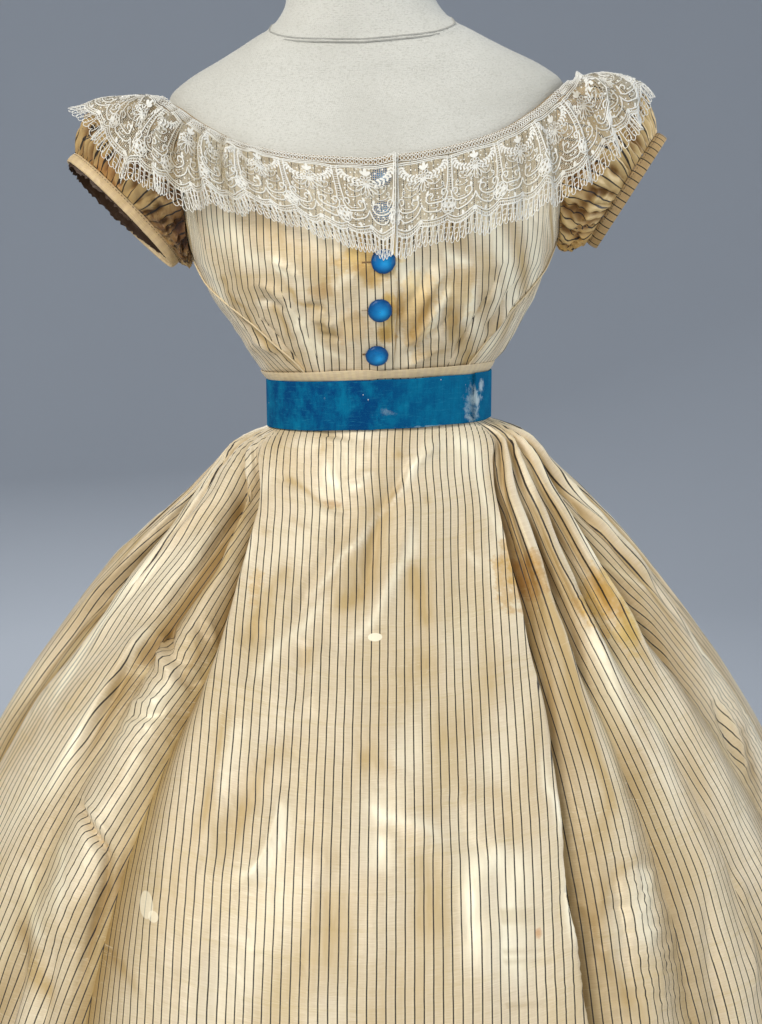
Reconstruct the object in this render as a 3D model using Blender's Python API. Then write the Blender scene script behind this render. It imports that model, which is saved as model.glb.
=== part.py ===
"""Crinoline dress of striped silk taffeta on a limbless dress form with its stand.

Metres, +Z up. The dress faces -Y and the wearer's left side is at +X. The origin is on the floor
under the middle of the stand. Angles run round the figure from the centre front towards +X.
"""
import math

import bmesh
import bpy
import numpy as np
from mathutils import Vector
from mathutils.bvhtree import BVHTree

# Driving dimensions
WAIST_HEIGHT = 1.045
BELT_WIDTH = 0.0445
SKIRT_LENGTH = 1.000
NECK_TOP = 0.430
SEAM_GAP = 0.0003
SILK = 0.0012
LACE = 0.0010
VELVET = 0.0016
LEAN = math.radians(2.2)
# The sway grows with this power of the height up to the shoulders, and the lean dies out below the waist
SHOULDER_HEIGHT = 0.30
SWAY_POWER = 1.6
LEAN_FROM = -0.20
LEAN_FULL = 0.17

BELT_TOP = 0.025
BELT_BOTTOM = BELT_TOP - BELT_WIDTH
SKIRT_LEVEL = -0.025
HALF_SILK = SILK / 2
SQUARENESS = 2.2

# The figure under the bodice: height above the waist, half width, depth in front, depth behind
TORSO_ROWS = (
    (-0.003, 0.1040, 0.0802, 0.0812),
    (0.026, 0.1070, 0.0827, 0.0830),
    (0.040, 0.1168, 0.0918, 0.0862),
    (0.055, 0.1275, 0.1010, 0.0888),
    (0.080, 0.1415, 0.1160, 0.0930),
    (0.105, 0.1570, 0.1250, 0.0980),
    (0.127, 0.1670, 0.1275, 0.1020),
    (0.155, 0.1780, 0.1240, 0.1060),
    (0.185, 0.1860, 0.1170, 0.1080),
    (0.215, 0.1910, 0.1075, 0.1070),
    (0.245, 0.1945, 0.0940, 0.1020),
    (0.270, 0.1965, 0.0800, 0.0940),
    (0.300, 0.1960, 0.0640, 0.0820),
)
# The dress form itself, from its underside to the top of its neck, same columns
FORM_ROWS = (
    (-0.260, 0.1400, 0.1020, 0.1240),
    (-0.240, 0.1500, 0.1120, 0.1340),
    (-0.150, 0.1480, 0.1080, 0.1310),
    (-0.060, 0.1160, 0.0830, 0.0960),
    (-0.010, 0.1000, 0.0768, 0.0770),
    (0.028, 0.1025, 0.0786, 0.0786),
    (0.050, 0.1170, 0.0910, 0.0820),
    (0.085, 0.1385, 0.1120, 0.0895),
    (0.127, 0.1615, 0.1225, 0.0970),
    (0.170, 0.1775, 0.1155, 0.1020),
    (0.215, 0.1868, 0.1030, 0.1020),
    (0.250, 0.1905, 0.0868, 0.0955),
    (0.280, 0.1920, 0.0700, 0.0855),
    (0.296, 0.1865, 0.0628, 0.0790),
    (0.310, 0.1690, 0.0605, 0.0765),
    (0.327, 0.1360, 0.0570, 0.0735),
    (0.342, 0.1080, 0.0555, 0.0700),
    (0.357, 0.0825, 0.0550, 0.0665),
    (0.377, 0.0700, 0.0545, 0.0620),
    (0.420, 0.0655, 0.0538, 0.0583),
    (NECK_TOP, 0.0635, 0.0515, 0.0560),
)
# Upper edge of the dress: angle, height above the waist
NECKLINE_ROWS = (
    (0, 0.2210), (16, 0.2280), (34, 0.2430), (47, 0.2620), (60, 0.2810), (74, 0.2910), (90, 0.2950),
    (106, 0.2910), (120, 0.2840), (140, 0.2730), (160, 0.2650), (180, 0.2620),
)
# Armhole cut in the bodice: angle, height above the waist
ARMHOLE_FRONT = 60
ARMHOLE_BACK = 120
ARMHOLE_ROWS = (
    (60, 0.2740), (61, 0.2520), (63, 0.2240), (66, 0.2000), (70, 0.1790), (76, 0.1620), (83, 0.1530), (90, 0.1500),
    (97, 0.1530), (104, 0.1620), (110, 0.1790), (114, 0.2000), (117, 0.2240), (119, 0.2520), (120, 0.2760),
)
# Bodice seams: height above the waist, then the angle on the wearer's right and on the wearer's left
SIDE_FRONT_SEAM = ((0.000, 32, 44), (0.030, 34, 46), (0.045, 37, 48), (0.060, 43, 51), (0.080, 51, 57),
                   (0.097, 60, 64), (0.112, 70, 71), (0.124, 79, 80), (0.150, 87, 87))
SIDE_BACK_SEAM = ((0.000, 116, 116), (0.060, 112, 112), (0.150, 100, 100))
BACK_SEAM = ((0.000, 163, 163), (0.050, 160, 160), (0.100, 151, 151), (0.150, 138, 138), (0.180, 126, 126),
             (0.205, 115, 115))
# Lapped opening: the wearer's right front lies over the left one
OPENING_EDGE = 5.8
UNDERLAP_END = -6.0
LAP_START = -15.0
LAP_RISE = 7.0
LAP_LIFT = 0.0019
# Levels of the bodice's rows below the armhole, and the rows above them as shares up to the top edge
LOWER_LEVELS = (0.138, 0.112, 0.085, 0.056, 0.041, 0.026, 0.0)
UPPER_SHARES = (1.0, 0.5)
NECK_BAND_HEIGHT = 0.0065
NECK_BAND_LAP = 0.003
BAND_OUT = SILK + 0.0005
PANEL_COLUMNS_AT_HOLE = (61.6, 63.8, 67, 72, 79, 86.8)
# Angles of the neckline's columns, shared by the panels and the band that lies on them
FRONT_NECK_ANGLES = (14, 22, 31, 40, 49, 57, 59.7)
BACK_NECK_ANGLES = (120.3, 125, 133, 142, 151, 160, 170)
# Buttons: angle, height above the waist, radius, rise of the dome
BUTTON_ROWS = (
    (2.0, 0.2035, 0.0095, 0.0038),
    (2.2, 0.1730, 0.0098, 0.0038),
    (2.0, 0.131, 0.0108, 0.0050),
    (1.0, 0.090, 0.0108, 0.0056),
    (0.0, 0.050, 0.0105, 0.0056),
)
BUTTON_SIDES = 14
# Share of the radius and of the rise at each ring of a button, from its rim to its crown
BUTTON_PROFILE = ((0.80, 0.0), (1.0, 0.22), (0.98, 0.50), (0.72, 0.84), (0.30, 1.0))
WAISTBAND = (0.0265, 0.0345)
WAISTBAND_OUT = 0.0029
WAISTBAND_RISE = 12
WAISTBAND_LAP = (332, 24)
# Belt: half width, depth in front and behind of its round, and the angles that its lapped end covers
BELT_SIZES = (0.1100, 0.0878, 0.0885)
BELT_COLUMN = 8.0
BELT_LAP = (48.0, 96.0)
BELT_LAP_RISE = 0.001

# Skirt without its folds: drop below the belt, half width, depth in front, depth behind
SKIRT_ROWS = (
    (-0.0245, 0.1045, 0.0815, 0.0818),
    (-0.006, 0.1066, 0.0836, 0.0845),
    (0.003, 0.1235, 0.0885, 0.0940),
    (0.014, 0.1440, 0.0940, 0.1090),
    (0.030, 0.1600, 0.1010, 0.1280),
    (0.050, 0.1800, 0.1110, 0.1560),
    (0.080, 0.2140, 0.1310, 0.2000),
    (0.120, 0.2550, 0.1620, 0.2500),
    (0.160, 0.2900, 0.2000, 0.2900),
    (0.200, 0.3210, 0.2450, 0.3250),
    (0.250, 0.3560, 0.2980, 0.3620),
    (0.300, 0.3860, 0.3420, 0.3950),
    (0.360, 0.4180, 0.3820, 0.4300),
    (0.450, 0.4580, 0.4220, 0.4720),
    (0.600, 0.5040, 0.4650, 0.5200),
    (0.800, 0.5440, 0.5090, 0.5620),
    (1.000, 0.5700, 0.5400, 0.5900),
)
# Folds of the skirt, one row a line from belt to hem: its depth in mm at four drops, out of the
# skirt above 0 and into it below 0, then its angle at ten drops
DEPTH_DROPS = (0.0, 0.12, 0.30, 1.0)
ANGLE_DROPS = (0.0, 0.03, 0.07, 0.12, 0.18, 0.25, 0.33, 0.45, 0.70, 1.00)
FRONT_FOLDS = (
    ("right back crest", (2, 4, 4, 6), (-88, -82, -75, -76, -78, -78, -78, -77, -76, -75)),
    ("right back valley", (-3, -14, -13, -12), (-84, -76, -68, -65, -66, -69, -71, -70, -69, -68)),
    ("broad ridge outer", (2, 4, 4, 4), (-80, -70, -62.5, -59, -58.5, -62, -63, -62.5, -61.5, -60.5)),
    ("broad ridge inner", (2, 6, 5, 5), (-75, -61, -50, -46, -46, -47.5, -49, -49, -48, -47)),
    ("crumpled valley", (-3, -11, -5, -9), (-68, -54, -42, -38, -40, -42, -43, -43, -42, -41)),
    ("crumpled ridge", (1, 3, 3, 2), (-65, -50, -38.5, -34, -34.5, -36.5, -37, -37, -35.5, -34.5)),
    ("front seam valley", (-3, -15, -12, -10), (-62, -47, -35.5, -31, -29, -30.5, -31.5, -31, -29.5, -28.5)),
    ("front edge crest", (1, 4, 4, 3), (-58, -43, -32.5, -28, -25.5, -25, -23.5, -22.5, -21, -20)),
    ("front outer soft", (-1, 0, -1, -2), (-38, -28, -21, -18, -16, -15.5, -14.5, -14, -13, -12.5)),
    ("front middle", (1, 1, 2, 2), (-2, -2, -1, -1, -1, -1, -1, -1, -1, -1)),
    ("front inner soft", (-1, 0, 0, -2), (36, 26, 21, 18, 16, 14.5, 13.5, 12.5, 11.5, 11)),
    ("left front edge crest", (1, 5, 6, 4), (54, 41, 33, 28, 25, 23, 21, 20, 18.5, 17.5)),
    ("left front seam valley", (-3, -17, -17, -12), (58, 44.5, 35.3, 29.5, 26.1, 23.8, 21.8, 21.3, 20.3, 19.3)),
    ("second crest", (2, 4, 4, 3), (62, 48, 38.5, 34, 32, 31, 29.5, 27.5, 25.5, 24.5)),
    ("second valley", (-3, -9, -8, -7), (65.5, 51.5, 42, 37.5, 35.6, 35.2, 35.3, 33.5, 31.5, 30.5)),
    ("third crest", (2, 4, 3, 4), (68.5, 55, 46, 41, 40, 40.5, 41, 40, 38, 37)),
    ("third valley", (-3, -9, -3, -6), (72, 60, 50.5, 45.5, 44.2, 45, 46, 46, 45, 44)),
    ("fourth crest", (2, 5, 3, 4), (75.5, 66, 56, 50.8, 49.3, 50, 51.5, 52.5, 52.5, 52)),
    ("fourth valley", (-3, -12, -8, -9), (79.5, 72, 61, 56, 56, 59, 60.5, 61, 60.5, 59.5)),
    ("fifth crest", (2, 4, 3, 4), (83.5, 78.5, 71, 70, 71, 72, 72, 70.5, 68.5, 67.5)),
)
# Folds that the sides and the back share: angle at the belt, at the hip, at the hem, depth in mm
BACK_FOLDS = (
    (88, 79, 75, -9), (93, 88, 84, 4), (98, 97, 93, -10), (104, 105, 102, 4), (111, 113, 110, -11),
    (118, 121, 119, 5), (125, 129, 128, -12), (132, 137, 136, 5), (139, 145, 145, -13), (146, 153, 153, 5),
    (153, 160, 161, -12), (161, 167, 169, 5), (170, 174, 177, -13), (179, 181, 185, 6), (189, 189, 193, -13),
    (198, 197, 201, 5), (206, 205, 209, -12), (213, 213, 217, 5), (221, 221, 225, -13), (228, 229, 234, 5),
    (235, 237, 242, -12), (242, 245, 250, 5), (249, 253, 258, -11), (256, 261, 267, 4), (262, 269, 275, -9),
)
SKIRT_SEAMS = {
    "skirt_front": ("front seam valley", "left front seam valley"),
    "skirt_side_front_left": ("left front seam valley", 79),
    "skirt_side_back_left": (79, 145),
    "skirt_back": (145, 221),
    "skirt_side_back_right": (221, 269),
    "skirt_side_front_right": (269, "front seam valley"),
}
# Spans of cloth between two folds that take more or fewer columns than the usual three
FOLD_PARTS = {
    "left front edge crest": 2,
    "front edge crest": 4,
    "front outer soft": 4,
    "front middle": 4,
    "front inner soft": 4,
}
# The folds die out above the belt's lower edge, and the round of the waist turns into the skirt's ellipse
FOLD_START = -0.02
FOLD_FULL = 0.06
ROUND_START = -0.025
ROUND_FULL = 0.08
BACK_DEPTH_SHARES = (0.25, 1.0, 0.95, 1.0)
HIP_DROP = 0.12
KNEE_DROP = 0.45
SKIRT_STEPS = (-0.0245, -0.006, 0.012, 0.045, 0.085, 0.13, 0.185, 0.25, 0.33, 0.45, 0.66, SKIRT_LENGTH)

# Sleeve bands in the figure's own upright frame: side, centre (x, height), direction of the long
# axis from the outer end to the inner end, half length, half depth, turn of the mouth to the front
SLEEVE_ROWS = (
    ("right", (-0.2410, 0.193), (0.670, -0.742), 0.0690, 0.0250, 17),
    ("left", (0.2470, 0.193), (-0.568, -0.823), 0.0600, 0.0250, 7),
)
SLEEVE_BAND_HEIGHT = 0.009
PUFF_TOP = 0.046
PUFF_UNDER = 0.008
SLEEVE_GATHERS = 17
GATHER_DEPTH = 0.0024
BAND_SEAM = 0.0012
BAND_COLUMNS = 36
SLEEVE_STEPS = (0.0, 0.2, 0.45, 0.75, 1.0)
# Share of the sleeve's top edge that is sewn to the neckline, and how far it stays below that edge
SHOULDER_SHARE = 0.30
SHOULDER_DROP = 0.006
SLEEVE_INSET = 0.6
PUFF_POWER = 0.8
GATHER_FADE = 0.9
GATHER_SPAN = 1.15

# Lace: angle at the neckline, then its lower edge in the figure's upright frame (x, y, height)
LACE_ROWS = (
    (6.5, 0.019, -0.1400, 0.126),
    (14, 0.044, -0.1390, 0.137),
    (24, 0.080, -0.1340, 0.144),
    (34, 0.115, -0.1240, 0.153),
    (45, 0.150, -0.1120, 0.166),
    (55, 0.184, -0.1020, 0.181),
    (64, 0.212, -0.0880, 0.201),
    (73, 0.236, -0.0700, 0.224),
    (82, 0.257, -0.0380, 0.246),
    (90, 0.2640, 0.0000, 0.267),
    (98, 0.2580, 0.0350, 0.259),
    (108, 0.2380, 0.0700, 0.236),
    (120, 0.2050, 0.0980, 0.205),
    (138, 0.1350, 0.1260, 0.184),
    (160, 0.0600, 0.1380, 0.178),
    (180, 0.0000, 0.1410, 0.176),
    (200, -0.0600, 0.1380, 0.178),
    (222, -0.1350, 0.1260, 0.184),
    (240, -0.2050, 0.0980, 0.205),
    (252, -0.2480, 0.0700, 0.244),
    (262, -0.2750, 0.0350, 0.276),
    (270, -0.2840, 0.0000, 0.290),
    (277, -0.2690, -0.0360, 0.268),
    (285, -0.2450, -0.0660, 0.238),
    (293, -0.2220, -0.0860, 0.205),
    (301, -0.1960, -0.0980, 0.201),
    (308, -0.1720, -0.1060, 0.182),
    (316, -0.1380, -0.1130, 0.177),
    (325, -0.1040, -0.1220, 0.172),
    (336, -0.0640, -0.1320, 0.159),
    (350, -0.0200, -0.1390, 0.140),
    (366.5, 0.0190, -0.1410, 0.126),
)
LACE_WAVES = 36
LACE_STEPS = (0.0, 0.16, 0.42, 0.70, 1.0)
LACE_LIFT = 0.0018
LAY_REACH = 0.045
LAY_FINE = 3
# How the lace swells over the shoulder: the height of its crown, and the size and drift of its waves
CROWN_OUT = 0.016
CROWN_SHARE = 0.34
WAVE_SIZE = 0.0022
WAVE_SIZE_OVER_ARM = 0.0042
WAVE_DRIFT = 0.8
WAVE_LIFT = 0.4
WAVE_OUTWARD = 0.75
WAVE_UPWARD = 0.65

# Stand
POLE_RADIUS = 0.0125
COLLAR_RADIUS = 0.030
COLLAR_HEIGHT = 0.035
BASE_RADIUS = 0.175
BASE_HEIGHT = 0.024
BASE_RIM = 0.010
SOCKET_OUT = 0.010
SOCKET_HEIGHT = 0.020

# Colour, roughness and metal of each material
FINISHES = {
    "striped_silk": ((0.70, 0.53, 0.29, 1.0), 0.38, 0.0),
    "lace": ((0.80, 0.75, 0.62, 1.0), 0.80, 0.0),
    "velvet_ribbon": ((0.02, 0.17, 0.30, 1.0), 0.75, 0.0),
    "blue_satin": ((0.04, 0.28, 0.62, 1.0), 0.30, 0.0),
    "form_canvas": ((0.72, 0.70, 0.63, 1.0), 0.85, 0.0),
    "stand_metal": ((0.10, 0.10, 0.11, 1.0), 0.40, 0.8),
}


def clear_scene():
    """Removes every object that the scene starts with."""
    for thing in list(bpy.data.objects):
        bpy.data.objects.remove(thing)


def finish(name):
    """Returns the named material, made once."""
    if name in bpy.data.materials:
        return bpy.data.materials[name]
    colour, roughness, metallic = FINISHES[name]
    material = bpy.data.materials.new(name)
    material.use_nodes = True
    shader = material.node_tree.nodes["Principled BSDF"]
    shader.inputs["Base Color"].default_value = colour
    shader.inputs["Roughness"].default_value = roughness
    shader.inputs["Metallic"].default_value = metallic
    material.diffuse_color = colour
    return material


def reader(rows):
    """Returns a function that reads a table smoothly by its first column, with no overshoot."""
    table = np.array(rows, dtype=float)
    place, values = table[:, 0], table[:, 1:]
    step = np.diff(place)[:, None]
    slope = np.diff(values, axis=0) / step
    before, after = slope[:-1], slope[1:]
    same_way = before * after > 0
    tangent = np.zeros_like(values)
    tangent[0], tangent[-1] = slope[0], slope[-1]
    tangent[1:-1] = np.where(same_way, 2 * before * after / np.where(same_way, before + after, 1), 0)

    def read(where):
        where = np.clip(np.asarray(where, dtype=float), place[0], place[-1])
        k = np.clip(np.searchsorted(place, where, side="right") - 1, 0, len(place) - 2)
        span = place[k + 1] - place[k]
        t = ((where - place[k]) / span)[..., None]
        span = span[..., None]
        return ((2 * t**3 - 3 * t**2 + 1) * values[k] + (t**3 - 2 * t**2 + t) * span * tangent[k]
                + (3 * t**2 - 2 * t**3) * values[k + 1] + (t**3 - t**2) * span * tangent[k + 1])

    return read


TORSO = reader(TORSO_ROWS)
FORM = reader(FORM_ROWS)
SKIRT = reader(SKIRT_ROWS)
LACE_EDGE = reader(LACE_ROWS)
NECKLINE = reader(NECKLINE_ROWS)
ARMHOLE = reader(ARMHOLE_ROWS)

# Outer skin of each cloth piece made so far, which the lace is laid over
OUTER_SKINS = {}


def ease(t):
    """Runs from 0 to 1 with level ends."""
    t = np.clip(t, 0, 1)
    return t * t * (3 - 2 * t)


def around(degrees):
    """Folds an angle onto 0 to 180 degrees, for tables that are the same on both sides."""
    turned = np.mod(np.asarray(degrees, dtype=float), 360)
    return np.where(turned > 180, 360 - turned, turned)


def section(sizes, degrees, squareness):
    """Returns x and y on a rounded section with its own depths in front and behind."""
    turn = np.radians(degrees)
    sine, cosine = np.sin(turn), np.cos(turn)
    power = 2 / squareness
    depth = np.where(cosine > 0, sizes[..., 1], sizes[..., 2])
    x = sizes[..., 0] * np.sign(sine) * np.abs(sine) ** power
    y = -depth * np.sign(cosine) * np.abs(cosine) ** power
    return x, y


def stance(points):
    """Leans points of the upright figure as the dress stands, shoulders to the wearer's right."""
    x, y, height = points[..., 0], points[..., 1], points[..., 2]
    sway = math.sin(LEAN) * SHOULDER_HEIGHT * (np.clip(height, 0, None) / SHOULDER_HEIGHT) ** SWAY_POWER
    hold = ease((height - LEAN_FROM) / LEAN_FULL)
    return np.stack([x - sway, y, WAIST_HEIGHT + height + x * math.sin(LEAN) * hold], axis=-1)


def on_torso(degrees, height, out=0.0):
    """Returns points of the upright figure, moved out level from it."""
    degrees, height = np.broadcast_arrays(np.asarray(degrees, float), np.asarray(height, float))
    x, y = section(TORSO(height) + np.asarray(out)[..., None], degrees, SQUARENESS)
    return np.stack([x, y, height], axis=-1)


def neckline_height(degrees):
    """Returns the height of the dress's upper edge at an angle."""
    return NECKLINE(around(degrees))[..., 0]


def bodice_top(degrees):
    """Returns the height where the bodice panels end, at the neck band or the armhole."""
    turned = around(degrees)
    neck = neckline_height(degrees) - NECK_BAND_LAP
    hole = ARMHOLE(turned)[..., 0]
    in_hole = (turned > ARMHOLE_FRONT) & (turned < ARMHOLE_BACK)
    return np.where(in_hole, np.minimum(hole, neck), neck)


def lap_lift(degrees):
    """Returns how far the wearer's right front stands off where it laps the left one."""
    turned = (np.asarray(degrees, float) + 180) % 360 - 180
    return np.where(turned <= OPENING_EDGE + 0.01, LAP_LIFT * ease((turned - LAP_START) / LAP_RISE), 0.0)


def normals(grid, closed=False):
    """Returns the outward unit normals of a grid whose rows run down and whose columns run round."""
    if closed:
        along = np.roll(grid, -1, axis=1) - np.roll(grid, 1, axis=1)
    else:
        along = np.gradient(grid, axis=1)
    down = np.gradient(grid, axis=0)
    normal = np.cross(down, along)
    return normal / np.linalg.norm(normal, axis=-1, keepdims=True)


def outer_faces(rows, columns, closed):
    """Returns the quads of a grid in the order that turns them outward."""
    spans = columns if closed else columns - 1
    return [[row * columns + column, (row + 1) * columns + column,
             (row + 1) * columns + (column + 1) % columns, row * columns + (column + 1) % columns]
            for row in range(rows - 1) for column in range(spans)]


def split(faces, points):
    """Cuts quads in two along their shorter diagonals."""
    cut = []
    for a, b, c, d in faces:
        if np.linalg.norm(points[a] - points[c]) <= np.linalg.norm(points[b] - points[d]):
            cut += [[a, b, c], [a, c, d]]
        else:
            cut += [[b, c, d], [b, d, a]]
    return cut


def make_object(name, points, faces, material):
    """Makes one closed solid with its faces turned outward."""
    mesh = bpy.data.meshes.new(name)
    mesh.from_pydata([tuple(map(float, point)) for point in points], [], faces)
    form = bmesh.new()
    form.from_mesh(mesh)
    bmesh.ops.triangulate(form, faces=form.faces[:])
    bmesh.ops.recalc_face_normals(form, faces=form.faces[:])
    form.to_mesh(mesh)
    form.free()
    mesh.shade_smooth()
    mesh.set_sharp_from_angle(angle=math.radians(50))
    mesh.materials.append(finish(material))
    thing = bpy.data.objects.new(name, mesh)
    bpy.context.scene.collection.objects.link(thing)
    return thing


def wall(name, middle, thickness, material, closed=False, normal=None):
    """Makes a cloth wall of even thickness about a grid of its middle surface."""
    if normal is None:
        normal = normals(middle, closed)
    rows, columns = middle.shape[:2]
    outer = middle + normal * thickness / 2
    inner = middle - normal * thickness / 2
    points = np.concatenate([outer.reshape(-1, 3), inner.reshape(-1, 3)])
    shift = rows * columns

    def index(row, column, side):
        return side * shift + row * columns + column % columns

    shell = split(outer_faces(rows, columns, closed), middle.reshape(-1, 3))
    OUTER_SKINS[name] = (outer.reshape(-1, 3), shell)
    faces = shell + [[corner + shift for corner in reversed(face)] for face in shell]
    spans = columns if closed else columns - 1
    for column in range(spans):
        for row in (0, rows - 1):
            faces.append([index(row, column, 0), index(row, column + 1, 0),
                          index(row, column + 1, 1), index(row, column, 1)])
    if not closed:
        for row in range(rows - 1):
            for column in (0, columns - 1):
                faces.append([index(row, column, 0), index(row + 1, column, 0),
                              index(row + 1, column, 1), index(row, column, 1)])
    return make_object(name, points, faces, material)


def turned_solid(name, rings, material):
    """Makes a closed solid through rings of points, with a flat end at each."""
    count = rings.shape[1]
    points = rings.reshape(-1, 3)
    faces = [list(range(count)), [(len(rings) - 1) * count + k for k in range(count)]]
    for row in range(len(rings) - 1):
        for k in range(count):
            after = (k + 1) % count
            faces.append([row * count + k, row * count + after, (row + 1) * count + after, (row + 1) * count + k])
    OUTER_SKINS[name] = (points, [face[::-1] for face in faces])
    return make_object(name, points, faces, material)


def seam_angle(rows, side, height):
    """Returns a bodice seam's angle at a height, on the wearer's right (-1) or left (1)."""
    table = reader(rows)(height)
    return -table[..., 0] if side < 0 else table[..., 1]


def bodice_grid(first, last, tops, lift=None):
    """Returns the middle surface and normals of a bodice panel between two seams.

    The columns start at the given angles of the panel's top edge and run down between the seams.
    """
    tops = np.array(tops, dtype=float)
    top_height = bodice_top(tops)
    start, end = first(top_height), last(top_height)
    share = (tops - start) / (end - start)
    upper = LOWER_LEVELS[0] + (top_height - LOWER_LEVELS[0]) * np.array(UPPER_SHARES)[:, None]
    lower = np.array(LOWER_LEVELS)[:, None] * np.ones(len(tops))
    height = np.concatenate([upper, lower])
    degrees = first(height) + (last(height) - first(height)) * share
    out = lift(degrees) if lift else 0.0

    def surface(angle, level):
        return stance(on_torso(angle, level, out))

    small = 0.002
    middle = surface(degrees, height)
    along = surface(degrees + 1, height) - surface(degrees - 1, height)
    up = surface(degrees, height + small) - surface(degrees, height - small)
    normal = np.cross(along, up)
    return middle, normal / np.linalg.norm(normal, axis=-1, keepdims=True)


def beside(seam, side):
    """Moves a seam sideways by half the seam gap, towards larger angles for side 1."""
    half_gap = math.degrees((SEAM_GAP * 0.6) / 0.10)
    return lambda height: seam(height) + side * half_gap


def make_bodice():
    """Makes the fronts, side pieces, side backs and back of the bodice."""
    def opening(height):
        return np.full_like(np.asarray(height, float), OPENING_EDGE)

    def underlap(height):
        return np.full_like(np.asarray(height, float), UNDERLAP_END)

    def seam(rows, side):
        return lambda height: seam_angle(rows, side, height)

    def mirrored_back(height):
        return 360 - seam_angle(BACK_SEAM, 1, height)

    hole = PANEL_COLUMNS_AT_HOLE
    side = np.linspace(87.2, 99.8, 9)
    side_back = np.linspace(100.2, 114.4, 7)
    front_left = [UNDERLAP_END, 0, OPENING_EDGE, *FRONT_NECK_ANGLES, *hole]
    front_right = [-angle for angle in reversed((*FRONT_NECK_ANGLES, *hole))] + [-8, 0, OPENING_EDGE]
    panels = (
        ("bodice_front_left", underlap, beside(seam(SIDE_FRONT_SEAM, 1), -1), front_left, None),
        ("bodice_front_right", beside(seam(SIDE_FRONT_SEAM, -1), 1), opening, front_right, lap_lift),
        ("bodice_side_left", beside(seam(SIDE_FRONT_SEAM, 1), 1), beside(seam(SIDE_BACK_SEAM, 1), -1),
         side, None),
        ("bodice_side_right", beside(seam(SIDE_BACK_SEAM, -1), 1), beside(seam(SIDE_FRONT_SEAM, -1), -1),
         -side[::-1], None),
        ("bodice_side_back_left", beside(seam(SIDE_BACK_SEAM, 1), 1), beside(seam(BACK_SEAM, 1), -1),
         side_back, None),
        ("bodice_side_back_right", beside(seam(BACK_SEAM, -1), 1), beside(seam(SIDE_BACK_SEAM, -1), -1),
         -side_back[::-1], None),
    )
    for name, first, last, tops, lift in panels:
        middle, normal = bodice_grid(first, last, tops, lift=lift)
        wall(name, middle, SILK, "striped_silk", normal=normal)
    half_back = [114.8, *BACK_NECK_ANGLES]
    tops = half_back + [180] + [360 - angle for angle in reversed(half_back)]
    middle, normal = bodice_grid(beside(seam(BACK_SEAM, 1), 1), beside(mirrored_back, -1), tops)
    wall("bodice_back", middle, SILK, "striped_silk", normal=normal)


def make_neck_band():
    """Makes the narrow band along the neckline, open at the lapped edge."""
    half = [*FRONT_NECK_ANGLES, *np.linspace(66, 114, 9), *BACK_NECK_ANGLES]
    degrees = np.array([OPENING_EDGE + 0.4, *half, 180, *[360 - angle for angle in reversed(half)],
                        352, 360, 360 + OPENING_EDGE])
    top = neckline_height(degrees)
    out = lap_lift(degrees) + BAND_OUT
    rows = [stance(on_torso(degrees, top - drop, out)) for drop in (0.0, NECK_BAND_HEIGHT)]
    wall("neck_band", np.stack(rows), SILK, "striped_silk")


def band_ring(row, slide, count):
    """Returns a ring of a sleeve band in the upright frame, slid along the sleeve's axis.

    The ring starts at the outer end of its long axis and runs to the front first.
    """
    side, (x, height), (along_x, along_up), half_length, half_depth, turn = row
    sign = -1 if side == "right" else 1
    long_axis = np.array([along_x, 0.0, along_up])
    long_axis /= np.linalg.norm(long_axis)
    level = np.array([-long_axis[2] * sign, 0.0, long_axis[0] * sign])
    tilt = math.radians(turn)
    axis = level * math.cos(tilt) + np.array([0.0, -math.sin(tilt), 0.0])
    short_axis = np.array([0.0, -1.0, 0.0]) * math.cos(tilt) - level * math.sin(tilt)
    turns = np.linspace(0, 2 * math.pi, count, endpoint=False)[:, None]
    centre = np.array([x, 0.0, height]) - axis * SLEEVE_BAND_HEIGHT / 2
    ring = centre - long_axis * half_length * np.cos(turns) + short_axis * half_depth * np.sin(turns)
    return ring + axis * slide


def armhole_ring(side, count):
    """Returns where a sleeve is sewn, from the shoulder tip to the front, the underarm and the back."""
    turns = np.arange(count) / count
    sign = -1 if side == "right" else 1
    mid = (ARMHOLE_FRONT + ARMHOLE_BACK) / 2
    front_half = ARMHOLE_FRONT - SLEEVE_INSET
    back_half = ARMHOLE_BACK + SLEEVE_INSET
    half_top = SHOULDER_SHARE / 2
    under = (turns - half_top) / (1 - SHOULDER_SHARE)
    under_angle = front_half + (back_half - front_half) * (0.5 - 0.5 * np.cos(np.pi * under))
    lead = mid + (front_half - mid) * turns / half_top
    tail = back_half + (mid - back_half) * (turns - 1 + half_top) / half_top
    on_neck = (turns < half_top) | (turns > 1 - half_top)
    degrees = np.where(turns < half_top, lead, np.where(turns > 1 - half_top, tail, under_angle))
    neck = neckline_height(degrees) - SHOULDER_DROP
    height = np.where(on_neck, neck, np.minimum(ARMHOLE(degrees)[..., 0] - 0.002, neck))
    over_band = ease((height - neckline_height(degrees) + 0.015) / 0.006)
    out = SILK + BAND_OUT * over_band + 0.0006
    return on_torso(degrees * sign, height, out)


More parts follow.
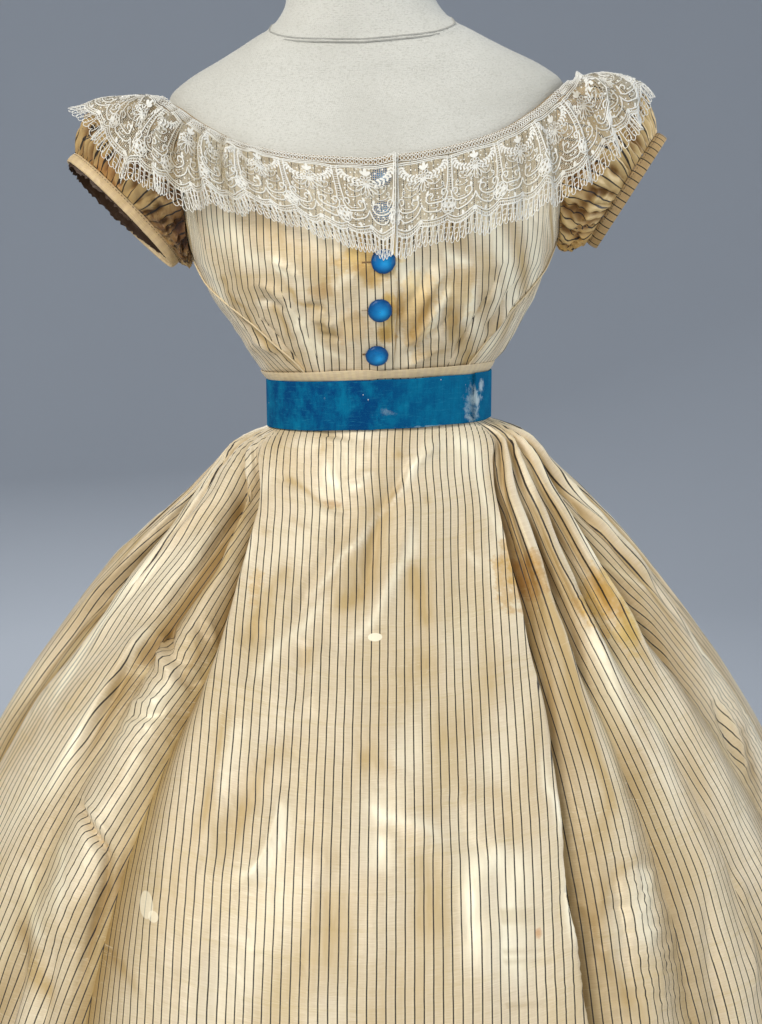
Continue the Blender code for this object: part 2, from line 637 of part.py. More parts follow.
def sleeve_grid(row, steps, count):
    """Returns the middle surface of a short puffed sleeve in the upright frame."""
    side = row[0]
    start = armhole_ring(side, count)
    end = band_ring(row, -BAND_SEAM, count)
    turns = np.linspace(0, 2 * math.pi, count, endpoint=False)
    outward = (start - start.mean(axis=0)) + (end - end.mean(axis=0))
    outward /= np.linalg.norm(outward, axis=-1, keepdims=True)
    puff = PUFF_UNDER + (PUFF_TOP - PUFF_UNDER) * (0.5 + 0.5 * np.cos(turns)) ** PUFF_POWER
    middle = (start + end) / 2 + outward * puff[:, None]
    gather = np.cos(turns * SLEEVE_GATHERS)[:, None] * outward
    grid = []
    for step in steps:
        curve = start * (1 - step) ** 2 + middle * 2 * step * (1 - step) + end * step**2
        swell = math.sin(math.pi * min(step, GATHER_FADE) / GATHER_SPAN)
        grid.append(curve + gather * GATHER_DEPTH * swell)
    return np.array(grid)


def make_sleeves():
    """Makes both puffed sleeves and their bands."""
    count = SLEEVE_GATHERS * 2
    for row in SLEEVE_ROWS:
        side = row[0]
        grid = sleeve_grid(row, SLEEVE_STEPS, count)
        outward = 1 if side == "right" else -1
        grid = stance(grid)
        wall(f"sleeve_{side}", grid, SILK, "striped_silk", True, normals(grid, True) * outward)
        band = stance(np.stack([band_ring(row, slide, BAND_COLUMNS) for slide in (0.0, SLEEVE_BAND_HEIGHT)]))
        wall(f"sleeve_band_{side}", band, SILK + 0.0003, "striped_silk", True, normals(band, True) * outward)


def skin_tree(name):
    """Returns the search tree of a finished piece's outer skin."""
    points, faces = OUTER_SKINS[name]
    return BVHTree.FromPolygons([tuple(point) for point in points], faces)


def height_over(tree, point, out, reach=0.07):
    """Returns how far out along a direction a skin's outermost layer lies from a point."""
    start = Vector(point + out * reach)
    spot, _, _, gap = tree.ray_cast(start, Vector(-out), reach * 2)
    return reach - gap if spot else -reach


def make_buttons():
    """Makes the five domed buttons on the lapped edge."""
    turns = np.linspace(0, 2 * math.pi, BUTTON_SIDES, endpoint=False)
    front = skin_tree("bodice_front_right")
    for number, (angle, height, radius, rise) in enumerate(BUTTON_ROWS, start=1):
        seat = stance(on_torso(angle, height, LAP_LIFT))
        across = stance(on_torso(angle + 3, height, LAP_LIFT)) - stance(on_torso(angle - 3, height, LAP_LIFT))
        up = stance(on_torso(angle, height + radius / 2)) - stance(on_torso(angle, height - radius / 2))
        across /= np.linalg.norm(across)
        up /= np.linalg.norm(up)
        out = np.cross(across, up)
        rim = [seat + radius * (math.cos(turn) * across + math.sin(turn) * up) for turn in turns]
        rise_to = max(height_over(front, point, out) for point in (seat, *rim))
        seat = seat + out * (rise_to + SEAM_GAP * 1.3)
        rings = [seat + out * rise * lift + radius * share * (np.cos(turns)[:, None] * across
                                                              + np.sin(turns)[:, None] * up)
                 for share, lift in BUTTON_PROFILE]
        turned_solid(f"button_{number}", np.array(rings), "blue_satin")


def round_waist(out, height, degrees):
    """Returns points round the waist for the belt, at one distance out at every height."""
    sizes = np.array(BELT_SIZES) + out
    x, y = section(np.broadcast_to(sizes, (*degrees.shape, 3)), degrees, SQUARENESS)
    return stance(np.stack([x, y, np.full_like(x, height)], axis=-1))


def make_belt():
    """Makes the ribbon belt, its lapped end and the waistband strip above it."""
    degrees = np.arange(0, 360, BELT_COLUMN)
    belt = np.stack([round_waist(0.0, height, degrees) for height in (BELT_TOP, BELT_BOTTOM)])
    wall("belt", belt, VELVET, "velvet_ribbon", closed=True)
    lap = np.arange(BELT_LAP[0], BELT_LAP[1] + 1, BELT_COLUMN)
    out = VELVET + SEAM_GAP * 1.5
    end = np.stack([round_waist(out, height + BELT_LAP_RISE, lap) for height in (BELT_TOP, BELT_BOTTOM)])
    wall("belt_end", end, VELVET, "velvet_ribbon")
    band = []
    over_lap = LAP_LIFT * (ease((degrees - WAISTBAND_LAP[0]) / WAISTBAND_RISE)
                           + ease((WAISTBAND_LAP[1] - degrees) / WAISTBAND_RISE))
    for height in reversed(WAISTBAND):
        band.append(stance(on_torso(degrees, height, WAISTBAND_OUT + over_lap)))
    wall("waistband", np.stack(band), SILK, "striped_silk", closed=True)


def fold_lines():
    """Returns each fold's name, depth reader and angle reader, in order round the skirt."""
    lines = []
    for name, depths, angles in FRONT_FOLDS:
        lines.append((name, reader(list(zip(DEPTH_DROPS, depths))), reader(list(zip(ANGLE_DROPS, angles)))))
    for at_belt, at_hip, at_hem, depth in BACK_FOLDS:
        depths = [(drop, depth * share) for drop, share in zip(DEPTH_DROPS, BACK_DEPTH_SHARES)]
        angles = [(0.0, at_belt), (HIP_DROP, at_hip), (KNEE_DROP, (at_hip + at_hem) / 2), (SKIRT_LENGTH, at_hem)]
        lines.append((at_hip, reader(depths), reader(angles)))
    return lines


def skirt_surface(drop, fold_place):
    """Returns points of the skirt at drops below the belt and places along its list of folds.

    A place of 3.5 is halfway between the folds 3 and 4, so cloth may turn back under a fold.
    """
    drop = np.asarray(drop, float)[:, None] * np.ones(len(fold_place))
    lines = fold_lines()
    count = len(lines)
    angle = np.stack([line[2](drop[:, 0])[..., 0] for line in lines])
    depth = np.stack([line[1](drop[:, 0])[..., 0] for line in lines]) / 1000
    angle = np.concatenate([angle, angle[:1] + 360])
    depth = np.concatenate([depth, depth[:1]])
    place = np.mod(np.asarray(fold_place, float), count)
    before = np.floor(place).astype(int)
    share = (place - before)[None, :]
    degrees = (angle[before] * (1 - share.T) + angle[before + 1] * share.T).T
    soft = ease(share)
    fold = (depth[before] * (1 - soft.T) + depth[before + 1] * soft.T).T
    fold = fold * ease((drop - FOLD_START) / FOLD_FULL)
    squareness = SQUARENESS - (SQUARENESS - 2) * ease((drop - ROUND_START) / ROUND_FULL)
    x, y = section(SKIRT(drop), degrees, squareness)
    turn = np.radians(degrees)
    height = SKIRT_LEVEL - drop
    return stance(np.stack([x + fold * np.sin(turn), y - fold * np.cos(turn), height], axis=-1))


def fold_index(lines, mark):
    """Returns the place of a fold in the list by its name or by its angle at the hip."""
    return next(number for number, line in enumerate(lines) if line[0] == mark)


def make_skirt():
    """Makes the six breadths of the skirt, which meet in valleys."""
    lines = fold_lines()
    count = len(lines)
    drops = np.array(SKIRT_STEPS)
    for name, (first, last) in SKIRT_SEAMS.items():
        start, end = fold_index(lines, first), fold_index(lines, last)
        end += count if end < start else 0
        places = []
        for fold in range(start, end):
            usual = 3 if fold % count < len(FRONT_FOLDS) else 2
            parts = FOLD_PARTS.get(lines[fold % count][0], usual)
            places += [fold + part / parts for part in range(parts)]
        places.append(end)
        places = np.array(places)
        middle = skirt_surface(drops, places)
        aside, below = 0.12, 0.004
        along = skirt_surface(drops, places + aside) - skirt_surface(drops, places - aside)
        down = skirt_surface(drops + below, places) - skirt_surface(drops - below, places)
        normal = np.cross(down, along)
        normal /= np.linalg.norm(normal, axis=-1, keepdims=True)
        for edge, inside in ((0, 1), (-1, -2)):
            across = middle[:, inside] - middle[:, edge]
            across /= np.linalg.norm(across, axis=-1, keepdims=True)
            middle[:, edge] += across * SEAM_GAP * 0.7
        wall(name, middle, SILK, "striped_silk", normal=normal)


def lace_surface(degrees, steps):
    """Returns the middle surface of the lace from the neck band to its lower edge, with its waves."""
    out = lap_lift(degrees) + BAND_OUT + HALF_SILK + LACE / 2 + SEAM_GAP * 2
    top = on_torso(degrees, neckline_height(degrees) - 0.0005, out)
    edge = LACE_EDGE(degrees)
    level = np.stack([np.sin(np.radians(degrees)), -np.cos(np.radians(degrees)), np.zeros_like(degrees)], -1)
    crown = top + level * CROWN_OUT + (edge - top) * CROWN_SHARE
    turns = (degrees - OPENING_EDGE) / 360
    wave = np.cos(2 * np.pi * LACE_WAVES * turns + WAVE_DRIFT * np.sin(2 * np.pi * 3 * turns))
    over_arm = ease((np.abs(np.cos(np.radians(degrees - 90))) - 0.35) / 0.45)
    size = WAVE_SIZE + WAVE_SIZE_OVER_ARM * over_arm
    grid = []
    for step in steps:
        line = top * (1 - step) ** 2 + crown * 2 * step * (1 - step) + edge * step**2
        raised = level * WAVE_OUTWARD + np.array([0, 0, WAVE_UPWARD])
        grid.append(line + raised * (size * (wave + WAVE_LIFT) * step)[:, None])
    return stance(np.array(grid))


def laid_over(grid, fine, trees, clearance):
    """Lifts a grid off the skins under it by what the finer copy of the grid finds there."""
    out = normals(fine)
    need = np.zeros(fine.shape[:2])
    for row in range(fine.shape[0]):
        for column in range(fine.shape[1]):
            heights = [height_over(tree, fine[row, column], out[row, column], LAY_REACH) for tree in trees]
            need[row, column] = max(0.0, max(heights) + clearance)
    lifted = grid.copy()
    facing = normals(grid)
    for row in range(1, grid.shape[0]):
        for column in range(grid.shape[1]):
            rows = slice(max(0, (row - 1) * LAY_FINE), (row + 1) * LAY_FINE + 1)
            columns = slice(max(0, (column - 1) * LAY_FINE), (column + 1) * LAY_FINE + 1)
            lifted[row, column] += facing[row, column] * need[rows, columns].max()
    return lifted


def make_lace(under):
    """Makes the gathered lace bertha, laid clear of the pieces under it."""
    count = LACE_WAVES * 3
    ends = (OPENING_EDGE + 0.5, 360 + OPENING_EDGE - 0.5)
    fine_steps = np.interp(np.arange((len(LACE_STEPS) - 1) * LAY_FINE + 1) / LAY_FINE,
                           np.arange(len(LACE_STEPS)), LACE_STEPS)
    grid = lace_surface(np.linspace(*ends, count + 1), LACE_STEPS)
    fine = lace_surface(np.linspace(*ends, count * LAY_FINE + 1), fine_steps)
    grid = laid_over(grid, fine, [skin_tree(name) for name in under], LACE / 2 + LACE_LIFT)
    wall("lace_bertha", grid, LACE, "lace")


def make_form():
    """Makes the smooth body of the dress form with its shoulders and neck."""
    count = 36
    degrees = np.arange(count) * 360 / count
    rings = []
    for row in FORM_ROWS:
        height = row[0]
        x, y = section(np.broadcast_to(FORM(height), (count, 3)), degrees, SQUARENESS)
        rings.append(stance(np.stack([x, y, np.full_like(x, height)], axis=-1)))
    turned_solid("form_body", np.array(rings), "form_canvas")


def round_rings(profile, count):
    """Returns rings about the upright axis from pairs of radius and height."""
    turns = np.linspace(0, 2 * math.pi, count, endpoint=False)
    return np.array([[(radius * math.cos(turn), radius * math.sin(turn), height) for turn in turns]
                     for radius, height in profile])


def make_stand():
    """Makes the pole with its collar under the body, and the round foot on the floor."""
    top = WAIST_HEIGHT + FORM_ROWS[0][0] - SEAM_GAP
    foot = BASE_HEIGHT + SEAM_GAP
    pole = ((POLE_RADIUS + SOCKET_OUT, foot), (POLE_RADIUS + SOCKET_OUT, foot + SOCKET_HEIGHT * 0.6),
            (POLE_RADIUS, foot + SOCKET_HEIGHT),
            (POLE_RADIUS, top - COLLAR_HEIGHT), (COLLAR_RADIUS, top - COLLAR_HEIGHT * 0.35), (COLLAR_RADIUS, top))
    turned_solid("stand_pole", round_rings(pole, 24), "stand_metal")
    base = ((BASE_RADIUS, 0.0), (BASE_RADIUS, BASE_RIM), (BASE_RADIUS * 0.96, BASE_RIM + 0.004),
            (BASE_RADIUS * 0.30, BASE_HEIGHT - 0.002), (BASE_RADIUS * 0.22, BASE_HEIGHT))
    turned_solid("stand_base", round_rings(base, 36), "stand_metal")


def main():
    clear_scene()
    make_form()
    make_stand()
    make_bodice()
    make_neck_band()
    make_sleeves()
    make_buttons()
    make_belt()
    make_skirt()
    make_lace(("bodice_front_left", "bodice_front_right", "bodice_side_back_left", "bodice_side_back_right",
               "bodice_back", "sleeve_left", "sleeve_right", "sleeve_band_left", "sleeve_band_right",
               "button_1", "button_2", "button_3"))


if __name__ == "__main__":
    main()
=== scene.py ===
"""Crinoline dress of striped silk taffeta on its dress form, built as a Blender add-on.

Metres, +Z up. The dress faces -Y and the wearer's left side is at +X. Angles run round the figure
from the centre front towards +X, and heights are above the waist.
"""
import math

import bpy
import numpy as np
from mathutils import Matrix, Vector
from mathutils.bvhtree import BVHTree


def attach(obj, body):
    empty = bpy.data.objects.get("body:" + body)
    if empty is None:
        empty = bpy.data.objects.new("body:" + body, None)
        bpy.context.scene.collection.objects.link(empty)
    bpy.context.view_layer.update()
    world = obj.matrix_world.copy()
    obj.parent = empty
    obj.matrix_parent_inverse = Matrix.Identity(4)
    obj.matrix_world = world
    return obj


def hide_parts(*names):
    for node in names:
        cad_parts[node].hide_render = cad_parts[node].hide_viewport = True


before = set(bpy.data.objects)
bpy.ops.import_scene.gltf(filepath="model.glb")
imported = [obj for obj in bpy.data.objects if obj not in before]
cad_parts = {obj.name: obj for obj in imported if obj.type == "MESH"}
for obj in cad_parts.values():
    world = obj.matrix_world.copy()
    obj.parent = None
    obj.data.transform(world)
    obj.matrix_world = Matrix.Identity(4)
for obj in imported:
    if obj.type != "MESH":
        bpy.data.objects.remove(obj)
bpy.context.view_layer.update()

bl_info = {
    "name": "Crinoline dress",
    "version": (1, 0, 0),
    "blender": (4, 5, 0),
    "location": "3D View > Sidebar > Dress",
    "description": "Builds a striped silk crinoline dress with a lace bertha on a dress form",
    "category": "Add Mesh",
}

# Driving dimensions, the same as in the solid model
WAIST_HEIGHT = 1.045
BELT_TOP = 0.025
BELT_WIDTH = 0.0445
SKIRT_LEVEL = -0.025
SKIRT_LENGTH = 1.0
SILK = 0.0012
LACE = 0.0010
VELVET = 0.0016
SEAM_GAP = 0.0003
LEAN = math.radians(2.2)
SHOULDER_HEIGHT = 0.30
SWAY_POWER = 1.6
LEAN_FROM = -0.20
LEAN_FULL = 0.17
SQUARENESS = 2.2
HALF_SILK = SILK / 2

# The figure under the bodice: height above the waist, half width, depth in front, depth behind
TORSO_ROWS = (
    (-0.003, 0.1040, 0.0802, 0.0812), (0.026, 0.1070, 0.0827, 0.0830), (0.040, 0.1168, 0.0918, 0.0862),
    (0.055, 0.1275, 0.1010, 0.0888), (0.080, 0.1415, 0.1160, 0.0930), (0.105, 0.1570, 0.1250, 0.0980),
    (0.127, 0.1670, 0.1275, 0.1020), (0.155, 0.1780, 0.1240, 0.1060), (0.185, 0.1860, 0.1170, 0.1080),
    (0.215, 0.1910, 0.1075, 0.1070), (0.245, 0.1945, 0.0940, 0.1020), (0.270, 0.1965, 0.0800, 0.0940),
    (0.300, 0.1960, 0.0640, 0.0820),
)
FORM_ROWS = (
    (-0.260, 0.1400, 0.1020, 0.1240), (-0.240, 0.1500, 0.1120, 0.1340), (-0.150, 0.1480, 0.1080, 0.1310),
    (-0.060, 0.1160, 0.0830, 0.0960), (-0.010, 0.1000, 0.0768, 0.0770), (0.028, 0.1025, 0.0786, 0.0786),
    (0.050, 0.1170, 0.0910, 0.0820), (0.085, 0.1385, 0.1120, 0.0895), (0.127, 0.1615, 0.1225, 0.0970),
    (0.170, 0.1775, 0.1155, 0.1020), (0.215, 0.1868, 0.1030, 0.1020), (0.250, 0.1905, 0.0868, 0.0955),
    (0.280, 0.1920, 0.0700, 0.0855), (0.296, 0.1865, 0.0628, 0.0790), (0.310, 0.1690, 0.0605, 0.0765),
    (0.327, 0.1360, 0.0570, 0.0735), (0.342, 0.1080, 0.0555, 0.0700), (0.357, 0.0825, 0.0550, 0.0665),
    (0.377, 0.0700, 0.0545, 0.0620), (0.420, 0.0655, 0.0538, 0.0583), (0.430, 0.0635, 0.0515, 0.0560),
)
# Neckline: angle, height above the waist
NECKLINE_ROWS = (
    (0, 0.2210), (16, 0.2280), (34, 0.2430), (47, 0.2620), (60, 0.2810), (74, 0.2910), (90, 0.2950),
    (106, 0.2910), (120, 0.2840), (140, 0.2730), (160, 0.2650), (180, 0.2620),
)
# Seam at the foot of the form's neck: angle, height
NECK_SEAM_ROWS = (
    (0, 0.330), (25, 0.334), (50, 0.343), (72, 0.353), (90, 0.357), (120, 0.362), (180, 0.366),
)
# Armhole: its front and back ends as angles, then its lower edge as angle and height
ARMHOLE_FRONT = 60
ARMHOLE_BACK = 120
ARMHOLE_ROWS = (
    (60, 0.2740), (61, 0.2520), (63, 0.2240), (66, 0.2000), (70, 0.1790), (76, 0.1620), (83, 0.1530),
    (90, 0.1500), (97, 0.1530), (104, 0.1620), (110, 0.1790), (114, 0.2000), (117, 0.2240), (119, 0.2520),
    (120, 0.2760),
)
# Bodice seams: height, then the angle on the wearer's right and on the wearer's left
SIDE_FRONT_SEAM = ((0.000, 32, 44), (0.030, 34, 46), (0.045, 37, 48), (0.060, 43, 51), (0.080, 51, 57),
                   (0.097, 60, 64), (0.112, 70, 71), (0.124, 79, 80), (0.150, 87, 87))
SIDE_BACK_SEAM = ((0.000, 116, 116), (0.060, 112, 112), (0.150, 100, 100))
BACK_SEAM = ((0.000, 163, 163), (0.050, 160, 160), (0.100, 151, 151), (0.150, 138, 138), (0.180, 126, 126),
             (0.205, 115, 115))
# Front opening as angles: its edge, the end of the underlap, where the lap starts to rise and how
# fast; then how far the lap stands off in metres
OPENING_EDGE = 5.8
UNDERLAP_END = -6.0
LAP_START = -15.0
LAP_RISE = 7.0
LAP_LIFT = 0.0019
SHOULDER_LEVEL = 0.138
NECK_BAND_HEIGHT = 0.0065
NECK_BAND_LAP = 0.003
BAND_OUT = SILK + 0.0005
# Angles at which a panel's columns meet its upper edge: at the armhole, at the neck in front, behind
PANEL_COLUMNS_AT_HOLE = (61.6, 63.8, 67, 72, 79, 86.8)
FRONT_NECK_ANGLES = (14, 22, 31, 40, 49, 57, 59.7)
BACK_NECK_ANGLES = (120.3, 125, 133, 142, 151, 160, 170)
# Darts as (height, angle) from the waist to the bust and on as a guide for the weave, with the
# height of the tip and the cloth that each takes up at the waist
DARTS = {
    "right inner": (((0.0, -22), (0.040, -24), (0.076, -26), (0.111, -29), (0.25, -31)), 0.113, 0.024),
    "right outer": (((0.0, -29), (0.043, -35), (0.073, -42), (0.110, -50), (0.25, -52)), 0.092, 0.022),
    "left": (((0.0, 31), (0.041, 33), (0.086, 38), (0.128, 41), (0.25, 43)), 0.126, 0.034),
}
# Buttons: angle, height, radius, rise of the dome
BUTTON_ROWS = (
    (2.0, 0.2035, 0.0095, 0.0038), (2.2, 0.1730, 0.0098, 0.0038), (2.0, 0.131, 0.0108, 0.0050),
    (1.0, 0.090, 0.0108, 0.0056), (0.0, 0.050, 0.0105, 0.0056),
)
# Waistband above the belt: lower and upper edge, distance out, degrees over which it rises to its
# lap, and the angles where the lap lies
WAISTBAND = (0.0265, 0.0345)
WAISTBAND_OUT = 0.0029
WAISTBAND_RISE = 12
WAISTBAND_LAP = (332, 24)
# What the belt lies on: half width, depth in front, depth behind; then the angles of its lapped end
BELT_SIZES = (0.1100, 0.0878, 0.0885)
BELT_LAP = (54.0, 96.0)

# Skirt without its folds: drop below the belt, half width, depth in front, depth behind
SKIRT_ROWS = (
    (-0.0245, 0.1045, 0.0815, 0.0818), (-0.006, 0.1066, 0.0836, 0.0845), (0.003, 0.1235, 0.0885, 0.0940),
    (0.014, 0.1440, 0.0940, 0.1090), (0.030, 0.1600, 0.1010, 0.1280), (0.050, 0.1800, 0.1110, 0.1560),
    (0.080, 0.2140, 0.1310, 0.2000), (0.120, 0.2550, 0.1620, 0.2500), (0.160, 0.2900, 0.2000, 0.2900),
    (0.200, 0.3210, 0.2450, 0.3250), (0.250, 0.3560, 0.2980, 0.3620), (0.300, 0.3860, 0.3420, 0.3950),
    (0.360, 0.4180, 0.3820, 0.4300), (0.450, 0.4580, 0.4220, 0.4720), (0.600, 0.5040, 0.4650, 0.5200),
    (0.800, 0.5440, 0.5090, 0.5620), (1.000, 0.5700, 0.5400, 0.5900),
)
# Folds of the skirt from belt to hem: depth in mm at four drops, then the angle at ten drops
DEPTH_DROPS = (0.0, 0.12, 0.30, 1.0)
ANGLE_DROPS = (0.0, 0.03, 0.07, 0.12, 0.18, 0.25, 0.33, 0.45, 0.70, 1.00)
FRONT_FOLDS = (
    ("right back crest", (2, 4, 4, 6), (-88, -82, -75, -76, -78, -78, -78, -77, -76, -75)),
    ("right back valley", (-3, -14, -13, -12), (-84, -76, -68, -65, -66, -69, -71, -70, -69, -68)),
    ("broad ridge outer", (2, 4, 4, 4), (-80, -70, -62.5, -59, -58.5, -62, -63, -62.5, -61.5, -60.5)),
    ("broad ridge inner", (2, 6, 5, 5), (-75, -61, -50, -46, -46, -47.5, -49, -49, -48, -47)),
    ("crumpled valley", (-3, -11, -5, -9), (-68, -54, -42, -38, -40, -42, -43, -43, -42, -41)),
    ("crumpled ridge", (1, 3, 3, 2), (-65, -50, -38.5, -34, -34.5, -36.5, -37, -37, -35.5, -34.5)),
    ("front seam valley", (-3, -15, -12, -10), (-62, -47, -35.5, -31, -29, -30.5, -31.5, -31, -29.5, -28.5)),
    ("front edge crest", (1, 4, 4, 3), (-58, -43, -32.5, -28, -25.5, -25, -23.5, -22.5, -21, -20)),
    ("front outer soft", (-1, 0, -1, -2), (-38, -28, -21, -18, -16, -15.5, -14.5, -14, -13, -12.5)),
    ("front middle", (1, 1, 2, 2), (-2, -2, -1, -1, -1, -1, -1, -1, -1, -1)),
    ("front inner soft", (-1, 0, 0, -2), (36, 26, 21, 18, 16, 14.5, 13.5, 12.5, 11.5, 11)),
    ("left front edge crest", (1, 5, 6, 4), (54, 41, 33, 28, 25, 23, 21, 20, 18.5, 17.5)),
    ("left front seam valley", (-3, -17, -17, -12),
     (58, 44.5, 35.3, 29.5, 26.1, 23.8, 21.8, 21.3, 20.3, 19.3)),
    ("second crest", (2, 4, 4, 3), (62, 48, 38.5, 34, 32, 31, 29.5, 27.5, 25.5, 24.5)),
    ("second valley", (-3, -9, -8, -7), (65.5, 51.5, 42, 37.5, 35.6, 35.2, 35.3, 33.5, 31.5, 30.5)),
    ("third crest", (2, 4, 3, 4), (68.5, 55, 46, 41, 40, 40.5, 41, 40, 38, 37)),
    ("third valley", (-3, -9, -3, -6), (72, 60, 50.5, 45.5, 44.2, 45, 46, 46, 45, 44)),
    ("fourth crest", (2, 5, 3, 4), (75.5, 66, 56, 50.8, 49.3, 50, 51.5, 52.5, 52.5, 52)),
    ("fourth valley", (-3, -12, -8, -9), (79.5, 72, 61, 56, 56, 59, 60.5, 61, 60.5, 59.5)),
    ("fifth crest", (2, 4, 3, 4), (83.5, 78.5, 71, 70, 71, 72, 72, 70.5, 68.5, 67.5)),
)
# Folds of the sides and the back: angle at the belt, at the hip, at the hem, depth in mm
BACK_FOLDS = (
    (88, 79, 75, -9), (93, 88, 84, 4), (98, 97, 93, -10), (104, 105, 102, 4), (111, 113, 110, -11),
    (118, 121, 119, 5), (125, 129, 128, -12), (132, 137, 136, 5), (139, 145, 145, -13), (146, 153, 153, 5),
    (153, 160, 161, -12), (161, 167, 169, 5), (170, 174, 177, -13), (179, 181, 185, 6), (189, 189, 193, -13),
    (198, 197, 201, 5), (206, 205, 209, -12), (213, 213, 217, 5), (221, 221, 225, -13), (228, 229, 234, 5),
    (235, 237, 242, -12), (242, 245, 250, 5), (249, 253, 258, -11), (256, 261, 267, 4), (262, 269, 275, -9),
)
# As drops: where the folds start and over how far they grow, how much sharper they are near the belt,
# where the skirt's section turns from squarish to round and over how far; then each back fold's depth
# at the four drops as a share of its own, and the drops of the hip and the knee
FOLD_START = -0.02
SHARPER = 0.50
FOLD_FULL = 0.06
ROUND_START = -0.025
ROUND_FULL = 0.08
BACK_DEPTH_SHARES = (0.25, 1.0, 0.95, 1.0)
HIP_DROP = 0.12
KNEE_DROP = 0.45
# Breadths: first and last place in the list of folds, then runs of cloth whose stripes lie
# together, each with the place that its stripes keep to
BREADTHS = {
    "skirt_front": (6, 12, ((6, 12, 9),)),
    "skirt_side_front_left": (12, 20, ((12, 14, 13), (14, 16, 15), (16, 18, 17), (18, 20, 19))),
    "skirt_side_back_left": (20, 28, ((20, 22, 21), (22, 24, 23), (24, 26, 25), (26, 28, 27))),
    "skirt_back": (28, 38, ((28, 30, 29), (30, 32, 31), (32, 34, 33), (34, 36, 35), (36, 38, 37))),
    "skirt_side_back_right": (38, 44, ((38, 40, 39), (40, 42, 41), (42, 44, 43))),
    "skirt_side_front_right": (44, 51, ((44, 46, 45), (46, 51, 47.5))),
}
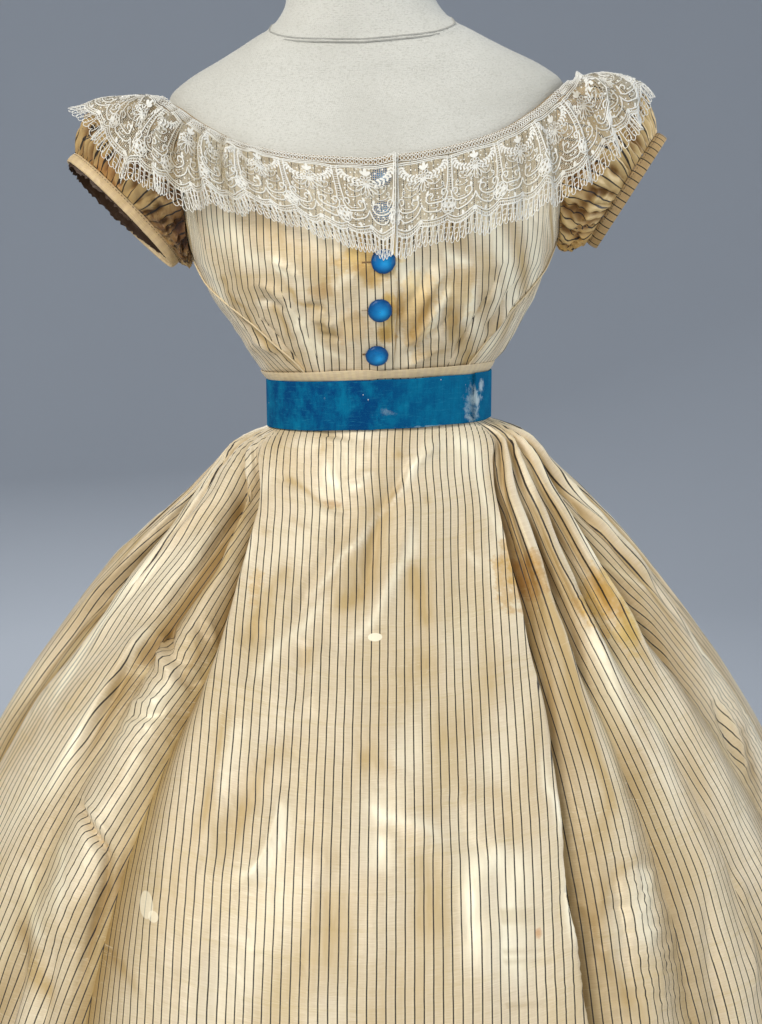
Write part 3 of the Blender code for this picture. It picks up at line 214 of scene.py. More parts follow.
# Creases of the skirt: rise in mm, half width in mm, then the line as (drop, place in the folds)
SKIRT_CREASES = (
    (5, 5, ((0.003, 9.78), (0.021, 9.58), (0.033, 9.46), (0.048, 9.36), (0.057, 9.24), (0.075, 9.10))),
    (-5, 8, ((0.027, 9.56), (0.039, 9.36), (0.057, 9.16), (0.081, 9.02), (0.102, 8.98), (0.126, 8.88),
             (0.150, 8.74))),
    (3.5, 9, ((0.033, 9.66), (0.057, 9.48), (0.081, 9.36), (0.117, 9.22), (0.135, 9.12), (0.165, 9.00))),
    (3, 8, ((0.060, 9.12), (0.078, 8.96), (0.093, 8.78), (0.108, 8.68), (0.132, 8.58), (0.159, 8.44))),
    (-3, 9, ((0.057, 8.76), (0.081, 8.58), (0.105, 8.38), (0.129, 8.24), (0.153, 8.12), (0.174, 8.04))),
    (2.5, 8, ((0.072, 8.56), (0.093, 8.40), (0.114, 8.24), (0.138, 8.04), (0.165, 7.86))),
    (-3, 3, ((-0.003, 8.24), (0.000, 8.58), (0.003, 8.84))),
    (2.5, 3, ((0.000, 8.30), (0.006, 8.60), (0.009, 8.88))),
    (-2.5, 5, ((0.057, 8.24), (0.063, 8.46), (0.066, 8.70))),
    (1.5, 4, ((0.063, 8.26), (0.069, 8.48), (0.072, 8.72))),
    (-2, 4, ((0.036, 7.42), (0.039, 7.74), (0.045, 8.04))),
    (2, 3, ((0.048, 8.50), (0.039, 8.78), (0.033, 9.10))),
    (1.5, 3, ((0.015, 9.18), (0.021, 9.36), (0.027, 9.50))),
    (-3, 10, ((0.153, 7.58), (0.174, 7.54), (0.201, 7.60))),
    (2.5, 8, ((0.165, 8.46), (0.192, 8.42), (0.216, 8.44))),
    (-3, 7, ((0.165, 8.24), (0.186, 8.26), (0.210, 8.26))),
    (1.5, 10, ((0.108, 9.62), (0.138, 9.60), (0.165, 9.62), (0.198, 9.62))),
    (-1.5, 8, ((0.075, 9.96), (0.108, 9.94), (0.138, 9.92))),
    (3, 6, ((0.255, 8.30), (0.276, 8.22), (0.297, 8.14), (0.312, 8.02), (0.321, 7.76))),
    (-3.5, 12, ((0.255, 8.04), (0.276, 7.82), (0.300, 7.62), (0.318, 7.46))),
    (3, 10, ((0.285, 10.22), (0.300, 9.96), (0.315, 9.84), (0.342, 9.78))),
    (-3, 12, ((0.258, 9.66), (0.282, 9.74), (0.300, 9.78))),
    (2.5, 9, ((0.270, 9.24), (0.285, 9.44), (0.300, 9.60), (0.315, 9.68))),
    (-1.5, 14, ((0.231, 9.04), (0.264, 9.02), (0.291, 9.08), (0.327, 9.10))),
    (-1.5, 14, ((0.312, 9.28), (0.339, 9.26), (0.384, 9.24), (0.55, 9.3))),
    (1.5, 14, ((0.240, 8.64), (0.282, 8.60), (0.324, 8.58), (0.372, 8.58), (0.6, 8.6))),
    (3, 16, ((0.315, 9.94), (0.345, 9.88), (0.375, 9.86), (0.5, 9.9))),
    (-3, 12, ((0.330, 7.74), (0.360, 7.78), (0.396, 7.84), (0.6, 7.9))),
    (2, 12, ((0.324, 7.34), (0.360, 7.42), (0.399, 7.50), (0.7, 7.5))),
    (-7, 9, ((0.033, 5.30), (0.060, 4.2), (0.085, 3.8), (0.110, 3.66), (0.144, 3.56), (0.177, 3.62))),
    (-4, 3.5, ((0.159, 5.18), (0.168, 5.46), (0.177, 5.72))),
    (-4, 4, ((0.192, 5.22), (0.201, 5.58), (0.207, 6.00))),
    (3, 3, ((0.156, 5.32), (0.168, 5.66), (0.180, 5.90))),
    (3, 3.5, ((0.189, 5.38), (0.198, 5.76), (0.203, 5.95))),
    (4, 5, ((0.171, 3.50), (0.183, 4.2), (0.192, 4.9), (0.201, 5.50))),
    (-4, 5, ((0.171, 3.70), (0.180, 4.58), (0.189, 5.46), (0.198, 5.84))),
    (3, 5, ((0.222, 4.12), (0.216, 5.0), (0.210, 5.56))),
    (-3, 4, ((0.228, 4.38), (0.225, 5.10), (0.222, 5.60))),
    (-6, 7, ((0.183, 3.48), (0.198, 3.40), (0.219, 3.50), (0.237, 3.52), (0.255, 3.48), (0.276, 3.58))),
    (4, 6, ((0.162, 3.38), (0.186, 3.30), (0.207, 3.25), (0.228, 3.25), (0.249, 3.20))),
    (3, 6, ((0.033, 3.40), (0.066, 2.68), (0.096, 2.44), (0.126, 2.40), (0.150, 2.28), (0.183, 2.32),
            (0.216, 2.42))),
    (-5, 7, ((0.070, 1.2), (0.110, 0.85), (0.150, 0.74), (0.192, 0.50), (0.240, 0.56), (0.300, 0.56))),
    (3, 5, ((0.075, 0.8), (0.126, 0.50), (0.159, 0.34), (0.189, 0.28))),
    (-4, 5, ((0.291, 4.10), (0.300, 4.94), (0.318, 5.54))),
    (3, 4, ((0.288, 4.26), (0.297, 5.10), (0.315, 5.64))),
    (-6, 10, ((0.366, 5.02), (0.399, 5.10), (0.435, 5.20), (0.6, 5.3))),
    (-5, 9, ((0.366, 4.00), (0.399, 4.22), (0.435, 4.36), (0.65, 4.5))),
    (-6, 4, ((0.039, 12.1), (0.063, 12.34), (0.090, 12.36), (0.111, 12.44), (0.141, 12.46), (0.183, 12.46),
             (0.216, 12.36))),
    (4, 4, ((0.033, 12.56), (0.075, 12.82), (0.105, 12.92), (0.129, 13.00), (0.156, 13.1), (0.183, 13.2),
            (0.216, 12.94))),
    (-4, 5, ((0.054, 14.42), (0.084, 14.32), (0.126, 14.18), (0.153, 14.24), (0.198, 14.10), (0.219, 13.90))),
    (4, 5, ((0.060, 14.60), (0.078, 14.75), (0.114, 14.8), (0.150, 14.9), (0.192, 14.96), (0.222, 14.96))),
    (-5, 5, ((0.050, 15.9), (0.080, 16.1), (0.105, 16.24), (0.132, 16.4), (0.159, 16.4), (0.195, 16.3))),
    (4, 5, ((0.020, 16.3), (0.040, 16.5), (0.066, 16.68), (0.099, 16.84), (0.132, 16.86), (0.165, 17.1),
            (0.204, 17.20))),
    (-5, 6, ((0.096, 18.22), (0.126, 18.20), (0.150, 18.20), (0.192, 18.10), (0.228, 17.9))),
    (3.5, 4, ((0.057, 18.3), (0.072, 18.64), (0.093, 18.82), (0.126, 18.9), (0.170, 18.8))),
    (3, 3.5, ((0.009, 18.6), (0.030, 18.9), (0.051, 19.1), (0.080, 19.3))),
    (-4, 3.5, ((0.006, 18.2), (0.036, 18.3), (0.060, 18.48), (0.081, 18.6), (0.114, 18.6))),
    (-4, 4, ((0.030, 19.7), (0.051, 19.6), (0.075, 19.6), (0.099, 19.6), (0.129, 19.6))),
    (3, 4, ((0.018, 19.8), (0.042, 19.9), (0.069, 19.9), (0.096, 19.9), (0.132, 19.9))),
    (2, 2, ((0.039, 11.95), (0.033, 12.06), (0.033, 12.3), (0.039, 12.5))),
    (-4, 6, ((0.240, 18.44), (0.270, 18.26), (0.300, 18.08))),
    (3, 5, ((0.246, 18.56), (0.279, 18.36), (0.315, 18.02))),
    (-3, 6, ((0.126, 18.72), (0.159, 18.88), (0.200, 19.0), (0.246, 18.98))),
    (-2, 2.5, ((0.213, 14.20), (0.210, 14.50), (0.207, 14.68))),
    (-4, 4, ((0.342, 12.18), (0.360, 12.32), (0.378, 12.40))),
    (-4, 6, ((0.312, 12.76), (0.351, 12.76), (0.405, 12.68))),
    (-5, 10, ((0.330, 14.98), (0.372, 14.76), (0.426, 14.52), (0.6, 14.5))),
    (3, 8, ((0.345, 16.34), (0.393, 15.86), (0.441, 15.18))),
    (3, 6, ((0.02, 22.8), (0.08, 22.6), (0.2, 22.7), (0.4, 22.6))),
    (-4, 6, ((0.03, 24.4), (0.1, 24.5), (0.25, 24.4), (0.5, 24.6))),
    (3, 5, ((0.12, 24.2), (0.15, 25.0), (0.17, 25.8))),
    (-4, 5, ((0.15, 26.2), (0.18, 27.0), (0.2, 27.6))),
    (4, 7, ((0.03, 28.6), (0.1, 28.7), (0.3, 28.6), (0.6, 28.7))),
    (-3, 6, ((0.22, 29.2), (0.26, 30.1), (0.28, 30.8))),
    (-5, 8, ((0.05, 31.4), (0.16, 31.5), (0.4, 31.6), (0.8, 31.4))),
    (3, 6, ((0.3, 32.2), (0.36, 33.2), (0.4, 33.9))),
    (4, 6, ((0.02, 33.4), (0.1, 33.5), (0.22, 33.4))),
    (-4, 7, ((0.1, 35.6), (0.3, 35.5), (0.62, 35.6))),
    (3, 5, ((0.18, 36.2), (0.2, 37.0), (0.21, 37.7))),
    (-4, 6, ((0.04, 39.5), (0.12, 39.4), (0.3, 39.6))),
    (4, 6, ((0.08, 41.4), (0.3, 41.5), (0.7, 41.4))),
    (-3, 5, ((0.24, 42.1), (0.27, 43.0), (0.31, 43.8))),
    (-5, 3, ((0.291, 4.08), (0.315, 5.52), (0.33, 5.66), (0.345, 5.74), (0.381, 5.74), (0.432, 5.7))),
)
# Fine pleats under the belt: rise in mm, place in the folds, drift of the place, length in metres
BELT_PLEATS = (
    (-4, 12.55, 0.1, 0.05), (3, 13.05, 0.1, 0.02), (-4, 13.6, 0.0, 0.10), (3, 14.1, -0.1, 0.04),
    (-4, 14.6, 0.1, 0.06), (3, 15.1, 0.2, 0.03), (-4, 15.55, 0.1, 0.08), (3, 16.05, 0.0, 0.02),
    (-4, 16.5, 0.1, 0.05), (3, 17.0, 0.2, 0.07), (-4, 17.5, 0.1, 0.04), (3, 18.05, 0.0, 0.03),
    (-4, 18.6, 0.1, 0.06), (3, 19.2, 0.1, 0.05), (-4, 20.6, 0.1, 0.08), (3, 21.4, 0.1, 0.04),
    (-4, 22.5, 0.0, 0.09), (3, 23.5, 0.1, 0.03), (-4, 24.6, 0.1, 0.07), (3, 26.4, 0.0, 0.05),
    (-4, 27.5, 0.1, 0.06), (3, 29.4, 0.1, 0.04), (-4, 30.6, 0.0, 0.09), (3, 32.5, 0.1, 0.05),
    (-4, 34.5, 0.1, 0.07), (3, 36.6, 0.0, 0.04), (-4, 38.5, 0.1, 0.08), (3, 40.4, 0.1, 0.05),
    (-4, 41.5, 0.0, 0.06), (3, 42.6, 0.1, 0.04), (-4, 43.6, 0.0, 0.07), (3, 44.3, -0.1, 0.04),
    (-4, 44.9, -0.1, 0.08), (3, 45.5, -0.1, 0.03), (-4, 46.0, 0.0, 0.06), (3, 46.6, -0.1, 0.05),
    (-4, 47.2, 0.0, 0.04),
)
# Half width in mm of each pleat and of its streak, then the strength of the painted highlight on a ridge and
# of the painted shade in a valley
PLEAT_HALF_WIDTH = 2.6
PLEAT_SHEEN_HALF_WIDTH = 3.2
PLEAT_GLOW = 0.6
PLEAT_DULL = -0.9

# Streaks of sheen (above 0) and of dull shade (below 0) on the skirt: strength, half width in mm,
# then the line as (drop, place in the folds)
SKIRT_SHEEN = (
    (-0.8, 2.8, ((0.036, 7.48), (0.039, 7.82), (0.048, 8.1), (0.057, 8.26), (0.063, 8.7))),
    (-0.5, 3.8, ((0.069, 7.76), (0.075, 7.96), (0.081, 8.24))),
    (-0.5, 2.8, ((0.081, 7.14), (0.087, 7.46))),
    (-0.8, 8.5, ((0.03, 9.42), (0.051, 9.32), (0.066, 9.1), (0.081, 9.0), (0.102, 8.94), (0.117, 8.92),
           (0.132, 8.84), (0.144, 8.56), (0.156, 8.42))),
    (-0.7, 9.5, ((0.102, 8.1), (0.117, 7.88), (0.132, 7.64), (0.147, 7.52), (0.165, 7.38), (0.18, 7.16))),
    (-0.6, 7.6, ((0.102, 9.4), (0.138, 9.5), (0.162, 9.56))),
    (-0.55, 23.8, ((0.165, 9.56), (0.204, 9.62), (0.246, 9.68))),
    (-0.5, 15.2, ((0.108, 10.34), (0.165, 10.22), (0.219, 10.28))),
    (-0.5, 3.8, ((0.054, 9.62), (0.066, 9.64))),
    (-0.5, 4.8, ((0.009, 8.38), (0.015, 8.46))),
    (-0.5, 7.6, ((0.003, 8.92), (0.018, 8.94))),
    (-0.5, 3.8, ((0.021, 9.2), (0.018, 9.34))),
    (-0.6, 5.7, ((0.168, 8.3), (0.177, 8.3), (0.183, 8.2))),
    (-0.6, 11.4, ((0.216, 8.24), (0.234, 8.18), (0.246, 8.04), (0.267, 7.92), (0.288, 7.72), (0.318, 7.6))),
    (-0.5, 11.4, ((0.234, 8.88), (0.246, 9.22), (0.24, 9.28))),
    (-0.55, 13.3, ((0.291, 9.38), (0.309, 9.46), (0.33, 9.48), (0.354, 9.5))),
    (-0.45, 13.3, ((0.261, 9.68), (0.261, 9.94), (0.258, 10.28))),
    (-0.4, 19, ((0.312, 8.6), (0.336, 8.74), (0.363, 8.8), (0.387, 8.92))),
    (-0.4, 13.3, ((0.285, 8.36), (0.294, 8.58), (0.306, 8.82))),
    (0.9, 3.3, ((0.003, 9.92), (0.012, 9.6), (0.03, 9.48), (0.048, 9.38), (0.06, 9.22), (0.069, 9.04),
           (0.081, 8.94), (0.093, 8.82), (0.102, 8.64), (0.117, 8.5), (0.132, 8.3), (0.144, 8.18),
           (0.156, 8.0))),
    (0.8, 5.7, ((0.069, 9.58), (0.081, 9.48), (0.099, 9.42), (0.114, 9.28), (0.126, 9.18), (0.138, 9.1),
           (0.15, 9.02), (0.162, 8.8), (0.171, 8.62), (0.177, 8.56))),
    (0.7, 2.8, ((0.048, 8.62), (0.045, 8.82), (0.036, 8.98), (0.036, 9.1))),
    (0.6, 3.8, ((0.021, 8.44), (0.036, 8.46), (0.048, 8.62))),
    (0.5, 9.5, ((0.003, 7.8), (0.009, 8.24), (0.003, 8.44))),
    (0.7, 6.6, ((0.015, 9.7), (0.012, 10.0), (0.024, 10.54), (0.054, 10.7), (0.078, 10.82),
           (0.105, 11.06))),
    (0.6, 6.6, ((0.009, 7.52), (0.039, 7.2), (0.072, 5.74), (0.102, 6.84), (0.135, 5.94), (0.168, 6.42),
           (0.198, 7.04))),
    (0.7, 7.6, ((0.126, 8.56), (0.141, 8.4), (0.156, 8.22), (0.171, 7.96), (0.189, 7.68), (0.204, 7.44))),
    (0.5, 3.8, ((0.099, 10.04), (0.105, 10.18), (0.114, 10.28))),
    (0.9, 5.7, ((0.264, 8.16), (0.273, 8.26), (0.285, 8.26), (0.297, 8.2), (0.309, 8.08), (0.315, 7.84),
           (0.318, 7.72))),
    (0.7, 5.7, ((0.261, 8.9), (0.27, 9.08), (0.276, 9.3), (0.282, 9.5), (0.297, 9.58))),
    (0.6, 8.5, ((0.282, 9.1), (0.297, 9.1), (0.309, 9.08))),
    (0.9, 11.4, ((0.285, 10.22), (0.3, 9.98), (0.312, 9.8), (0.333, 9.76), (0.357, 9.78), (0.384, 9.92))),
    (0.8, 13.3, ((0.288, 10.32), (0.309, 10.24), (0.336, 10.1), (0.36, 10.1), (0.393, 10.2))),
    (0.9, 3.8, ((0.225, 10.9), (0.258, 10.84), (0.306, 11.5), (0.345, 11.08), (0.393, 12.2))),
    (0.5, 8.5, ((0.213, 7.62), (0.243, 7.52), (0.276, 7.5))),
    (-1, 6.6, ((0.045, 5.3), (0.075, 5.18), (0.111, 3.84), (0.141, 3.82), (0.168, 3.84), (0.189, 3.58),
           (0.213, 3.58), (0.24, 3.64), (0.267, 3.74), (0.3, 3.74))),
    (-0.9, 3.8, ((0.144, 1.64), (0.189, 0.72), (0.225, 0.58), (0.261, 0.68))),
    (-0.5, 4.8, ((0.063, -1.88), (0.096, -0.02), (0.141, 0.38), (0.18, 0.38))),
    (-0.9, 2.8, ((0.171, 5.26), (0.183, 5.58), (0.198, 5.48), (0.21, 5.96))),
    (-1, 2.1, ((0.291, 4.08), (0.315, 5.52), (0.33, 5.66), (0.345, 5.74), (0.381, 5.74), (0.396, 5.74),
           (0.432, 5.7))),
    (-1, 7.6, ((0.378, 3.66), (0.396, 4.24), (0.417, 5.18), (0.435, 5.4))),
    (-0.4, 5.7, ((0.228, 5.06), (0.261, 5.22), (0.288, 5.08))),
    (-0.5, 4.8, ((0.378, 6.08), (0.387, 6.6), (0.399, 6.96))),
    (-0.6, 5.7, ((0.201, 7.32), (0.231, 7.36), (0.27, 7.36), (0.306, 7.22))),
    (0.8, 7.6, ((0.012, 2.08), (0.075, 2.16), (0.12, 2.12), (0.162, 2.14), (0.195, 2.12), (0.246, 2.48),
           (0.285, 2.76))),
    (1, 5.7, ((0.162, 3.46), (0.18, 3.4), (0.198, 3.46), (0.204, 4.7))),
    (0.7, 6.6, ((0.195, 5.1), (0.225, 5.28), (0.249, 5.3), (0.279, 5.34))),
    (0.7, 4.8, ((0.195, 3.1), (0.237, 3.12), (0.279, 3.24), (0.303, 3.36))),
    (0.8, 5.7, ((0.336, 3.44), (0.372, 4.1), (0.39, 5.08))),
    (0.4, 5.7, ((0.315, 4.12), (0.339, 4.68), (0.369, 5.12))),
    (-1, 3.8, ((0.048, 12.74), (0.09, 12.4), (0.132, 12.42), (0.171, 12.34), (0.21, 12.38),
           (0.246, 12.28), (0.276, 12.36))),
    (-0.9, 8.5, ((0.099, 13.44), (0.144, 12.98), (0.18, 12.96), (0.222, 12.86), (0.252, 12.92),
           (0.273, 12.96), (0.309, 12.48), (0.336, 12.34))),
    (-0.6, 4.8, ((0.045, 15.74), (0.09, 14.74), (0.135, 14.66), (0.177, 14.54))),
    (-0.7, 5.7, ((0.048, 17.36), (0.102, 18.2), (0.138, 16.86), (0.183, 16.92), (0.225, 16.78),
           (0.255, 16.6))),
    (-0.6, 3.8, ((0.075, 18.48), (0.12, 18.62), (0.15, 18.66), (0.198, 18.62), (0.228, 18.56))),
    (-0.6, 7.6, ((0.264, 18.64), (0.291, 18.44), (0.324, 18.14))),
    (-0.6, 5.7, ((0.312, 13.82), (0.321, 12.8), (0.345, 12.5), (0.366, 12.34))),
    (-0.6, 8.5, ((0.366, 12.34), (0.402, 12.66), (0.417, 12.78))),
    (0.8, 2.8, ((0.111, 12.98), (0.162, 13.18), (0.21, 13.42), (0.261, 14.02))),
    (0.8, 3.8, ((0.03, 14.6), (0.081, 14.68), (0.132, 14.72), (0.186, 14.72), (0.231, 14.64),
           (0.279, 14.9), (0.3, 14.82))),
    (0.7, 9.5, ((0.183, 15.98), (0.228, 15.86), (0.264, 15.34))),
    (0.7, 2.8, ((0.117, 18.16), (0.147, 18.56), (0.159, 18.72))),
    (0.7, 13.3, ((0.318, 13.68), (0.351, 13.36), (0.384, 13.1))),
    (0.5, 3.8, ((0.018, 20.96), (0.075, 21.14), (0.114, 20.8))),
    (0.7, 6, ((0.05, 21.0), (0.2, 21.1), (0.5, 21.0))),
    (-0.8, 6, ((0.04, 22.1), (0.2, 22.0), (0.6, 22.1))),
    (0.6, 7, ((0.06, 25.1), (0.3, 25.0), (0.8, 25.1))),
    (-0.8, 6, ((0.03, 28.0), (0.3, 28.1), (0.9, 28.0))),
    (0.7, 8, ((0.05, 31.0), (0.25, 30.9), (0.7, 31.1))),
    (-0.7, 7, ((0.06, 34.0), (0.3, 34.1), (0.8, 34.0))),
    (0.6, 7, ((0.1, 37.1), (0.4, 37.0), (0.9, 36.9))),
    (-0.8, 6, ((0.03, 40.0), (0.25, 40.1), (0.7, 40.0))),
    (0.6, 7, ((0.05, 43.0), (0.3, 43.1), (0.8, 43.0))),
    (-0.8, 5, ((0.03, 5.6), (0.07, 5.2), (0.11, 4.9), (0.16, 4.7))),
    (-0.7, 5, ((0.05, 3.9), (0.10, 3.8), (0.15, 3.7))),
    (-0.7, 6, ((0.04, 6.6), (0.08, 6.3), (0.13, 6.0), (0.19, 5.8))),
)
# Height of the turned hem, and from the skirt's outside to the turned part's
HEM_TURNED = 0.04
HEM_THICK = 0.0022
# Rumpled patches of the skirt: drop, place in the folds, radius in metres, rise in mm
RUMPLED = (
    (0.185, 4.6, 0.030, 2.6), (0.225, 4.9, 0.030, 1.8), (0.330, 12.7, 0.055, 1.5),
    (0.390, 12.9, 0.060, 1.8), (0.350, 5.0, 0.050, 1.0), (0.020, 8.4, 0.030, 0.9),
    (0.150, 14.8, 0.040, 0.9), (0.260, 18.6, 0.060, 1.4), (0.300, 24.0, 0.060, 1.4),
    (0.250, 33.0, 0.070, 1.6), (0.280, 41.0, 0.060, 1.4), (0.600, 30.0, 0.080, 1.5),
)

# Sleeve bands: side, centre (x, height), long axis, half length, half depth, turn to the front
SLEEVE_ROWS = (
    ("right", (-0.2410, 0.193), (0.670, -0.742), 0.0690, 0.0250, 17),
    ("left", (0.2470, 0.193), (-0.568, -0.823), 0.0600, 0.0250, 7),
)
# Sleeves: height of the band, how far the puff stands out on top and below, where the band's stitches
# run, depth of the turning, the share of a sleeve's upper ring that lies on the shoulder and how far
# below the neckline, degrees between that ring and the armhole's ends, and how the puff falls off
SLEEVE_BAND_HEIGHT = 0.009
PUFF_TOP = 0.046
PUFF_UNDER = 0.008
BAND_SEAM = 0.0012
SHOULDER_SHARE = 0.30
SHOULDER_DROP = 0.006
SLEEVE_INSET = 0.6
PUFF_POWER = 0.8
SLEEVE_SEEDS = {"right": 31, "left": 47}
# How far the ragged turning hangs out of each sleeve's band
TURNING_SHOWN = {"right": 1.0, "left": 0.12}
STITCH_RADIUS = 0.00028

# Lace: angle at the neckline, then its lower edge in the figure's upright frame (x, y, height)
LACE_ROWS = (
    (6.5, 0.019, -0.1400, 0.126), (14, 0.044, -0.1390, 0.137), (24, 0.080, -0.1340, 0.144),
    (34, 0.115, -0.1240, 0.153), (45, 0.150, -0.1120, 0.166), (55, 0.184, -0.1020, 0.181),
    (64, 0.212, -0.0880, 0.201), (73, 0.236, -0.0700, 0.224), (82, 0.257, -0.0380, 0.246),
    (90, 0.2640, 0.0000, 0.267), (98, 0.2580, 0.0350, 0.259), (108, 0.2380, 0.0700, 0.236),
    (120, 0.2050, 0.0980, 0.205), (138, 0.1350, 0.1260, 0.184), (160, 0.0600, 0.1380, 0.178),
    (180, 0.0000, 0.1410, 0.176), (200, -0.0600, 0.1380, 0.178), (222, -0.1350, 0.1260, 0.184),
    (240, -0.2050, 0.0980, 0.205), (252, -0.2480, 0.0700, 0.244), (262, -0.2750, 0.0350, 0.276),
    (270, -0.2840, 0.0000, 0.290), (277, -0.2690, -0.0360, 0.268), (285, -0.2450, -0.0660, 0.238),
    (293, -0.2220, -0.0860, 0.205), (301, -0.1960, -0.0980, 0.201), (308, -0.1720, -0.1060, 0.182),
    (316, -0.1380, -0.1130, 0.177), (325, -0.1040, -0.1220, 0.172), (336, -0.0640, -0.1320, 0.159),
    (350, -0.0200, -0.1390, 0.140), (366.5, 0.0190, -0.1410, 0.126),
)
# Waves of the lace: how many, how far out and how far down its crown lies, their size in front and what
# they gain over the arms, how unevenly they come, their lift, and their way outward and upward
LACE_WAVES = 36
CROWN_OUT = 0.016
CROWN_SHARE = 0.34
WAVE_SIZE = 0.0022
WAVE_SIZE_OVER_ARM = 0.0042
WAVE_DRIFT = 0.8
WAVE_LIFT = 0.4
WAVE_OUTWARD = 0.75
WAVE_UPWARD = 0.65

# Creases of the bodice: rise in mm, half width in mm, then the line as (angle, height)
BODICE_CREASES = (
    (-1.2, 2.0, ((-24, 0.035), (-25, 0.060), (-26.5, 0.085), (-29, 0.111))),
    (-1.2, 2.0, ((-33, 0.035), (-38, 0.055), (-42, 0.075), (-46, 0.090))),
    (-1.3, 2.0, ((32.5, 0.035), (35, 0.060), (38, 0.086), (41, 0.122))),
    (1.8, 4.0, ((-29, 0.100), (-34, 0.112), (-40, 0.118))),
    (-1.8, 3.5, ((-30, 0.090), (-35, 0.099), (-42, 0.104))),
    (1.5, 3.0, ((-22, 0.118), (-26, 0.130), (-31, 0.136))),
    (-1.6, 3.0, ((-15, 0.088), (-19, 0.095), (-23, 0.096))),
    (1.4, 2.5, ((-14, 0.076), (-18, 0.082), (-22, 0.083))),
    (-1.5, 2.5, ((-12, 0.062), (-16, 0.068), (-21, 0.070))),
    (1.5, 3.0, ((8, 0.052), (14, 0.066), (20, 0.088), (24, 0.110))),
    (-1.6, 3.0, ((8, 0.045), (15, 0.056), (22, 0.072), (28, 0.090))),
    (1.4, 2.5, ((10, 0.038), (18, 0.044), (26, 0.056))),
    (-1.4, 3.5, ((9, 0.090), (13, 0.110), (16, 0.135))),
    (1.2, 3.5, ((12, 0.085), (17, 0.108), (20, 0.130))),
    (-1.4, 3.0, ((-48, 0.060), (-54, 0.075), (-60, 0.085))),
    (1.3, 3.0, ((-46, 0.052), (-53, 0.062), (-60, 0.070))),
    (1.2, 4.0, ((-6, 0.100), (-8, 0.130), (-9, 0.150))),
    (-1.2, 4.0, ((-10, 0.105), (-12, 0.135), (-12, 0.160))),
    (1.5, 4.0, ((50, 0.055), (54, 0.080), (60, 0.105))),
    (-1.4, 4.0, ((46, 0.060), (50, 0.090), (55, 0.120))),
    (1.5, 5.0, ((80, 0.03), (86, 0.07), (90, 0.12))),
    (-1.5, 5.0, ((-80, 0.03), (-86, 0.07), (-92, 0.12))),
    (1.3, 5.0, ((140, 0.04), (144, 0.09), (150, 0.14))),
    (-1.4, 6.0, ((170, 0.05), (174, 0.10), (172, 0.16))),
    (1.3, 5.0, ((200, 0.05), (198, 0.10), (204, 0.15))),
)
# Streaks of sheen and of dull shade on the bodice: strength, half width in mm, (angle, height)
BODICE_SHEEN = (
    # The first row is a painted shadow line along the front opening's edge
    (-2.4, 0.9, ((5.5, 0.034), (5.5, 0.060), (5.5, 0.085), (5.55, 0.110), (5.6, 0.135), (5.6, 0.160))),
    (0.7, 2.7, ((-30, 0.127), (-28, 0.129), (-25, 0.12))),
    (0.6, 4.5, ((-12, 0.107), (-7, 0.121), (-4, 0.114))),
    (0.6, 3.6, ((-44, 0.096), (-35, 0.102), (-31, 0.095))),
    (0.6, 3.6, ((-29, 0.068), (-24, 0.06), (-17, 0.052), (-8, 0.043))),
    (0.8, 3.6, ((23, 0.117), (21, 0.093), (18, 0.071), (14, 0.057))),
    (0.6, 4.5, ((31, 0.117), (33, 0.092), (30, 0.066))),
    (0.5, 4.5, ((41, 0.116), (45, 0.094), (45, 0.068))),
    (0.6, 4.5, ((8, 0.112), (13, 0.117))),
    (0.6, 9, ((-44, 0.143), (-34, 0.136), (-24, 0.134))),
    (0.7, 5.4, ((18, 0.138), (25, 0.129), (30, 0.128))),
    (-0.6, 2.2, ((-28, 0.117), (-25, 0.108), (-25, 0.099), (-19, 0.093), (-13, 0.089))),
    (-0.7, 2.7, ((-57, 0.111), (-50, 0.096), (-52, 0.072), (-44, 0.049))),
    (-1, 4.5, ((18, 0.107), (16, 0.097), (15, 0.083), (12, 0.068), (10, 0.054))),
    (-0.4, 4.5, ((29, 0.095), (29, 0.073), (28, 0.052))),
    (-1, 7.2, ((-5, 0.131), (-2, 0.12), (0, 0.107))),
    (-0.8, 5.4, ((2, 0.076), (4, 0.058))),
    (-0.8, 2.7, ((50, 0.046), (42, 0.036))),
    (-0.4, 4.5, ((-22, 0.079), (-16, 0.071), (-9, 0.07))),
    (-0.4, 3.6, ((17, 0.049), (33, 0.051))),
    (-0.5, 3.6, ((-36, 0.102), (-34, 0.084), (-32, 0.061))),
    (-0.9, 3.6, ((6, 0.111), (7, 0.089), (7, 0.062))),
    (-0.5, 5.4, ((-55, 0.131), (-56, 0.104), (-59, 0.083))),
    (-0.4, 3.6, ((48, 0.103), (52, 0.078), (58, 0.052))),
    (0.6, 6, ((110, 0.05), (106, 0.09), (100, 0.13))),
    (-0.6, 5, ((120, 0.05), (118, 0.10), (112, 0.15))),
    (0.6, 7, ((168, 0.04), (166, 0.10), (160, 0.18))),
    (-0.6, 6, ((182, 0.05), (184, 0.12), (190, 0.20))),
    (0.6, 6, ((-112, 0.05), (-108, 0.10), (-100, 0.14))),
    (-0.6, 5, ((-130, 0.05), (-134, 0.12), (-140, 0.18))),
)

# Soft folds of the lace: angle, half width in degrees, rise in mm
LACE_RUFFLES = (
    (297, 1.7, 8.0), (304, 1.8, 13.0), (311, 1.8, 13.5), (317.5, 1.6, 12.0), (324, 1.5, 9.0),
    (331, 1.4, 5.5), (289, 1.7, 3.0), (281, 2.0, 2.5), (262, 2.0, 3.5), (45, 1.8, 3.5), (58, 1.8, 5.0),
    (70, 2.0, 5.0), (80, 1.8, 4.0), (88, 2.2, 4.0), (120, 3.0, 6.0), (138, 3.0, 5.0), (160, 4.0, 5.0),
    (200, 4.0, 5.0), (222, 3.0, 5.0), (240, 3.0, 6.0),
)
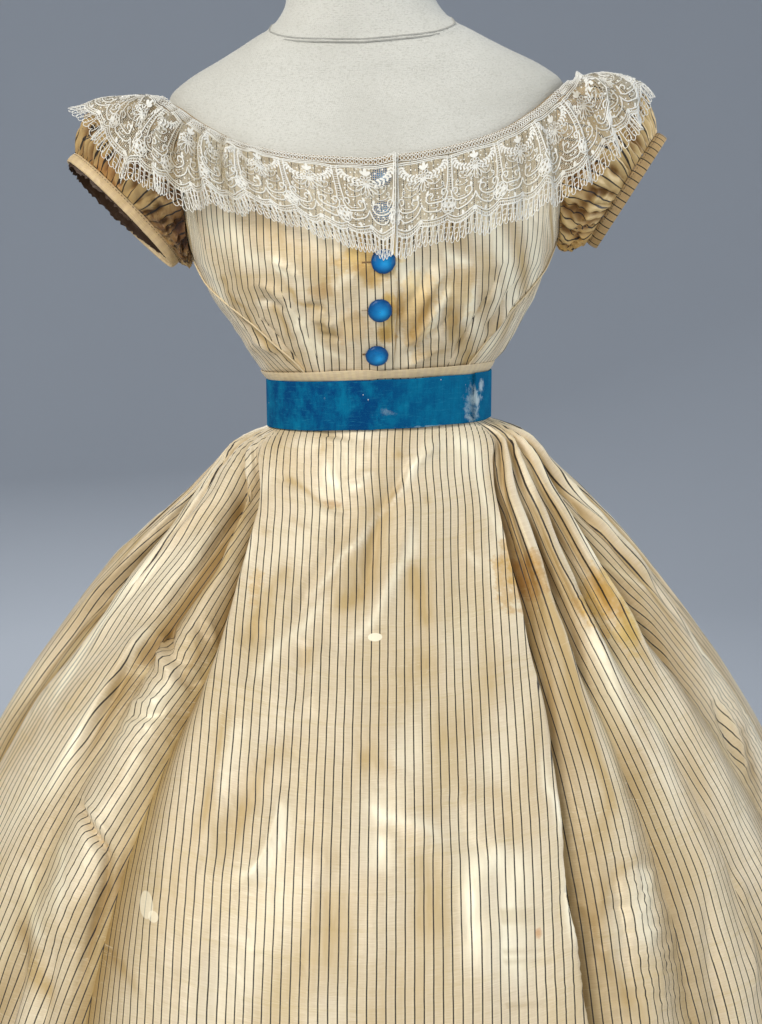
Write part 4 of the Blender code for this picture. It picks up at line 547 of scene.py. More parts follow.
# Painted shade between those folds: angle, half width in degrees, strength
LACE_HOLLOWS = (
    (293.5, 1.5, 0.9), (300.7, 1.5, 1.1), (307.8, 1.5, 1.2), (314.5, 1.4, 1.2), (321, 1.2, 1.1),
    (328, 1.0, 0.7), (335, 1.0, 0.4), (285, 1.5, 0.6), (40, 1.2, 0.4), (52, 1.4, 0.5), (64.5, 1.6, 0.7),
    (75, 1.4, 0.6), (84, 1.4, 0.5), (112, 2.5, 0.6), (129, 3.0, 0.6), (149, 3.5, 0.6), (180, 5.0, 0.5),
    (211, 3.5, 0.6), (231, 3.0, 0.6), (250, 2.5, 0.5), (271, 1.8, 0.4),
)
# The lace's lap at the opening, in degrees and metres, and the cell sizes of its net, in cells a metre
LACE_LAP = 0.9
LACE_LAP_LIFT = 0.0016
NET_CELLS = 620.0
NET_SPECKS = 190.0
# The lace's design in mm: depth, repeat, heading, scalloped border, its lower rim, one tooth of the rim
LACE_DEEP = 90.0
LACE_REPEAT = 50.0
HEADING = 8.5
HEADER = LACE_REPEAT / 14
BORDER_TOP = 62.0
BORDER_DEEP = 4.5
NET_BELOW_BORDER = 4.4
LACE_RIM = 84.0
LACE_RIM_DEEP = 3.4
TOOTH = 5.0
# Thickness in mm of the lace's threads, from its fine bars to its braid
FINE, CORD, BRAID = 0.32, 0.43, 0.64
CORD_FLAT = 0.8

# Stains: centre, sizes in metres, colour that they multiply by, strength
BODICE_STAINS = (
    ((-0.004, -0.13, 1.175), (0.044, 0.08, 0.030), (0.91, 0.72, 0.33), 0.9),
    ((0.010, -0.12, 1.128), (0.012, 0.08, 0.042), (0.86, 0.67, 0.27), 0.9),
    ((0.034, -0.12, 1.135), (0.026, 0.08, 0.055), (0.90, 0.73, 0.42), 0.8),
    ((-0.022, -0.12, 1.118), (0.020, 0.08, 0.020), (0.88, 0.70, 0.42), 0.6),
    ((-0.052, -0.12, 1.150), (0.016, 0.08, 0.009), (0.78, 0.60, 0.38), 0.6),
    ((0.075, -0.10, 1.150), (0.024, 0.08, 0.040), (0.90, 0.76, 0.50), 0.7),
    ((-0.085, -0.08, 1.185), (0.020, 0.08, 0.030), (0.92, 0.84, 0.66), 0.6),
)
SKIRT_STAINS = (
    ((0.128, -0.145, 0.898), (0.034, 0.08, 0.036), (0.76, 0.55, 0.24), 0.95),
    ((0.208, -0.140, 0.875), (0.039, 0.08, 0.031), (0.87, 0.67, 0.26), 0.95),
    ((0.226, -0.150, 0.850), (0.016, 0.08, 0.036), (0.93, 0.80, 0.36), 0.85),
    ((0.122, -0.362, 0.672), (0.005, 0.05, 0.006), (0.80, 0.50, 0.30), 0.8),
    ((-0.041, -0.115, 0.959), (0.016, 0.03, 0.006), (0.74, 0.58, 0.40), 0.8),
    ((-0.110, -0.190, 0.915), (0.012, 0.05, 0.050), (0.92, 0.74, 0.42), 0.8),
    ((-0.25, -0.30, 0.25), (0.10, 0.2, 0.035), (0.82, 0.70, 0.52), 0.5),
    ((0.30, -0.35, 0.10), (0.14, 0.2, 0.030), (0.80, 0.66, 0.48), 0.5),
    ((0.0, 0.5, 0.06), (0.30, 0.2, 0.030), (0.78, 0.64, 0.46), 0.5),
)
# Rubbed pale spots: centre, sizes in metres, strength
SKIRT_SPOTS = (
    ((-0.002, -0.203, 0.858), (0.0062, 0.04, 0.0030), 0.95),
    ((-0.179, -0.332, 0.681), (0.0060, 0.04, 0.0075), 0.50),
    ((-0.172, -0.332, 0.676), (0.0045, 0.04, 0.0035), 0.50),
    ((-0.305, -0.250, 0.800), (0.0040, 0.04, 0.0060), 0.60),
    ((0.150, -0.330, 0.640), (0.0070, 0.04, 0.0016), 0.50),
    ((0.055, -0.300, 0.700), (0.0100, 0.04, 0.0012), 0.45),
)
# Rubbed places of the belt: centre, sizes in metres, strength
RUBBED = (
    ((0.094, -0.058, 1.050), (0.0075, 0.020, 0.015), 0.85),
    ((0.099, -0.050, 1.062), (0.006, 0.020, 0.010), 0.80),
    ((0.091, -0.060, 1.047), (0.013, 0.030, 0.024), 0.50),
    ((0.088, -0.064, 1.034), (0.010, 0.020, 0.006), 0.60),
    ((0.060, -0.080, 1.027), (0.050, 0.030, 0.0018), 0.50),
    ((-0.050, -0.090, 1.053), (0.0022, 0.020, 0.003), 0.45),
    ((0.004, -0.100, 1.040), (0.016, 0.020, 0.006), 0.25),
)
# Colours under the rubbed pile, of the velvet's pale specks and of dust on the enamel
BARE_GROUND = (0.50, 0.60, 0.62)
PALE_SPECKS = (0.62, 0.66, 0.66)
DUST = (0.20, 0.19, 0.18)
# The silk's lines in metres: how far they waver, the softness of an edge; then the streaks of sheen
# that run down between two lines: how far apart they lie in the noise and its scale along the cloth
WAVER = 0.0009
LINE_EDGE = 0.00022
BAND_SHIFT = 7.31
BAND_SCALE = 11.0
# Threads of the form's canvas in a metre
CANVAS_THREADS = 620.0
# Tones of the plain and aged silks, and the turning's painted shadow, which multiply the silk's colours
TRIM_TONE = (0.96, 0.92, 0.84)
NECK_BAND_TONE = (0.46, 0.37, 0.23)
BUTTONHOLE_TONE = (0.55, 0.42, 0.30)
SLEEVE_TONES = {"right": (0.52, 0.385, 0.205), "left": (0.72, 0.56, 0.32)}
SLEEVE_BAND_TONES = {"right": (0.84, 0.75, 0.60), "left": (0.70, 0.56, 0.36)}
TURNING_SHADOW_TONE = (0.12, 0.075, 0.05)
# Sleeves' stains; the right sleeve's second and third rows are painted shadow under the lace
SLEEVE_STAINS_AND_SHADOW = {
    "right": (((-0.262, 0.0, 1.262), (0.022, 0.08, 0.028), (0.90, 0.55, 0.24), 0.7),
              ((-0.182, -0.02, 1.216), (0.052, 0.12, 0.056), (0.34, 0.23, 0.11), 0.95),
              ((-0.205, -0.02, 1.198), (0.036, 0.10, 0.030), (0.66, 0.50, 0.30), 0.9)),
    "left": (((0.19, 0.0, 1.20), (0.03, 0.08, 0.03), (0.92, 0.76, 0.44), 0.8),),
}

# Unevenness of the cloth: rise, how far across leans with along and along with across, size of the
# patches across and along in metres, seed
SKIRT_RIPPLES = (
    (0.0011, 0.0, 0.0, 0.013, 0.060, 3), (0.0022, 0.35, 0.0, 0.026, 0.085, 5),
    (0.0006, -0.2, 1.0, 0.0085, 0.021, 9), (0.0032, 0.6, 0.0, 0.055, 0.150, 6),
)
# The patch rows give painted sheen and dull shade, with a strength in place of the rise
SKIRT_PATCHES = ((0.8, 0.5, -0.3, 0.040, 0.170, 8),)
BODICE_RIPPLES = ((0.0010, 0.0, 0.0, 0.010, 0.040, 21), (0.0020, 0.4, 0.0, 0.018, 0.03, 22))
BODICE_PATCHES = ((1.7, 0.5, 0.0, 0.020, 0.045, 23),)
BODICE_SHEEN_GAIN = 1.35
BODICE_RIDGES = 0.0008
# Painted dull shade along the turned edge of the front opening
TURNED_EDGE_SHEEN = -1.2

# Form: heights of its foot, of the place where its rows start to lie close together, and of its top,
# then degrees between its columns
FORM_FOOT, FORM_FINE_FROM, FORM_TOP = -0.26, 0.24, 0.43
FORM_STEP = 2.5
# Seam at the foot of its neck: ridge, the dip below it, how wide both are, and how dark its thread is
NECK_SEAM_RISE = 0.0011
NECK_SEAM_DIP = 0.0006
NECK_SEAM_WIDE = 0.0016
NECK_SEAM_GAP = 0.0035
NECK_SEAM_DIM = 0.62
# Upper edges of the bodice panels as angles, and how many columns they have or how finely they are parted
SIDE_TOPS = (87.2, 99.8)
SIDE_BACK_TOPS = (100.2, 114.4)
BACK_TOP_START = 114.8
SIDE_COLUMNS = 33
FRONT_PARTS = 8
BACK_PARTS = 6
# Cords in the seams: seam, height of the upper end, distance out, radius, sides of the cord
SEAM_CORDS = (
    (SIDE_FRONT_SEAM, 0.148, 0.0007, 0.00085, 8), (SIDE_BACK_SEAM, 0.148, 0.0003, 0.0007, 6),
    (BACK_SEAM, 0.203, 0.0003, 0.0007, 6),
)
SEAM_CORD_FOOT = 0.030
WAISTBAND_UNEVEN = 0.0016
# Buttonholes: degrees from the button's middle, then half of the slit and of its worked edge
BUTTONHOLE_SPAN = (-4.7, 1.0)
BUTTONHOLE_EDGE = 0.0004
# Outline of a button from its back to its middle: share of its radius, share of its rise
BUTTON_PROFILE = (
    (0.30, -0.10), (0.80, 0.0), (0.96, 0.10), (1.0, 0.26), (0.97, 0.50), (0.84, 0.74), (0.60, 0.92),
    (0.30, 0.99), (0.02, 1.0),
)
# Where a button's painted highlight lies, in shares of its radius, and how far that spreads
HIGHLIGHT_CENTRE = (0.18, -0.10)
HIGHLIGHT_SPREAD = 0.16
# How far from a button the search for the cloth under it starts
BUTTON_REACH = 0.03
BELT_UNEVEN = 0.0012
# Frayed threads at the belt's lapped end
FRAYS = 130
FRAY_RADIUS = 0.00022
# Materials of a sleeve and of its band
SLEEVE_CLOTHS = {"right": ("sleeve_brown_silk", "sleeve_band_silk"),
                 "left": ("sleeve_golden_silk", "sleeve_band_striped_silk")}
# What the lace lies on
UNDER_LACE = (
    "bodice_front_left_cloth", "bodice_front_right_cloth", "bodice_side_back_left_cloth",
    "bodice_side_back_right_cloth", "bodice_back_cloth", "sleeve_left_cloth", "sleeve_right_cloth",
    "sleeve_band_left_cloth", "sleeve_band_right_cloth", "button_1_satin", "button_2_satin",
    "button_3_satin", "neck_band_cloth",
)

# Metres of rise for each mm in the tables of creases
BODICE_CREASE_SCALE = 0.0021
SKIRT_CREASE_SCALE = 0.0014
# A breadth's edges, where creases and ripples fade so that breadths meet: span in folds
EDGE_FADE = 0.25
# Where a run of cloth lies in the pattern of the weave, so that no two runs look alike
RUN_BASE = 0.55
RUN_STEP = 0.2113
# Fine gathers under the belt: pitch, depth, then the drops where they end and how softly
GATHER_PITCH = 0.0062
GATHER_DEPTH = 0.0007
GATHER_END = 0.045
GATHER_FADE = 0.04
# Shape of a fold: how round its crest is, and the depths in metres where its painted shade starts and is full
CREST_ROUND = 0.45
SHADE_FROM = 0.006
SHADE_FULL = 0.016
SHARPER_END = 0.5
SHARPER_FADE = 0.4

# How finely the pieces are made: spacing in metres, or numbers of rows and columns
SKIRT_TOP = -0.0235
SKIRT_TOP_ROWS = 45
SKIRT_SPACING_FRONT = 0.0034
SKIRT_SPACING_BACK = 0.0052
SKIRT_ROW_SHARE = 1.12
BODICE_UPPER_ROWS = 33
BODICE_LOWER_ROWS = 62
SEAM_SHARE = 0.002
SLEEVE_COLUMNS = 340
SLEEVE_ROWS_DOWN = 44
SLEEVE_BAND_COLUMNS = 160
LACE_COLUMNS = 721
LACE_STEPS = 37
# How far from the lace the search for cloth under it starts, and the room that the lace keeps to it
LACE_REACH = 0.045
LACE_ROOM = 0.0016

# Flat cloth: the measured surface is multiplied for the corners that a rectangle adds, then lengths
BODICE_CORNERS = 1.12
BODICE_FRONT_LENGTH = 0.30
BODICE_SIDE_LENGTH = 0.20
SLEEVE_WIDTH = 0.46

# Round room of the stage: radius, height and the curve between floor and wall
ROOM = 6.0
ROOM_HEIGHT = 5.2
COVE = 2.6
# Round lamps: name, place, size, power in watts, colour; then the height that they point at
LAMPS = (
    ("key", (-1.7, -2.5, 3.0), 1.9, 104.0, (1.0, 0.97, 0.92)),
    ("fill", (2.4, -2.2, 1.5), 1.8, 22.0, (0.86, 0.92, 1.0)),
    ("side", (3.2, 0.4, 2.0), 1.6, 34.0, (0.90, 0.95, 1.0)),
    ("low", (0.2, -2.8, 0.5), 1.6, 7.0, (1.0, 0.95, 0.88)),
    ("back", (-1.2, 3.4, 2.6), 2.0, 46.0, (0.96, 0.98, 1.0)),
)
LAMP_AIM = 0.95
SKY = (0.62, 0.68, 0.78, 1.0)
SKY_STRENGTH = 0.50
# Camera: place, tilt from straight down, sensor in mm, focal length as a share of the frame's long side
CAMERA_PLACE = (0.003, -1.2, 1.143)
CAMERA_TILT = math.radians(80)
SENSOR = 36.0
FOCAL_SHARE = 1200 / 1024


def reader(rows):
    """Returns a function that reads a table smoothly by its first column, with no overshoot."""
    table = np.array(rows, dtype=float)
    place, values = table[:, 0], table[:, 1:]
    slope = np.diff(values, axis=0) / np.diff(place)[:, None]
    before, after = slope[:-1], slope[1:]
    same_way = before * after > 0
    tangent = np.zeros_like(values)
    tangent[0], tangent[-1] = slope[0], slope[-1]
    tangent[1:-1] = np.where(same_way, 2 * before * after / np.where(same_way, before + after, 1), 0)

    def read(where):
        where = np.clip(np.asarray(where, dtype=float), place[0], place[-1])
        k = np.clip(np.searchsorted(place, where, side="right") - 1, 0, len(place) - 2)
        span = (place[k + 1] - place[k])
        t = ((where - place[k]) / span)[..., None]
        span = span[..., None]
        return ((2 * t**3 - 3 * t**2 + 1) * values[k] + (t**3 - 2 * t**2 + t) * span * tangent[k]
                + (3 * t**2 - 2 * t**3) * values[k + 1] + (t**3 - t**2) * span * tangent[k + 1])

    return read


TORSO = reader(TORSO_ROWS)
FORM = reader(FORM_ROWS)
SKIRT = reader(SKIRT_ROWS)
LACE_EDGE = reader(LACE_ROWS)
NECKLINE = reader(NECKLINE_ROWS)
ARMHOLE = reader(ARMHOLE_ROWS)
NECK_SEAM = reader(NECK_SEAM_ROWS)


def ease(t):
    """Runs from 0 to 1 with level ends."""
    t = np.clip(t, 0, 1)
    return t * t * (3 - 2 * t)


def around(degrees):
    """Folds an angle onto 0 to 180 degrees."""
    turned = np.mod(np.asarray(degrees, dtype=float), 360)
    return np.where(turned > 180, 360 - turned, turned)


def unit(vectors):
    """Scales vectors to length 1."""
    return vectors / np.maximum(np.linalg.norm(vectors, axis=-1, keepdims=True), 1e-12)


def section(sizes, degrees, squareness):
    """Returns x and y on a rounded section with its own depths in front and behind."""
    turn = np.radians(degrees)
    sine, cosine = np.sin(turn), np.cos(turn)
    power = 2 / squareness
    depth = np.where(cosine > 0, sizes[..., 1], sizes[..., 2])
    x = sizes[..., 0] * np.sign(sine) * np.abs(sine) ** power
    y = -depth * np.sign(cosine) * np.abs(cosine) ** power
    return x, y


def stance(points):
    """Leans points of the upright figure as the dress stands."""
    x, y, height = points[..., 0], points[..., 1], points[..., 2]
    sway = math.sin(LEAN) * SHOULDER_HEIGHT * (np.clip(height, 0, None) / SHOULDER_HEIGHT) ** SWAY_POWER
    hold = ease((height - LEAN_FROM) / LEAN_FULL)
    return np.stack([x - sway, y, WAIST_HEIGHT + height + x * math.sin(LEAN) * hold], axis=-1)


def on_torso(degrees, height, out=0.0):
    """Returns points of the upright figure, moved out level from it."""
    degrees, height = np.broadcast_arrays(np.asarray(degrees, float), np.asarray(height, float))
    x, y = section(TORSO(height) + np.asarray(out)[..., None], degrees, SQUARENESS)
    return np.stack([x, y, height], axis=-1)


def neckline_height(degrees):
    """Returns the height of the dress's upper edge at an angle."""
    return NECKLINE(around(degrees))[..., 0]


def bodice_top(degrees):
    """Returns the height where the bodice panels end, at the neck band or the armhole."""
    turned = around(degrees)
    neck = neckline_height(degrees) - NECK_BAND_LAP
    in_hole = (turned > ARMHOLE_FRONT) & (turned < ARMHOLE_BACK)
    return np.where(in_hole, np.minimum(ARMHOLE(turned)[..., 0], neck), neck)


def lap_lift(degrees):
    """Returns how far the wearer's right front stands off where it laps the left one."""
    turned = (np.asarray(degrees, float) + 180) % 360 - 180
    return np.where(turned <= OPENING_EDGE + 0.01, LAP_LIFT * ease((turned - LAP_START) / LAP_RISE), 0.0)


def seam_angle(rows, side, height):
    """Returns a bodice seam's angle at a height, on the wearer's right (-1) or left (1)."""
    table = reader(rows)(height)
    return -table[..., 0] if side < 0 else table[..., 1]


def normals(grid, closed=False):
    """Returns the outward unit normals of a grid whose rows run down and whose columns run round."""
    if closed:
        along = np.roll(grid, -1, axis=1) - np.roll(grid, 1, axis=1)
    else:
        along = np.gradient(grid, axis=1)
    return unit(np.cross(np.gradient(grid, axis=0), along))


def grain(across, along, size_across, size_along, seed):
    """Returns soft unevenness from 0 to 1 at places on the cloth, with patches of the sizes given."""
    field = np.random.default_rng(seed).random((257, 257))
    a = np.asarray(across) / size_across + 1000
    b = np.asarray(along) / size_along + 1000
    i, j = np.floor(a).astype(int), np.floor(b).astype(int)
    s, t = ease(a - i), ease(b - j)
    i, j = i % 256, j % 256
    return ((field[i, j] * (1 - s) + field[i + 1, j] * s) * (1 - t)
            + (field[i, j + 1] * (1 - s) + field[i + 1, j + 1] * s) * t)


def unevenness(rows, across, along):
    """Adds up layers of unevenness at places on the cloth, as ripples or as painted sheen."""
    return sum((grain(across + along * lean, along + across * turn, wide, deep, seed) - 0.5) * rise
               for rise, lean, turn, wide, deep, seed in rows)


def ridges(across, along, size_across, size_along, seed):
    """Returns sharp little crumples from -1 to 1 at places on the cloth."""
    return 1 - 2 * np.abs(2 * grain(across, along, size_across, size_along, seed) - 1)


def streaks(points, lines):
    """Adds up soft streaks at points of the cloth, each a strength, a half width in metres and a line."""
    total = np.zeros(points.shape[:-1])
    for strength, wide, line in lines:
        reach = 2.6 * wide
        near = ((points > line.min(axis=0) - reach) & (points < line.max(axis=0) + reach)).all(axis=-1)
        if not near.any():
            continue
        spots = points[near]
        best = np.full(len(spots), np.inf)
        share = np.zeros(len(spots))
        steps = np.linalg.norm(np.diff(line, axis=0), axis=1)
        along = np.concatenate([[0], np.cumsum(steps)]) / steps.sum()
        for k in range(len(line) - 1):
            way = line[k + 1] - line[k]
            t = np.clip((spots - line[k]) @ way / (way @ way), 0, 1)
            gap = np.linalg.norm(spots - line[k] - t[:, None] * way, axis=1)
            closer = gap < best
            best = np.where(closer, gap, best)
            share = np.where(closer, along[k] + t * (along[k + 1] - along[k]), share)
        ends = ease(share / 0.22) * ease((1 - share) / 0.30)
        total[near] += strength * np.exp(-(best / wide) ** 1.5) * ends
    return total


def creased(points, facing, lines):
    """Moves cloth along its normals at creases, each a rise and a half width in metres and a line."""
    return points + facing * streaks(points, lines)[..., None]


def smooth_line(points, count):
    """Returns a smooth line through points, closely spaced."""
    points = np.asarray(points, float)
    place = np.arange(len(points))
    return reader(np.column_stack([place, points]))(np.linspace(0, len(points) - 1, count))


class Value:
    """A socket of a shader, so that sums on it are written as Python."""

    def __init__(self, paint, socket):
        self.paint = paint
        self.socket = socket

    def maths(self, operation, *others):
        return self.paint.node("ShaderNodeMath", {"operation": operation}, dict(enumerate((self, *others))))

    def __add__(self, other):
        return self.maths("ADD", other)

    def __mul__(self, other):
        return self.maths("MULTIPLY", other)

    def __neg__(self):
        return self.maths("MULTIPLY", -1.0)

    def __sub__(self, other):
        return self.maths("SUBTRACT", other)

    def __rsub__(self, other):
        return self.paint.node("ShaderNodeMath", {"operation": "SUBTRACT"}, {0: other, 1: self})

    def __truediv__(self, other):
        return self.maths("DIVIDE", other)

    def __abs__(self):
        return self.maths("ABSOLUTE")

    __radd__ = __add__
    __rmul__ = __mul__

    def clamped(self):
        return self.paint.node("ShaderNodeClamp", {}, {"Value": self})

    def above(self, level, gain):
        """Returns how far the value lies above a level, times a gain, kept from 0 to 1."""
        return ((self - level) * gain).clamped()

    def below(self, level, gain):
        """Returns how far the value lies below a level, times a gain, kept from 0 to 1."""
        return ((level - self) * gain).clamped()

    def fraction(self):
        return self.maths("FRACT")


class Paint:
    """A material and the nodes that make its finish."""

    def __init__(self, name, **constants):
        self.material = bpy.data.materials.new(name)
        self.material.use_nodes = True
        self.tree = self.material.node_tree
        self.shader = self.tree.nodes["Principled BSDF"]
        for socket, value in constants.items():
            self.shader.inputs[socket.replace("_", " ")].default_value = value

    def node(self, kind, settings, values, output=0):
        """Makes any node: its settings first, then the values or links of its sockets."""
        node = self.tree.nodes.new(kind)
        for name, value in settings.items():
            setattr(node, name, value)
        for name, value in values.items():
            self.put(node.inputs[name], value)
        return Value(self, node.outputs[output])

    def put(self, socket, value):
        """Sets a socket to a value, or links it to one."""
        if isinstance(value, Value):
            self.tree.links.new(value.socket, socket)
        elif hasattr(value, "__len__") and len(value) == 3 and len(socket.default_value) == 4:
            socket.default_value = (*value, 1.0)
        else:
            socket.default_value = value

    def mix(self, share, first, second, way="MIX"):
        """Mixes two colours."""
        return self.node("ShaderNodeMix", {"data_type": "RGBA", "blend_type": way},
                         {0: share, 6: first, 7: second}, output=2)

    def layered(self, colour, layers):
        """Lays colours over a colour in turn, each with the share that covers."""
        for share, over in layers:
            colour = self.mix(share, colour, over)
        return colour

    def tinted(self, colour, tint, share=1.0):
        """Multiplies a colour by a tint."""
        return self.mix(share, colour, tint, "MULTIPLY")

    def vector(self, operation, first, second=(0.0, 0.0, 0.0), output=0):
        """Works on two vectors."""
        return self.node("ShaderNodeVectorMath", {"operation": operation}, {0: first, 1: second},
                         output=output)

    def parts(self, vector):
        """Splits a vector into its three values."""
        return [self.node("ShaderNodeSeparateXYZ", {}, {0: vector}, output=k) for k in range(3)]

    def away(self, place, centre, sizes):
        """Returns how far a place is from a centre, 1 at the sizes given."""
        gap = self.vector("DIVIDE", self.vector("SUBTRACT", place, centre), sizes)
        return self.vector("LENGTH", gap, output="Value")

    def noise(self, vector, scale, detail=2.0, roughness=0.5):
        """Returns soft noise about 0.5."""
        return self.node("ShaderNodeTexNoise", {}, {"Vector": vector, "Scale": scale, "Detail": detail,
                                                    "Roughness": roughness})

    def drawn(self, vector, scales, detail=2.0, roughness=0.5):
        """Returns soft noise about 0.5 that is drawn out, with its own scale each way."""
        return self.noise(self.vector("MULTIPLY", vector, (*scales, 1.0)[:3]), 1.0, detail, roughness)

    def cells(self, vector, scale, randomness=1.0, feature="F1", dimensions="2D"):
        """Returns the distance to the nearest of many scattered points, or to the edge between two."""
        return self.node("ShaderNodeTexVoronoi", {"feature": feature, "voronoi_dimensions": dimensions},
                         {"Vector": vector, "Scale": scale, "Randomness": randomness}, output="Distance")

    def place(self):
        """Returns the place on the object in metres."""
        return self.node("ShaderNodeTexCoord", {}, {}, output="Object")

    def cloth(self):
        """Returns the place on the flat cloth in metres, across and along its warp."""
        return self.node("ShaderNodeUVMap", {"uv_map": "cloth"}, {})

    def stated(self, name):
        """Returns what the mesh states at each point under a name."""
        return self.node("ShaderNodeAttribute", {"attribute_name": name}, {}, output="Fac")

    def bump(self, height, strength, distance, before=None):
        """Turns a height into a normal."""
        values = {"Height": height, "Strength": strength, "Distance": distance}
        if before is not None:
            values["Normal"] = before
        return self.node("ShaderNodeBump", {}, values)

    def finish(self, **links):
        """Links the results to the shader and returns the material."""
        for name, value in links.items():
            self.put(self.shader.inputs[name.replace("_", " ")], value)
        return self.material


def stained_and_shaded(paint, base, place, stains_and_shadows):
    """Lays uneven-edged stains or painted shadows over a colour, each a centre, sizes, a colour and a
    strength.
    """
    ragged = paint.noise(place, 42.0, 4.0, 0.65)
    fine = paint.noise(place, 230.0, 3.0, 0.6)
    for centre, sizes, colour, strength in stains_and_shadows:
        reach = 1.9 - paint.away(place, centre, sizes) - ragged * 2.0 - fine * 0.25
        mask = (reach * 2.3).clamped() * strength
        rim = (1.0 - abs(reach * 5.0 - 0.8)).clamped() * strength * 0.30
        for share in (mask, rim):
            base = paint.mix(share, base, paint.tinted(base, colour))
    return base


def silk_sheen(paint, cloth, across, along, pitch, slub):
    """Returns the silk's painted sheen, above 0 where it shines and below 0 where it is dull."""
    fray = paint.drawn(cloth, (150.0, 22.0), 3.0, 0.6)
    band = paint.node("ShaderNodeCombineXYZ", {}, {"X": (across / pitch).maths("FLOOR") * BAND_SHIFT,
                                                   "Y": along * BAND_SCALE})
    banded = paint.noise(band, 1.0, 3.0, 0.6)
    sheen = paint.stated("sheen")
    sheen = sheen + (slub - 0.5) * 0.9 * abs(sheen) + (fray - 0.5) * 1.5 * abs(sheen)
    return sheen * 1.25 + (banded - 0.5) * (abs(sheen) * 1.2 + 0.55)


def silk_relief(paint, cloth, slub):
    """Returns the silk's normal: small dents, ripples, crinkles, and the weave with its slubs."""
    wander = paint.node("ShaderNodeTexNoise", {"noise_dimensions": "3D"},
                        {"Vector": cloth, "Scale": 30.0, "Detail": 2.0}, output="Color")
    bent = paint.vector("ADD", paint.vector("MULTIPLY", cloth, (26.0, 13.0, 1.0)),
                        paint.vector("MULTIPLY", wander, (1.3, 1.3, 0.0)))
    normal = None
    for height, strength, depth in (
            (paint.cells(bent, 1.0) + paint.cells(bent, 2.7) * 0.4, 0.42, 0.0035),
            (paint.drawn(cloth, (40.0, 18.0)), 0.16, 0.0035),
            (paint.drawn(cloth, (110.0, 45.0), 3.0, 0.55), 0.34, 0.0012),
            (paint.drawn(cloth, (1400.0, 1800.0), 1.0) * 0.5 + slub, 0.24, 0.0002)):
        normal = paint.bump(height, strength, depth, normal)
    return normal


def silk_material(name, look, stains_and_shadows=(), stripes=True, tone=None, spots=()):
    """Makes striped taffeta: fine dark lines, faint half bands, slubs, painted sheen patches, painted fold
    shade and age.
    """
    paint = Paint(name, Metallic=0.08, Specular_IOR_Level=0.5, Sheen_Weight=0.08, Sheen_Roughness=0.4)
    cloth, place = paint.cloth(), paint.place()
    across, along, _ = paint.parts(cloth)
    across = across + (paint.drawn(cloth, (8.0, 30.0)) - 0.5) * WAVER
    turn = (across / look.pitch).fraction()
    from_middle = abs(turn - 0.5)
    slub = paint.drawn(cloth, (70.0, 1500.0), 3.0, 0.7)
    broad = paint.drawn(cloth, (24.0, 7.0), 3.0, 0.6)
    weft = paint.drawn(cloth, (5.0, 160.0))
    age = paint.noise(place, 9.0, 4.0, 0.6)
    half_band = ((0.25 - from_middle) * 14.0 + 0.5).clamped()
    crack = abs(paint.drawn(cloth, (9.0, 75.0), 3.0, 0.6) - 0.5)
    crack = crack.below(0.006, 150.0) * age.above(0.46, 6.0)
    sheen = silk_sheen(paint, cloth, across, along, look.pitch, slub)
    colour = paint.layered(look.cream, (
        (half_band * 0.5, look.blush),
        (broad.above(0.46, 3.0) * 0.35, look.tan),
        (age.above(0.52, 4.0) * 0.35, look.tan),
        (weft.above(0.54, 6.0) * 0.26, look.tan),
        (slub.above(0.5, 4.0) * 0.36, look.shade),
        (slub.below(0.48, 6.0) * 0.32, look.glow),
        # painted sheen and painted dull shade
        (sheen.clamped() * 0.90, look.glow),
        ((-sheen).clamped() * 0.90, look.dull),
    ))
    # painted shade deep in the folds, as far as the mesh's hollow values reach
    shaded = paint.tinted(colour, look.shade, 0.95)
    colour = paint.mix(paint.stated("hollow").clamped() * 0.95, colour, shaded)
    colour = paint.mix(crack * 0.28, colour, look.glow)
    colour = stained_and_shaded(paint, colour, place, stains_and_shadows)
    if stripes:
        fibre = paint.drawn(cloth, (900.0, 260.0), 2.0, 0.8)
        from_line = 0.5 - from_middle
        line = ((look.line * 0.5 / look.pitch - from_line) * (look.pitch / LINE_EDGE) + 0.5).clamped()
        line = line * (0.66 + fibre * 0.72).clamped()
        colour = paint.mix(line * 0.98, colour, look.stripe)
    for centre, sizes, strength in spots:
        reach = 1.1 - paint.away(place, centre, sizes) - (age - 0.5) * 1.5
        colour = paint.mix((reach * 9.0).clamped() * strength, colour, look.glow)
    if tone:
        colour = paint.tinted(colour, tone)
    rough = 0.43 + slub * 0.12 + broad * 0.10 - sheen * 0.06
    return paint.finish(Base_Color=colour, Roughness=rough, Normal=silk_relief(paint, cloth, slub))


def thread_material(name, colour, look):
    """Makes matt cotton thread with slight unevenness and painted shade between folds, for the lace's cords
    and its worked parts.
    """
    paint = Paint(name, Roughness=0.85, Specular_IOR_Level=0.25, Sheen_Weight=0.10, Sheen_Roughness=0.6)
    place = paint.place()
    base = paint.layered(colour, (
        (paint.noise(place, 30.0, 3.0).above(0.45, 3.0) * 0.4, look.lace_age),
        (paint.stated("hollow").clamped() * 0.78, look.lace_shade),
    ))
    twist = paint.noise(place, 1500.0, 2.0)
    return paint.finish(Base_Color=base, Normal=paint.bump(twist, 0.4, 0.0003))


